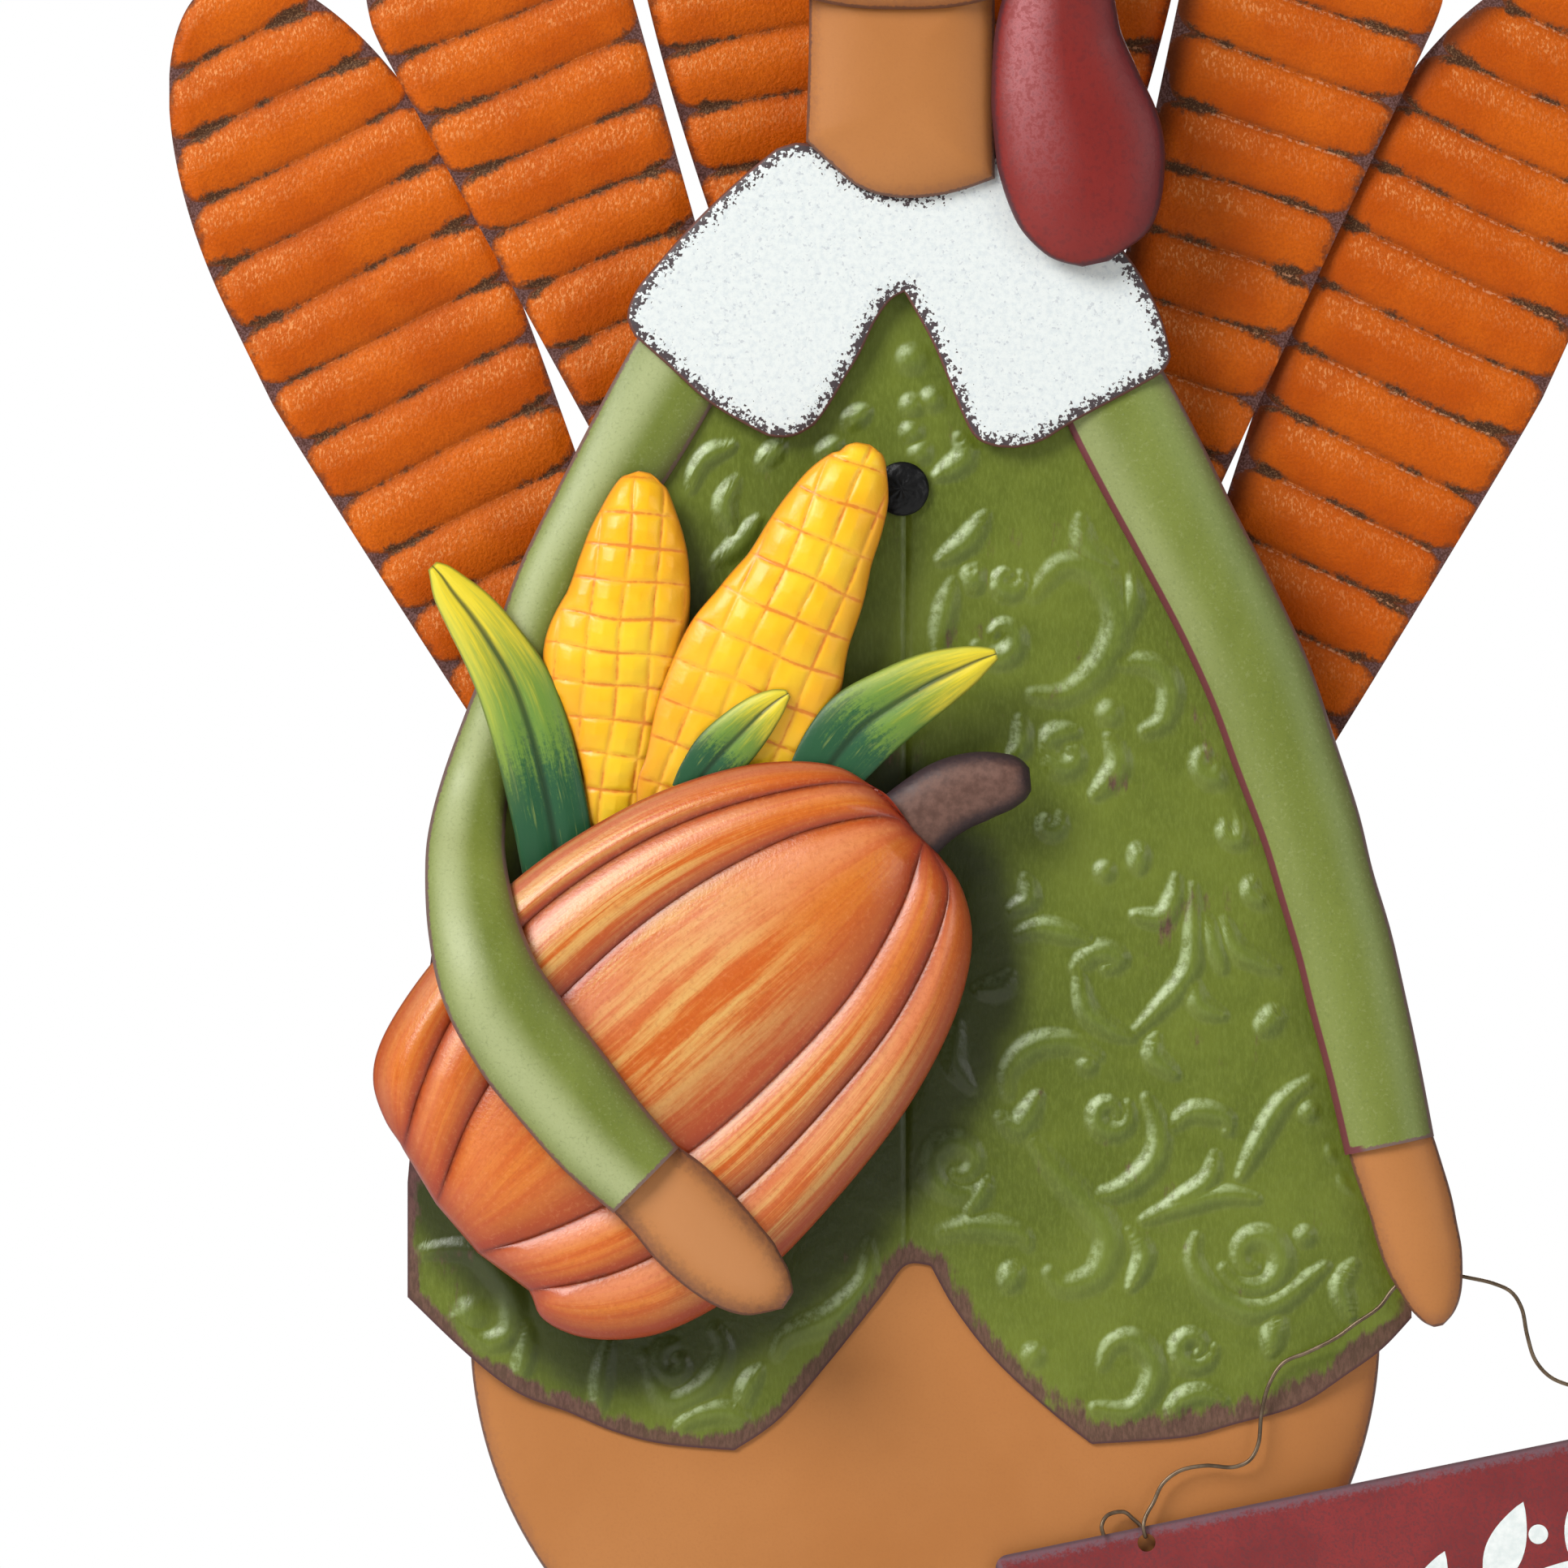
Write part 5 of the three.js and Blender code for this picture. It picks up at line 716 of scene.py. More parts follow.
def white_paint():
    p = Paint("white_paint", 0.5, specular=0.3)
    edge = p.fact("edge")
    fine = p.noise(1500, 2, 0.6)
    p.base(p.fade(p.noise(420, 4, 0.7), 0.4, 0.7), (226, 231, 229), (212, 219, 220))
    p.coat(p.fade(p.noise(560, 3, 0.6), 0.6, 0.68, 0, 0.5), (172, 178, 186))
    speck = p.worn(p.fade(edge, 10.0, 0.0), p.noise(640, 2, 0.6), 0.74, 0.82, 2.9)
    p.coat(p.times(speck, 0.95), (52, 30, 36))
    p.coat(p.worn(p.fade(edge, 1.7, 0.0), fine, 0.4, 0.6, 0.6), (104, 66, 58))
    p.bump(fine, 0.0002, 0.4)
    p.bump(p.noise(260, 3, 0.6), 0.0004, 0.3)
    return p.done()


def vest_paint():
    p = Paint("vest_paint", 0.36, specular=0.4)
    relief, wear, lit = p.fact("groove"), p.fact("wear"), p.fact("along")
    brush = p.noise(24, 5, 0.6)
    fine = p.noise(260, 4, 0.65, p.turned((3, 3, 1)))
    p.base(p.fade(brush, 0.3, 0.7), (88, 100, 24), (108, 120, 38))
    p.coat(p.fade(fine, 0.4, 0.7, 0, 0.4), (122, 136, 56))
    # Painted highlight on the crests of the scrollwork, and painted shade on its flanks that face away from the upper
    # left
    p.coat(p.fade(relief, 0.4, 1.0, 0, 0.12), (126, 150, 76))
    p.coat(p.fade(lit, -0.05, -0.6, 0, 0.45), (62, 80, 22))
    # Painted highlight on the flanks that face the upper left
    lit_flank_highlight = p.times(p.fade(lit, 0.06, 0.42), p.fade(p.noise(300, 4, 0.7), 0.34, 0.6, 0.2, 1.0))
    p.coat(p.times(lit_flank_highlight, 0.72), (190, 208, 154))
    # Painted shadow of the pumpkin on the vest
    shadow = p.worn(p.fact("across"), p.noise(34, 3, 0.6), 0.2, 0.9, 0.6)
    p.coat(p.times(shadow, 0.8), (34, 38, 12))
    streaks = p.plus(p.times(p.noise(30, 5, 0.7, p.turned((7, 7, 1.6))), 0.45),
                     p.times(p.noise(34, 5, 0.65), 0.55))
    ragged = p.worn(p.fade(wear, 1.2, 0.0), streaks, 0.3, 0.74, 3.6)
    bare = p.mix(p.fade(fine, 0.35, 0.65), (84, 44, 46), (108, 66, 64))
    p.coat(p.times(ragged, 0.85), bare)
    p.coat(p.fade(p.fact("edge"), 1.4, 0.3), (80, 48, 46))
    p.bump(p.noise(150, 3, 0.55), 0.0008, 0.35)
    p.bump(p.noise(700, 3, 0.6, p.turned((1, 1, 0.5))), 0.00022, 0.5)
    return p.done(p.fade(ragged, 0, 1, 0.34, 0.6))


def sleeve_paint():
    p = Paint("sleeve_paint", 0.44, specular=0.35)
    edge, across, crisp = p.fact("edge"), p.fact("across"), p.fact("wear")
    fine = p.noise(900, 3, 0.6)
    p.base(p.fade(p.noise(16, 4, 0.6, p.turned((2, 2, 0.6))), 0.3, 0.7), (108, 120, 44), (122, 134, 58))
    # Painted highlight: a pale band down the left part of each sleeve, weaker on the right sleeve and lower down it
    light = p.fade(p.math("ABSOLUTE", p.plus(across, p.fade(crisp, 0, 1, 0.42, 0.82))), 0.7, 0.05)
    lower = p.math("SUBTRACT", 1.0, p.fade(p.fact("along"), 0.22, 0.5, 1.0, 0.3))
    upper = p.math("SUBTRACT", 1.0, p.times(crisp, lower))
    light = p.times(light, upper, p.fade(crisp, 0, 1, 0.86, 0.42))
    p.coat(light, (172, 180, 128))
    p.coat(p.times(crisp, p.fade(across, 0.1, 0.6, 0, 0.22)), (146, 162, 112))
    p.coat(p.fade(across, 0.6, 1.0, 0, 0.6), (100, 92, 60))
    p.coat(p.fade(fine, 0.5, 0.75, 0, 0.3), (84, 98, 46))
    p.coat(p.fade(p.noise(700, 4, 0.7), 0.46, 0.34, 0, 0.12), (196, 202, 150))
    p.coat(p.worn(p.fade(edge, 3.0, 0.0), fine, 0.5, 0.75, 0.9), (116, 92, 84))
    line = p.times(p.fade(across, -0.5, -0.7), p.fade(edge, 2.6, 2.1))
    p.coat(p.times(line, crisp), (112, 56, 60))
    p.bump(fine, 0.00022, 0.45)
    return p.done()


def pumpkin_paint():
    p = Paint("pumpkin_paint", 0.32, specular=0.5)
    line, run, cross, share, edge = p.fact("groove"), p.fact("along"), p.fact("across"), p.fact("wear"), p.fact("edge")
    broad = p.noise(1.0, 4, 0.55, p.along(p.times(run, 2.2), p.times(cross, 7.0)))
    thin = p.noise(1.0, 4, 0.6, p.along(p.times(run, 14.0), p.times(cross, 60.0)))
    streak = p.plus(p.times(broad, 0.7), p.times(thin, 0.3))
    p.base(p.fade(streak, 0.36, 0.62), (204, 92, 16), (216, 122, 38))
    middle = p.times(p.fade(run, 0.2, 0.42), p.fade(run, 0.86, 0.6))
    p.coat(p.times(p.fade(streak, 0.42, 0.6), middle), (224, 172, 96))
    # Painted highlight on the upper left half of each rib
    rib_highlight = p.times(p.fade(share, 0.02, 0.14), p.fade(share, 0.52, 0.2))
    p.coat(p.times(rib_highlight, p.fade(p.noise(14, 3), 0.35, 0.65, 0.1, 0.5)), (236, 158, 120))
    # Painted shade: each rib darker red towards its lower right side
    p.coat(p.fade(share, 0.55, 0.98, 0, 0.75), (168, 62, 20))
    ends = p.math("MAXIMUM", p.fade(run, 0.12, 0.0), p.fade(run, 0.88, 1.0))
    p.coat(p.times(ends, 0.55), (172, 58, 30))
    # Darker along the rib grooves: a wide band of painted shade and a thin dark line in each groove, ragged by a noise
    groove_wobble = p.times(p.noise(160, 4, 0.7), 2.0)
    p.coat(p.fade(p.plus(line, groove_wobble), 6.0, 2.0, 0, 0.5), (162, 50, 16))
    p.coat(p.fade(p.plus(line, groove_wobble), 2.6, 1.1, 0, 0.7), (104, 42, 30))
    grain = p.noise(560, 4, 0.7)
    p.coat(p.fade(grain, 0.5, 0.66, 0, 0.22), (170, 68, 20))
    p.coat(p.fade(grain, 0.46, 0.34, 0, 0.1), (246, 182, 128))
    rim = p.math("MAXIMUM", p.fade(edge, 8.0, 0.5, 0, 0.5), p.fade(edge, 1.6, 0.4, 0, 0.75))
    p.coat(rim, (136, 46, 32))
    p.bump(p.noise(720, 3, 0.6), 0.00028, 0.5)
    return p.done()


def corn_paint():
    p = Paint("corn_paint", 0.36, specular=0.4)
    groove, edge, across = p.fact("groove"), p.fact("edge"), p.fact("across")
    p.base(p.fade(p.noise(38, 3), 0.3, 0.7), (250, 184, 14), (250, 206, 36))
    p.coat(p.fade(p.math("ABSOLUTE", across), 0.3, 1.0, 0, 0.55), (242, 160, 40))
    p.coat(p.fade(groove, 0.02, 0.5, 0, 0.4), (246, 176, 60))
    mark = p.plus(groove, p.fade(p.noise(60, 3), 0.35, 0.65, -0.3, 0.05))
    mark = p.worn(mark, p.noise(420, 4, 0.65), 0.5, 0.9, 0.8)
    p.coat(p.times(mark, 0.75), (220, 116, 30))
    p.coat(p.fade(edge, 4.0, 0.0, 0, 0.6), (236, 146, 30))
    p.coat(p.fade(edge, 0.8, 0.1, 0, 0.6), (176, 100, 36))
    p.bump(p.noise(700, 2), 0.00018, 0.4)
    return p.done()


def leaf_paint():
    p = Paint("leaf_paint", 0.42, specular=0.35)
    run, cross, edge = p.fact("along"), p.fact("across"), p.fact("edge")
    veins = p.noise(1.0, 5, 0.65, p.along(p.times(run, 5.0), p.times(cross, 9.0)))
    speck = p.noise(900, 3, 0.65)
    wander = p.plus(run, p.times(p.math("SUBTRACT", veins, 0.5), 0.6))
    p.base(p.fade(wander, 0.06, 0.5), (230, 208, 48), (108, 142, 54))
    p.coat(p.worn(p.fade(wander, 0.38, 0.82), p.noise(760, 4, 0.7), 0.2, 0.85, 0.9), (34, 86, 52))
    pale = p.times(p.fade(cross, -0.4, -0.95, 0, 0.5), p.fade(run, 0.8, 0.3))
    p.coat(pale, (198, 204, 84))
    p.coat(p.fade(veins, 0.56, 0.72, 0, 0.3), (186, 196, 92))
    p.coat(p.worn(p.fade(run, 0.95, 0.1, 0.2, 0.6), speck, 0.9, 1.1, 1.2), (40, 70, 32))
    spine = p.fade(p.math("ABSOLUTE", cross), 0.16, 0.02)
    p.coat(p.times(spine, 0.8), (26, 52, 28))
    p.coat(p.fade(edge, 1.2, 0.1, 0, 0.6), (50, 74, 38))
    p.bump(p.noise(700, 3, 0.6), 0.0002, 0.45)
    return p.done()


def plain_paint(name, dark, light, rim, roughness, metallic=0.0, scale=40, grain=0.0005, rim_width=1.6, soft=0.0):
    """A brushed or powder-coated finish with a darker rim where the piece has an edge attribute."""
    p = Paint(name, roughness, metallic, specular=0.3)
    brush = p.noise(scale, 5, 0.62)
    fine = p.noise(650, 3, 0.6)
    p.base(p.fade(brush, 0.3, 0.7), dark, light)
    if rim:
        p.coat(p.worn(p.fade(p.fact("edge"), rim_width, 0.0), fine, 0.4 - soft, 0.7 + soft, 0.6), rim)
    else:
        p.coat(p.fade(fine, 0.55, 0.75, 0, 0.35), dark)
    p.bump(p.noise(220, 3, 0.6), grain, 0.4)
    return p.done(p.fade(brush, 0.3, 0.7, roughness - 0.05, roughness + 0.08))


def snood_paint():
    p = Paint("snood_paint", 0.42, specular=0.4)
    across, edge = p.fact("across"), p.fact("edge")
    fine, grain = p.noise(650, 3, 0.6), p.noise(420, 4, 0.7)
    p.base(p.fade(p.noise(14, 4), 0.3, 0.7), (124, 26, 20), (138, 36, 30))
    # Painted highlight (sheen) down the left side of the snood, strongest near its top, and painted shade on its right
    # side
    sheen = p.times(p.fade(across, -0.95, -0.62), p.fade(across, 0.1, -0.5),
                    p.fade(p.fact("along"), 1.0, 0.3, 0.0, 0.85), p.fade(grain, 0.4, 0.58, 0.4, 1.0))
    p.coat(sheen, (212, 136, 140))
    p.coat(p.fade(across, 0.4, 1.0, 0, 0.6), (92, 34, 40))
    p.coat(p.fade(grain, 0.5, 0.62, 0, 0.36), (92, 22, 26))
    p.coat(p.worn(p.fade(edge, 4.0, 0.0), fine, 0.3, 0.9, 0.8), (78, 34, 40))
    p.bump(grain, 0.0004, 0.4)
    return p.done()


def sign_paint():
    p = Paint("sign_paint", 0.55, specular=0.35)
    centre = (PEG[0] * MM, 0, (PEG[1] - SIGN_DROP) * MM)
    shift = p.node("VectorMath", {0: p.place, 1: centre}, operation="SUBTRACT")
    split = p.node("SeparateXYZ", {0: p.turned((1, 1, 1), SIGN_TILT, shift.outputs[0])})
    from_end = p.math("SUBTRACT", SIGN_LENGTH / 2 * MM, p.math("ABSOLUTE", split.outputs["X"]))
    from_side = p.math("SUBTRACT", SIGN_HEIGHT / 2 * MM, p.math("ABSOLUTE", split.outputs["Z"]))
    rim = p.math("MINIMUM", from_end, from_side)
    cloud = p.noise(30, 5, 0.65)
    fine = p.noise(1300, 3, 0.7)
    p.base(p.fade(cloud, 0.3, 0.7), (124, 38, 40), (142, 46, 46))
    p.coat(p.fade(fine, 0.46, 0.62, 0, 0.6), (92, 46, 52))
    mask = p.worn(p.fade(rim, 0.009, 0.0), p.noise(700, 4, 0.75), 0.42, 0.95, 1.6)
    p.coat(p.times(mask, 0.62), (112, 98, 108))
    p.coat(p.fade(rim, 0.0016, 0.0004, 0, 0.8), (86, 62, 66))
    p.bump(fine, 0.00015, 0.5)
    p.bump(p.noise(160, 3, 0.6), 0.0005, 0.35)
    return p.done()


PAINTS = {
    "feather": feather_paint(),
    "tan": tan_paint(),
    "white": white_paint(),
    "vest": vest_paint(),
    "sleeve": sleeve_paint(),
    "snood": snood_paint(),
    "black": plain_paint("black_paint", (3, 3, 4), (10, 10, 12), None, 0.4, grain=0.0012),
    "eye": plain_paint("eye_paint", (8, 8, 10), (16, 14, 16), None, 0.2, grain=0.0001),
    "beak": plain_paint("beak_paint", (214, 140, 26), (236, 170, 52), (150, 84, 26), 0.42),
    "hat": plain_paint("hat_paint", (36, 30, 28), (52, 44, 40), (82, 62, 52), 0.5),
    "band": plain_paint("band_paint", (96, 50, 46), (116, 64, 56), (60, 34, 32), 0.5),
    "brass": plain_paint("brass_paint", (176, 132, 52), (214, 170, 80), None, 0.36, 0.8),
    "pumpkin": pumpkin_paint(),
    "stem": plain_paint("stem_paint", (92, 64, 54), (118, 86, 74), (54, 40, 44), 0.5, scale=260, rim_width=8.0,
                        soft=0.35),
    "corn": corn_paint(),
    "leaf": leaf_paint(),
    "sign": sign_paint(),
    "wire": plain_paint("wire_paint", (92, 76, 60), (132, 114, 94), None, 0.4, 0.8, 120, grain=0.0002),
    "steel": plain_paint("steel_paint", (48, 42, 38), (70, 60, 52), None, 0.55, 0.6, 30),
    "leg": plain_paint("leg_paint", (188, 124, 36), (212, 150, 58), None, 0.45, 0.0, 26),
    "ornament": plain_paint("ornament_paint", (224, 232, 230), (242, 246, 244), None, 0.55, 0.0, 300,
                            grain=0.0002),
}


def dress(piece, body, slot, node=None, paint=None):
    """Gives a piece the paint of its slot, or the paint named, puts it on its body and hides the CAD node it stands
    for.
    """
    piece.data.materials.clear()
    piece.data.materials.append(PAINTS[paint or slot])
    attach(piece, body)
    if node:
        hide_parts(node)
    return piece


def tube(node, slot, *shape, **more):
    dress(swept(node, *shape, **more), "stake", slot, node)


def panel(node, slot, *shape):
    dress(outlined(node, *shape), "stake", slot, node)


def turning(node, word, slot, profile, *shape, **more):
    dress(lathe(f"{node}_{word}", profile, *shape, **more), "stake", slot, node)


def quarter_round(radius, low, rise, steps):
    """Profile rows of a dome's side, from near its foot to near its top."""
    bends = np.arange(1, steps) / steps * math.pi / 2
    return [(radius * math.cos(bend), low + rise * math.sin(bend)) for bend in bends]


def keep(node, paint, bevel=0.4):
    """Shows a CAD node as it is, painted and with softened edges."""
    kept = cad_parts[node]
    kept.data.materials.clear()
    kept.data.materials.append(PAINTS[paint])
    soft = kept.modifiers.new("soft_edges", "BEVEL")
    soft.width = bevel * MM
    soft.segments = 2
    soft.limit_method = "ANGLE"
    soft.angle_limit = math.radians(35)


# Fan feathers
def feather(name, side, kind):
    root_x, lean, turn, beside, above, below, wide, tip, taper_from, root_half, bend = FEATHERS[kind]
    length = above + below
    angle = math.radians(lean * side - turn)
    row_count = round(length / (RIDGE_PITCH / 2))
    from_tip = np.linspace(length * 0.06 / row_count, length, 380)
    tip_share = np.sqrt(1 - (1 - np.minimum(from_tip / tip, 1)) ** 2)
    taper = np.maximum(from_tip - taper_from, 0) / (length - taper_from)
    half = tip_share * (wide - (wide - root_half) * taper**bend)
    along = above - from_tip
    to_middle = (root_x + abs(math.sin(angle)) * along - SEAT_GAP) / math.cos(angle)
    u = np.sign(np.linspace(-1, 1, 41)) * np.abs(np.linspace(-1, 1, 41)) ** 0.7
    inner = np.minimum(half, to_middle)
    across = np.where(u[None] * side < 0, u[None] * inner[:, None], u[None] * half[:, None])
    step = 2 * length / row_count
    wobble = 0.9 * waves(across, along[:, None], 7 + 3 * side + len(kind), 70)
    phase = (from_tip[:, None] + wobble) / step
    ridge = np.abs(np.sin(math.pi * phase)) ** 0.85
    near = np.where(u[None] * side < 0, inner[:, None], half[:, None]) - np.abs(across)
    edge = np.minimum(near, np.maximum(from_tip[:, None] * 0.9, 0))
    fade_out = np.where(u[None] * side < 0, 10 if side > 0 else 8, 7) + 0 * near
    rise = 0.62 * RIDGE_RISE * ridge * smooth(near / fade_out, -0.15, 1)
    rise = rise * np.clip(from_tip[:, None] / 3, 0, 1)
    x = FAN_CENTRE + beside + side * root_x + math.sin(angle) * along[:, None] + math.cos(angle) * across
    z = FAN_HEIGHT + math.cos(angle) * along[:, None] - math.sin(angle) * across
    node = f"{name}_{kind}_feather"
    to_left = half[:, None] * (1 + u[None])
    # wear: on the right feathers the distance from the left edge in units of 10 mm, which the paint darkens near that
    # edge as painted shade; on the left feathers 1.1 and more with the distance from the edge. Both set where the
    # painted highlight band lies and how far the rim wear spreads. glinting: where the right feathers get their
    # painted glint
    wear = to_left / 10 if side > 0 else 1.1 + near / 12
    glinting = smooth(to_left, 12, 22) if side > 0 else 0 * near
    attributes = {"edge": edge, "groove": 1 - ridge, "wear": wear, "along": phase % 1, "across": glinting}
    made = sheet_mesh(node + "_sheet", x, z, back_of(node) + rise, attributes)
    dress(made, "stake", "feather", node)


for feather_kind in FEATHERS:
    feather("left", -1, feather_kind)
    feather("right", 1, feather_kind)

# Body shell
angles = 2 * np.pi * np.arange(220) / 220
reach = np.where(np.sin(angles) < 0, BODY_BELOW, BODY_ABOVE)
body_outline = stacked(BODY_CENTRE[0] + BODY_HALF_WIDTH * np.cos(angles), BODY_CENTRE[1] + reach * np.sin(angles))
panel("body_shell", "tan", body_outline, BODY_CENTRE, 44, 50, 11.2)


# Vest, with its scrollwork
RELIEF_WIDER = 2.35
RELIEF_HEIGHT = 1.7
RELIEF_SHIFT = np.array([0.8, -0.8])


def stroke_crest(points, half, line):
    """The height from 0 to 1 that one scroll stroke raises each point to, thin and low at its ends."""
    line = np.array(line, float) + RELIEF_SHIFT
    if len(line) == 1:
        ratio = np.linalg.norm(points - line[0], axis=1) / (half * RELIEF_WIDER)
        return 0.85 * np.clip(1 - ratio**2, 0, None) ** 2
    length = np.linalg.norm(np.diff(line, axis=0), axis=1).sum()
    dense = evenly(catmull(line, 10), max(8, int(length / 2)))
    share = np.linspace(0, 1, len(dense))
    swell = np.sin(np.pi * (0.05 + 0.9 * share)) ** 0.8
    width = half * RELIEF_WIDER * (0.45 + 0.6 * swell)
    run = np.diff(dense, axis=0)
    offset = points[:, None, :] - dense[None, :-1]
    t = np.clip((offset * run[None]).sum(2) / np.maximum((run**2).sum(1), 1e-9), 0, 1)
    ratio = np.linalg.norm(offset - t[..., None] * run[None], axis=2) / (width[:-1] * (1 - t) + width[1:] * t)
    nearest = ratio.argmin(1)
    return np.clip(1 - ratio.min(1) ** 2, 0, None) ** 2 * (0.3 + 0.7 * swell[nearest])


def relief_over(points):
    """The scrollwork's height from 0 to 1."""
    crest = np.zeros(len(points))
    lines = [(half, line) for half, group in RELIEF_STROKES.items() for line in group]
    for x, z, radius, start, turn, half in RELIEF_CURLS:
        count = max(6, int(abs(turn) / 25))
        bends = np.radians(np.linspace(start, start + turn, count))
        shrink = np.linspace(1, 0.35, count) * radius
        lines.append((half, [(x + r * math.cos(a), z + r * math.sin(a)) for r, a in zip(shrink, bends)]))
    for half, line in lines:
        ends = np.array(line, float)
        low, high = ends.min(0) - 4 * half - 3, ends.max(0) + 4 * half + 3
        near = np.where(((points > low) & (points < high)).all(1))[0]
        if len(near):
            crest[near] = np.maximum(crest[near], stroke_crest(points[near], half, line))
    return crest


def sleeve_line(node):
    size, shares = STATIONS[node]
    table = np.array(shares, float)[:, :3] * [size["width"], size["height"], size["half"]]
    return evenly(catmull(table + [size["left"], size["bottom"], 0], 12), 90)


def vest():
    columns, rows = 400, 470
    top = outline_of(VEST_TOP, VEST, 60)
    bottom = outline_of(VEST_BOTTOM, VEST, 60)
    last = [[VEST["left"] + VEST["width"], VEST["bottom"] + 0.105 * VEST["height"]]]
    top, bottom = np.vstack([top, last]), np.vstack([bottom, last])
    x_line = VEST["left"] + VEST["width"] * np.linspace(0, 0.9985, columns)

    def height_at(line):
        order = np.maximum.accumulate(line[:, 0] + np.arange(len(line)) * 1e-6)
        return np.interp(x_line, order, line[:, 1])

    high, low = height_at(top), height_at(bottom)
    high[0] = VEST["bottom"] + 0.21 * VEST["height"]
    share = np.linspace(0, 1, rows)[:, None]
    x = np.repeat(x_line[None], rows, axis=0)
    z = low[None] + (high - low)[None] * share
    flat = stacked(x, z)
    outline = np.vstack([bottom, top[::-1]])
    edge = distance_to(flat, outline, True).reshape(x.shape)
    relief = relief_over(flat).reshape(x.shape)
    for node in ("left_sleeve", "right_sleeve"):
        gap = np.full(len(flat), 99.0)
        for centre_x, centre_z, half in sleeve_line(node):
            gap = np.minimum(gap, np.hypot(flat[:, 0] - centre_x, flat[:, 1] - centre_z) - half)
        relief *= smooth(gap, 1.5, 7).reshape(x.shape)
    relief *= smooth(edge, 2, 8)
    middle = VEST["left"] + VEST["width"] / 2
    beside = np.maximum(np.abs(x - middle) - VEST_FLAT_HALF, 0)
    drop = -VEST_SIDE_DROP * (beside / (VEST["width"] / 2 - VEST_FLAT_HALF)) ** 2
    seam_run = smooth(z, 272, 284) * (1 - smooth(z, 548, 556))
    seam = np.exp(-((x - 0.9) / 1.1) ** 2) * seam_run
    fold = smooth(x, 0.9, 9) * (1 - smooth(x, 9, 22)) * seam_run
    pressed = 0.25 * waves(x, z, 3, 55)
    depth = front_of("vest") - SHEET + drop + RELIEF_HEIGHT * relief - 1.0 * seam + 0.5 * fold
    depth += pressed * smooth(edge, 2, 20)
    right_hem = smooth(x, 20, 90) * (1 - smooth(z, 236, 262))
    left_hem = (1 - smooth(x, -60, -20)) * (1 - smooth(z, 230, 250))
    notch = smooth(x, -45, -10) * (1 - smooth(x, 45, 75)) * (1 - smooth(z, 290, 320))
    width = 6.0 + 8.5 * right_hem + 3.5 * left_hem + 5.0 * notch
    # The relief's slope towards the upper left, for the painted highlight and painted shade on its flanks
    up = np.gradient(relief, axis=0) / np.gradient(z, axis=0)
    right = (np.gradient(relief, axis=1) - up * np.gradient(z, axis=1)) / np.gradient(x, axis=1)
    lit = RELIEF_HEIGHT * (right - up) / math.sqrt(2)
    # A painted shadow round the pumpkin, fading out 36 mm from its outline
    pumpkin = np.array(PUMPKIN_LINES[0] + PUMPKIN_LINES[-1][::-1]) * [PUMPKIN["width"], PUMPKIN["height"]]
    pumpkin += [PUMPKIN["left"] + 5, PUMPKIN["bottom"] - 6]
    shade = 1 - smooth(distance_to(flat, pumpkin, True), 0, 36).reshape(x.shape)
    attributes = {"edge": edge, "groove": relief, "wear": edge / width, "along": lit, "across": shade}
    return sheet_mesh("vest_sheet", x, z, depth, attributes)


dress(vest(), "stake", "vest", "vest")


# Button, hammered on top
def hammered(radius, turn):
    return 0.18 * np.sin(9 * turn + radius) * np.sin(1.1 * radius + 1.3) * (radius < 9.5)


BUTTON_RADIUS = 10
BUTTON_CENTRE = (-0.6, 560)
low = back_of("vest_button")
half_rise = (front_of("vest_button") - low - 0.2) / 2
button = [(0, low), (BUTTON_RADIUS - 0.4, low), (BUTTON_RADIUS, low + 0.4), (BUTTON_RADIUS, low + half_rise)]
button += [*quarter_round(BUTTON_RADIUS, low + half_rise, half_rise, 14), (0, low + 2 * half_rise)]
turning("vest_button", "dome", "black", button, BUTTON_CENTRE, sides=64, dress=hammered)

# Sleeves and hands
for node, bulge, rows, crisp in (("left_sleeve", 1.2, 220, 0), ("right_sleeve", 1, 180, 1)):
    lift = front_of(node) - back_of(node) - bulge * STATIONS[node][0]["rise"] - SHEET
    tube(node, "sleeve", lift, rows, 32, wear=crisp)
# On the hands, wear sets the strength of the pale middle and the painted edge shade
tube("left_hand", "tan", rows=80, columns=28, wear=1)
tube("right_hand", "tan", rows=80, columns=28, wear=0.1)


# Corn cobs, their kernels pressed up between grooves
def kernels(row_pitch, column_pitch, lean, seed):
    lean = math.radians(lean)

    def pressed(depth, u, x, z):
        run = x * math.sin(lean) + z * math.cos(lean) + 0.9 * waves(x, z, seed, 45)
        cross = x * math.cos(lean) - z * math.sin(lean) + 0.9 * waves(x, z, seed + 1, 50)
        to_row = np.abs((run / row_pitch + 0.5) % 1 - 0.5) * row_pitch
        to_column = np.abs((cross / column_pitch + 0.5) % 1 - 0.5) * column_pitch
        row_mark = np.exp(-((to_row / 1.0) ** 2))
        column_mark = 0.85 * np.exp(-((to_column / 1.0) ** 2))
        groove = np.maximum(row_mark, column_mark)
        crown = np.minimum(to_row / (row_pitch / 2), 1) * np.minimum(to_column / (column_pitch / 2), 1)
        fade = smooth(1 - np.abs(u), 0.0, 0.25)
        lowered = depth - (0.5 * groove - 1.0 * crown**0.75 + 0.55) * fade
        lowered[:, 0], lowered[:, -1] = depth[:, 0], depth[:, -1]
        lowered[0], lowered[-1] = depth[0], depth[-1]
        return lowered, groove

    return pressed


tube("left_corn_cob", "corn", rows=260, columns=110, dress=kernels(12.8, 11.2, 6, 21))
tube("right_corn_cob", "corn", rows=280, columns=120, dress=kernels(15.2, 11.8, 23, 31))

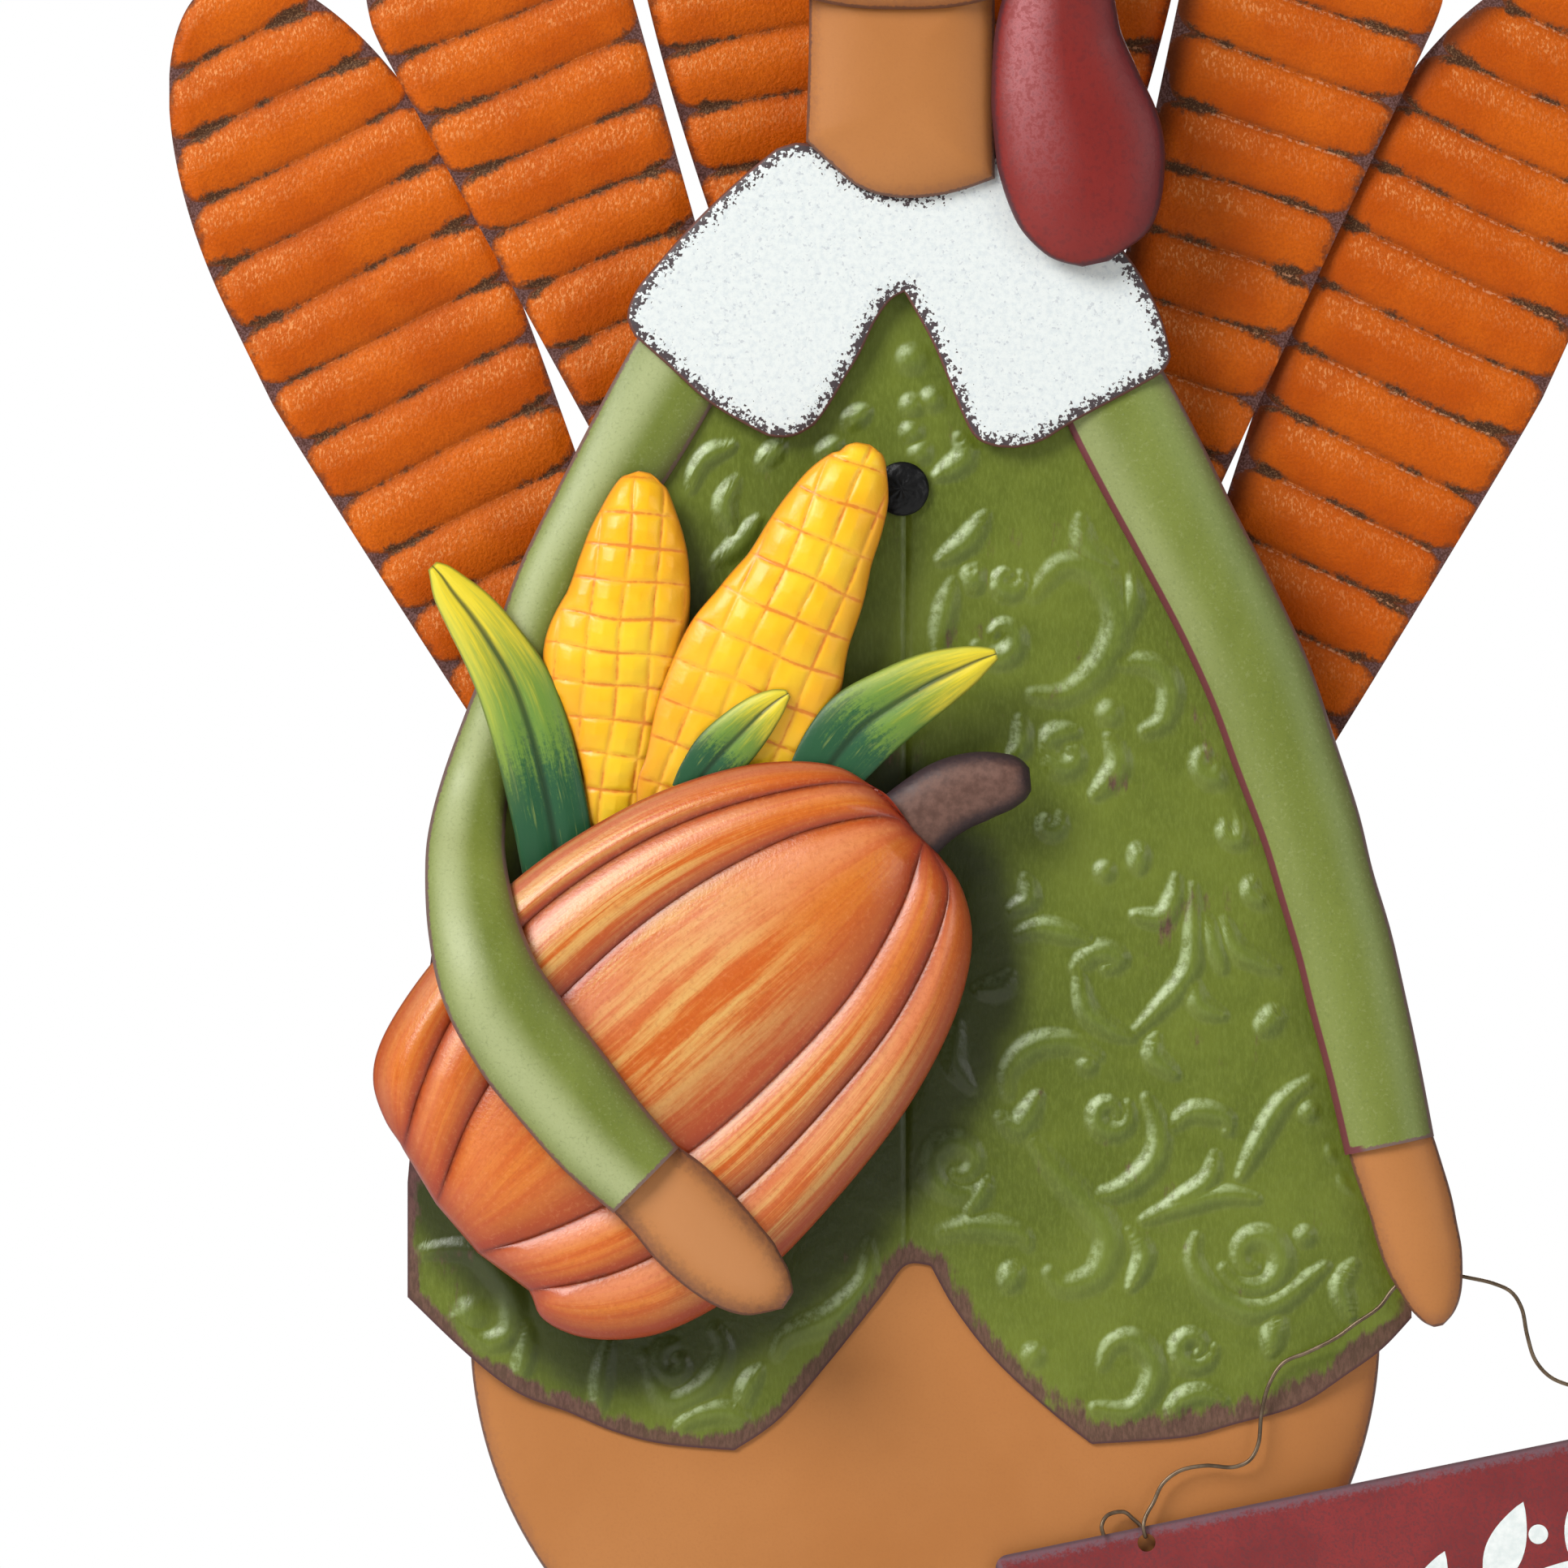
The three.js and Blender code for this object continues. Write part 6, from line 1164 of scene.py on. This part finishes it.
# Leaves and stem
for node, lift in (("left_leaf", 0), ("right_leaf", 0), ("small_leaf", 4)):
    tube(node, "leaf", lift, 120, 40, leaf_profile)
tube("pumpkin_stem", "stem", rows=90, columns=30)


# Pumpkin
def pumpkin():
    steps, per_rib = 150, 26
    lines = []
    for line in PUMPKIN_LINES:
        scaled = np.array(line) * [PUMPKIN["width"], PUMPKIN["height"]] + [PUMPKIN["left"], PUMPKIN["bottom"]]
        lines.append(evenly(catmull(scaled, 20, True), steps))
    x, z, share, rib_number = [], [], [], []
    for rib in range(len(lines) - 1):
        count = per_rib + (1 if rib == len(lines) - 2 else 0)
        for k in range(count):
            t = (1 - math.cos(math.pi * k / per_rib)) / 2
            point = lines[rib] * (1 - t) + lines[rib + 1] * t
            x.append(point[:, 0])
            z.append(point[:, 1])
            share.append(np.full(steps + 1, t))
            rib_number.append(np.full(steps + 1, rib + t))
    x, z, share = np.array(x).T, np.array(z).T, np.array(share).T
    rib_number = np.array(rib_number).T
    sides = [(x[0], z[0]), (x[:, -1], z[:, -1]), (x[-1][::-1], z[-1][::-1]), (x[::-1, 0], z[::-1, 0])]
    outline = np.vstack([stacked(*side) for side in sides])
    flat = stacked(x, z)
    inside = distance_to(flat, outline, True).reshape(x.shape)
    to_line = np.full(len(flat), 99.0)
    for line in lines[1:-1]:
        to_line = np.minimum(to_line, distance_to(flat, line))
    to_line = to_line.reshape(x.shape)
    widths = [np.linalg.norm(b - a, axis=1) for a, b in zip(lines, lines[1:])]
    wide = np.array(widths)[np.minimum(rib_number.astype(int), len(widths) - 1), np.arange(steps + 1)[:, None]]
    ribbed = np.minimum(1.4 + 0.085 * wide, 5.2) * np.sin(math.pi * share) ** 0.72
    ribbed *= np.minimum(inside / (PUMPKIN["height"] / 20), 1)
    depth = back_of("pumpkin") + rolled(inside, PUMPKIN["height"] / 4, 12) + ribbed
    run = np.repeat((np.arange(steps + 1) / steps)[:, None], x.shape[1], axis=1)
    # wear carries each point's share across its rib, from its upper left line; the paint lays the painted highlight
    # and painted shade by it
    attributes = {"edge": inside, "groove": to_line, "along": run, "across": rib_number, "wear": share}
    return sheet_mesh("pumpkin_sheet", x, z, depth, attributes)


dress(pumpkin(), "stake", "pumpkin", "pumpkin")

# Collar, neck, head, beak and snood
collar_pole = (COLLAR["left"] + 0.505 * COLLAR["width"], COLLAR["bottom"] + 0.66 * COLLAR["height"])
panel("collar", "white", outline_of(COLLAR_STROKES, COLLAR), collar_pole, 40, 6, 1.7)
neck_pole = (NECK["left"] + NECK["width"] / 2, NECK["bottom"] + NECK["height"] / 2)
panel("neck", "tan", outline_of(NECK_STROKES, NECK), neck_pole, 30, 30, 10)
cosine, sine = np.cos(angles), np.sin(angles)
squared = 2 / 2.6
head_x, head_z = centre_of("head")
head_outline = stacked(
    head_x + HEAD_HALF_WIDTH * np.sign(cosine) * np.abs(cosine) ** squared,
    head_z + HEAD_HALF_HEIGHT * np.sign(sine) * np.abs(sine) ** squared)
panel("head", "tan", head_outline, (head_x, head_z), 34, 38, 13)
BEAK_WIDTH, BEAK_HEIGHT = 22, 25
beak_line = np.array(BEAK_POINTS) * [BEAK_WIDTH, BEAK_HEIGHT] + [head_x - BEAK_WIDTH / 2, head_z - 14.5]
beak_points = evenly(catmull(beak_line, 12), 110)[:-1]
panel("beak", "beak", beak_points, (head_x, head_z + 0.5), 20, 11, 12)
tube("snood", "snood", 22, 160, 36)
EYE_RADIUS, EYE_RISE = 5.5, 3.4
for node in ("left_eye", "right_eye"):
    low = back_of(node)
    dome = [(0, low), (EYE_RADIUS - 0.1, low), (EYE_RADIUS, low + 0.2)]
    dome += [*quarter_round(EYE_RADIUS, low + 0.2, EYE_RISE, 12), (0, low + 0.2 + EYE_RISE)]
    turning(node, "dome", "eye", dome, centre_of(node))

# Hat
CROWN_WIDTH, CROWN_HEIGHT, CROWN_TOP = 84, 82, 62
BAND_HEIGHT = 15
crown_bottom = head_z + 34
crown_size = dict(left=head_x - CROWN_WIDTH / 2, bottom=crown_bottom, width=CROWN_WIDTH, height=CROWN_HEIGHT)
top_half = CROWN_TOP / CROWN_WIDTH / 2
crown_strokes = [
    [(0, 0), (0.5, -0.02), (1, 0)], [(1, 0), (0.5 + top_half, 0.95)],
    [(0.5 + top_half, 0.95), (0.5, 1), (0.5 - top_half, 0.95)], [(0.5 - top_half, 0.95), (0, 0)],
]
crown_outline = outline_of(crown_strokes, crown_size, 30)
panel("hat_crown", "hat", crown_outline, (head_x, crown_bottom + CROWN_HEIGHT / 2), 30, 22, 7)


def hat_strip(node, width, height, sag, rise, bottom, paint):
    """A band across the hat, with rounded ends that sag or rise from its middle."""
    t = np.linspace(-1, 1, 121)
    half = height / 2 * (1 - 0.7 * (np.maximum(np.abs(t) - 0.8, 0) / 0.2) ** 2)
    shares = stacked(t * width / 2, height / 2 + sag * t * t, half, 0 * t, 1 + 0 * t)
    STATIONS[node] = dict(left=head_x, bottom=bottom, width=1, height=1, half=1, rise=rise), shares
    tube(node, paint, rows=120, columns=16)


band_width = CROWN_TOP + (CROWN_WIDTH - CROWN_TOP) * (1 - BAND_HEIGHT / CROWN_HEIGHT / 2) + 3
hat_strip("hat_band", band_width, BAND_HEIGHT, 0, SHEET, crown_bottom + 6.5, "band")
hat_strip("hat_brim", 146, 13, 5, 3, crown_bottom - 4, "hat")
keep("hat_buckle", "brass", 0.3)


# Stake rods, legs and fasteners
LEG_RADIUS, LEG_PINCH, LEG_BORE = 8, 1.4, 5.35
RING_HEIGHT, RING_COUNT = 14, 6

for side_name, side in (("left", -1), ("right", 1)):
    at_x = side * ROD_X
    rod = [(0, -180), (0.5, -179.5), (4.75, -155), (4.75, -60), (4.75, 200), (4.75, 551.2), (4.2, 552), (0, 552)]
    turning(f"{side_name}_stake_rod", "bar", "steel", rod, (at_x, 0), True, 32)
    node = f"{side_name}_leg"
    low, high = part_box(node)[0].z / MM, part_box(node)[1].z / MM
    rings = []
    for level in np.linspace(0, high - low, 160):
        ring = 0.5 - 0.5 * math.cos(2 * math.pi * level / RING_HEIGHT)
        ringed = RING_HEIGHT / 2 < level < (RING_COUNT + 0.5) * RING_HEIGHT
        rings.append((LEG_RADIUS - LEG_PINCH * (ring if ringed else 1.0), low + level))
    turning(node, "tube", "leg", [(LEG_BORE, low), *rings, (LEG_BORE, high)], (at_x, 0), True, 40, True)
    node = f"{side_name}_fan_bolt"
    back, front = back_of(node), front_of(node)
    bolt = [(0, back), (2.1, back), (2.5, back + 0.4), (2.5, front - 3), (4.4, front - 3), (4.5, front - 2.8)]
    bolt += [(4.5, front - 1.2), (3.6, front - 0.4), (2.0, front), (0, front)]
    turning(node, "turned", "steel", bolt, (at_x, FAN_HEIGHT))
    for kind in ("outer", "inner"):
        node = f"{side_name}_{kind}_feather_rivet"
        back, front = back_of(node), front_of(node)
        rivet = [(0, back), (3, back + 0.3), (4.4, back + 1.2), (4.5, back + 2), (2, back + 2), (2, front - 2)]
        rivet += [(4.5, front - 2), (4.4, front - 1.2), (3, front - 0.3), (0, front)]
        turning(node, "turned", "steel", rivet, centre_of(node))
    keep(f"{side_name}_fan_nut", "steel", 0.3)
    keep(f"{side_name}_body_lug", "steel")
    keep(f"{side_name}_foot", "leg", 0.8)
for node in ("upper_pumpkin_stud", "lower_pumpkin_stud", "right_cob_stud"):
    back, front = back_of(node), front_of(node)
    stud = [(0, back), (3.2, back), (3.5, back + 0.3), (3.5, front - 0.3), (3.2, front), (0, front)]
    turning(node, "turned", "steel", stud, centre_of(node))
back, front = back_of("hanger_peg"), front_of("hanger_peg")
peg = [(0, back), (2.6, back), (3, back + 0.3), (3, back + 1), (1.5, back + 1), (1.5, front), (0, front)]
turning("hanger_peg", "turned", "steel", peg, PEG)
keep("fan_bar", "steel", 0.5)
keep("foot_press_bar", "steel", 0.6)
keep("back_strap", "steel", 0.5)

# The sign, cut from sheet with its holes, and leaf sprigs painted on it
board_depth = (back_of("sign_board") + front_of("sign_board")) / 2
board_turn = Matrix((
    (math.cos(SIGN_TILT), -math.sin(SIGN_TILT), 0, PEG[0] * MM),
    (0, 0, -1, -board_depth * MM),
    (math.sin(SIGN_TILT), math.cos(SIGN_TILT), 0, (PEG[1] - SIGN_DROP) * MM),
    (0, 0, 0, 1),
))


def flat_piece(name, loops, thickness, forward=0.0, bevel=0.0):
    """A flat plate in the sign's own plane from closed loops of across and up; inner loops are holes."""
    curve = bpy.data.curves.new(name, "CURVE")
    curve.dimensions = "2D"
    curve.fill_mode = "BOTH"
    curve.extrude = (thickness / 2 - bevel) * MM
    curve.bevel_depth = bevel * MM
    curve.offset = -bevel * MM
    for loop in loops:
        spline = curve.splines.new("POLY")
        spline.points.add(len(loop) - 1)
        for point, (across, up) in zip(spline.points, loop):
            point.co = (across * MM, up * MM, 0, 1)
        spline.use_cyclic_u = True
    holder = shown(name + "_curve", curve)
    data = bpy.data.meshes.new_from_object(holder)
    data.transform(board_turn @ Matrix.Translation((0, 0, forward * MM)))
    bpy.data.objects.remove(holder)
    welded = bmesh.new()
    welded.from_mesh(data)
    bmesh.ops.remove_doubles(welded, verts=welded.verts, dist=1e-6)
    bmesh.ops.recalc_face_normals(welded, faces=welded.faces)
    welded.to_mesh(data)
    welded.free()
    data.materials.clear()
    return shown(name, data)


def circle(across, up, radius, count=32):
    turns = np.linspace(0, 2 * math.pi, count, False)
    return [(across + radius * math.cos(a), up + radius * math.sin(a)) for a in turns]


SIGN_CORNER = 5
SIGN_THICKNESS = 1.0
corner_across, corner_up = SIGN_LENGTH / 2 - SIGN_CORNER, SIGN_HEIGHT / 2 - SIGN_CORNER
board_loop = []
for way_across, way_up, start in ((1, 1, 0), (-1, 1, 90), (-1, -1, 180), (1, -1, 270)):
    for bend in np.radians(start + np.linspace(0, 90, 9)):
        across = way_across * corner_across + SIGN_CORNER * math.cos(bend)
        board_loop.append((across, way_up * corner_up + SIGN_CORNER * math.sin(bend)))
hole_up = SIGN_HEIGHT / 2 - HOLE_INSET
holes = [circle(side * HOLE_SPACING / 2, hole_up, HOLE_DIAMETER / 2)[::-1] for side in (-1, 1)]
dress(flat_piece("sign_plate", [board_loop, *holes], SIGN_THICKNESS, bevel=0.12), "sign", "sign", "sign_board")


def leaf_loop(root, tip, half):
    """A pointed leaf between its root and its tip."""
    root, tip = np.array(root, float), np.array(tip, float)
    run = tip - root
    cross = np.array([-run[1], run[0]]) / np.linalg.norm(run)
    t = np.linspace(0, 1, 15)
    width = half * np.sin(np.pi * t) ** 0.8 * (1.15 - 0.4 * t)
    spine = root + run * t[:, None]
    return [*(spine + cross * width[:, None]), *(spine - cross * width[:, None])[::-1][1:-1]]


# One painted sprig along a wave: its stem, then leaves and berries on both sides by turns
SPRIG_REACH, SPRIG_WAVE, SPRIG_SWING = 118, 38, 15
SPRIG_TOP = 48
PAINT_THICKNESS = 0.16
PAINT_FORWARD = SIGN_THICKNESS / 2 + 0.06


def sprig_up(across):
    return SPRIG_SWING * np.sin(across / SPRIG_WAVE) - 2


def ornament(name, loop):
    return flat_piece(name, [loop], PAINT_THICKNESS, PAINT_FORWARD)


stem_at = np.linspace(-SPRIG_REACH, SPRIG_REACH, 90)
stem_up = sprig_up(stem_at)
stem_slope = np.gradient(stem_up, stem_at)
normal = stacked(-stem_slope, np.ones_like(stem_slope)) / np.sqrt(1 + stem_slope**2)[:, None]
stem_points = stacked(stem_at, stem_up)
stem_half = 1.5 * np.sin(np.pi * np.linspace(0.06, 0.94, 90))[:, None] ** 0.5
stem_loop = np.vstack([stem_points + normal * stem_half, (stem_points - normal * stem_half)[::-1]])
ornaments = [ornament("sprig_stem", stem_loop.tolist())]
for number, where in enumerate(np.linspace(-104, 104, 14)):
    up = sprig_up(where)
    side = 1 if number % 2 == 0 else -1
    tip = (where + 19, np.clip(up + side * 32, -SPRIG_TOP, SPRIG_TOP))
    berry_up = np.clip(up - side * 15, -SPRIG_TOP, SPRIG_TOP)
    ornaments.append(ornament(f"sprig_leaf_{number}", leaf_loop((where, up + side * 2.2), tip, 7.4)))
    ornaments.append(ornament(f"sprig_berry_{number}", circle(where + 6, berry_up, 3.6)))
merged = bmesh.new()
for piece in ornaments:
    merged.from_mesh(piece.data)
    bpy.data.objects.remove(piece)
sprig_data = bpy.data.meshes.new("sign_sprig")
merged.to_mesh(sprig_data)
merged.free()
dress(shown("sign_sprig", sprig_data), "sign", "white", paint="ornament")


# The hanger wire
def on_sign(across, up, forward):
    c, s = math.cos(SIGN_TILT), math.sin(SIGN_TILT)
    return (PEG[0] + across * c - up * s, -board_depth - forward, PEG[1] - SIGN_DROP + across * s + up * c)


WIRE_RADIUS = 0.75
FRONT_LOOP, BACK_LOOP, OVER_TOP = 2.3, 3.2, 3.4
pass_up = hole_up + HOLE_DIAMETER / 2 - 0.4 - WIRE_RADIUS


def wire_side(side, route_shares):
    hole_x = side * HOLE_SPACING / 2
    hole = on_sign(hole_x, pass_up, 0)
    route = []
    for out, down in route_shares:
        route.append((PEG[0] + (hole[0] - PEG[0]) * out, -board_depth, PEG[1] + (hole[2] - PEG[1]) * down))
    edge = SIGN_HEIGHT / 2
    return route + [
        on_sign(hole_x + 1.5, edge + OVER_TOP, FRONT_LOOP / 2),
        on_sign(hole_x, edge, FRONT_LOOP),
        on_sign(hole_x, pass_up + WIRE_RADIUS / 2, FRONT_LOOP - WIRE_RADIUS),
        on_sign(hole_x, pass_up, 0),
        on_sign(hole_x, pass_up + WIRE_RADIUS / 2, WIRE_RADIUS - BACK_LOOP),
        on_sign(hole_x - WIRE_RADIUS, edge, -BACK_LOOP),
        on_sign(hole_x - 3, edge + OVER_TOP, WIRE_RADIUS - BACK_LOOP),
        on_sign(hole_x - 6, edge + 2 * OVER_TOP, 0),
        on_sign(hole_x - 12, edge + 2 * OVER_TOP, WIRE_RADIUS),
        on_sign(hole_x - 15, edge + OVER_TOP, FRONT_LOOP),
        on_sign(hole_x - 15, edge, FRONT_LOOP),
    ]


over_peg = 1.5 + SEAT_GAP + WIRE_RADIUS
arc = []
for turn in (-math.pi / 3, 0, math.pi / 3):
    arc.append((PEG[0] + over_peg * math.sin(turn), -board_depth, PEG[1] + over_peg * math.cos(turn)))
wire_points = wire_side(-1, LEFT_WIRE_ROUTE)[::-1] + arc + wire_side(1, RIGHT_WIRE_ROUTE)
centres = catmull(wire_points, 10, True)
heading = np.gradient(centres, axis=0)
heading /= np.linalg.norm(heading, axis=1)[:, None]
sideways = np.array([0.0, 1.0, 0.0])
wire_rings = []
WIRE_SIDES = 14
for centre, ahead in zip(centres, heading):
    sideways = sideways - ahead * sideways.dot(ahead)
    sideways /= np.linalg.norm(sideways)
    other = np.cross(ahead, sideways)
    turns = 2 * np.pi * np.arange(WIRE_SIDES) / WIRE_SIDES
    wire_rings.append(centre + WIRE_RADIUS * (np.cos(turns)[:, None] * sideways + np.sin(turns)[:, None] * other))
wire_mesh_points = np.vstack([np.vstack(wire_rings), centres[0], centres[-1]])
ring_index = np.arange(len(centres) * WIRE_SIDES).reshape(len(centres), WIRE_SIDES)
after = np.roll(ring_index, -1, axis=1)
wire_quads = stacked(ring_index[:-1], after[:-1], after[1:], ring_index[1:])
tips = np.full(WIRE_SIDES, len(wire_mesh_points) - 2)
wire_caps = np.vstack([stacked(tips, after[0], ring_index[0]), stacked(tips + 1, ring_index[-1], after[-1])])
wire_tube = solid_mesh("hanger_wire_tube", wire_mesh_points, [wire_quads, wire_caps], None, 60)
dress(wire_tube, "hanger", "wire", "hanger_wire")


# Floor, lamps and camera
FLOOR_LEVEL = -0.182
FLOOR_HALF = 7
PALE_FROM, PALE_AT = 0.9, 2.6


def stage_paint():
    """Plain and pale, and far from the object as white as the backdrop to the camera."""
    p = Paint("floor_paint", 0.9)
    p.shader.inputs["Base Color"].default_value = (0.86, 0.86, 0.85, 1)
    away = p.node("VectorMath", {0: p.place}, operation="LENGTH").outputs["Value"]
    seen = p.times(p.fade(away, PALE_FROM, PALE_AT), p.node("LightPath").outputs["Is Camera Ray"])
    white = p.node("Emission", {"Color": (1, 1, 1, 1)}).outputs[0]
    both = p.node("MixShader", {0: seen, 1: p.shader.outputs[0], 2: white})
    p.put(both.outputs[0], p.output.inputs["Surface"])
    return p.material


floor_data = bpy.data.meshes.new("floor")
corners = [(x * FLOOR_HALF, y * FLOOR_HALF, 0) for x, y in ((-1, -1), (1, -1), (1, 1), (-1, 1))]
floor_data.from_pydata(corners, [], [(0, 1, 2, 3)])
floor_data.materials.append(stage_paint())
floor = shown("floor", floor_data)
floor.location.z = FLOOR_LEVEL
floor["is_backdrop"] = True


def lamp(name, place, watts, width):
    data = bpy.data.lights.new(name, "AREA")
    data.energy = watts
    data.shape = "DISK"
    data.size = width
    made = shown(name, data)
    made.location = place
    made.rotation_euler = (Vector((0, 0, 0.45)) - Vector(place)).to_track_quat("-Z", "Y").to_euler()


lamp("key", (-2.3, -2.5, 2.7), 160, 2.2)
lamp("fill", (2.4, -2.6, 1.2), 18, 1.6)
lamp("back", (0.9, 3.0, 2.0), 80, 2.2)

# The backdrop is white to the camera and lights the object less
WORLD_LIGHT = 0.21
scene = bpy.context.scene
scene.world = bpy.data.worlds.new("studio")
scene.world.use_nodes = True
tree = scene.world.node_tree
backdrop = tree.nodes["Background"]
backdrop.inputs["Color"].default_value = (1, 1, 1, 1)
strength = tree.nodes.new("ShaderNodeMapRange")
strength.inputs["To Min"].default_value = WORLD_LIGHT
tree.links.new(tree.nodes.new("ShaderNodeLightPath").outputs["Is Camera Ray"], strength.inputs["Value"])
tree.links.new(strength.outputs["Result"], backdrop.inputs["Strength"])

CAMERA_DISTANCE = 7.0
FRAME_WIDTH = 0.5796
FRAME_MIDDLE = (-0.0441, 0.4512)
camera_data = bpy.data.cameras.new("camera")
camera_data.sensor_width = 36
camera_data.lens = camera_data.sensor_width * CAMERA_DISTANCE / FRAME_WIDTH
camera = shown("camera", camera_data)
camera.location = (FRAME_MIDDLE[0], -CAMERA_DISTANCE, FRAME_MIDDLE[1])
camera.rotation_euler = (math.pi / 2, 0, 0)
scene.camera = camera
scene.view_settings.view_transform = "Standard"

low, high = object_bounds()
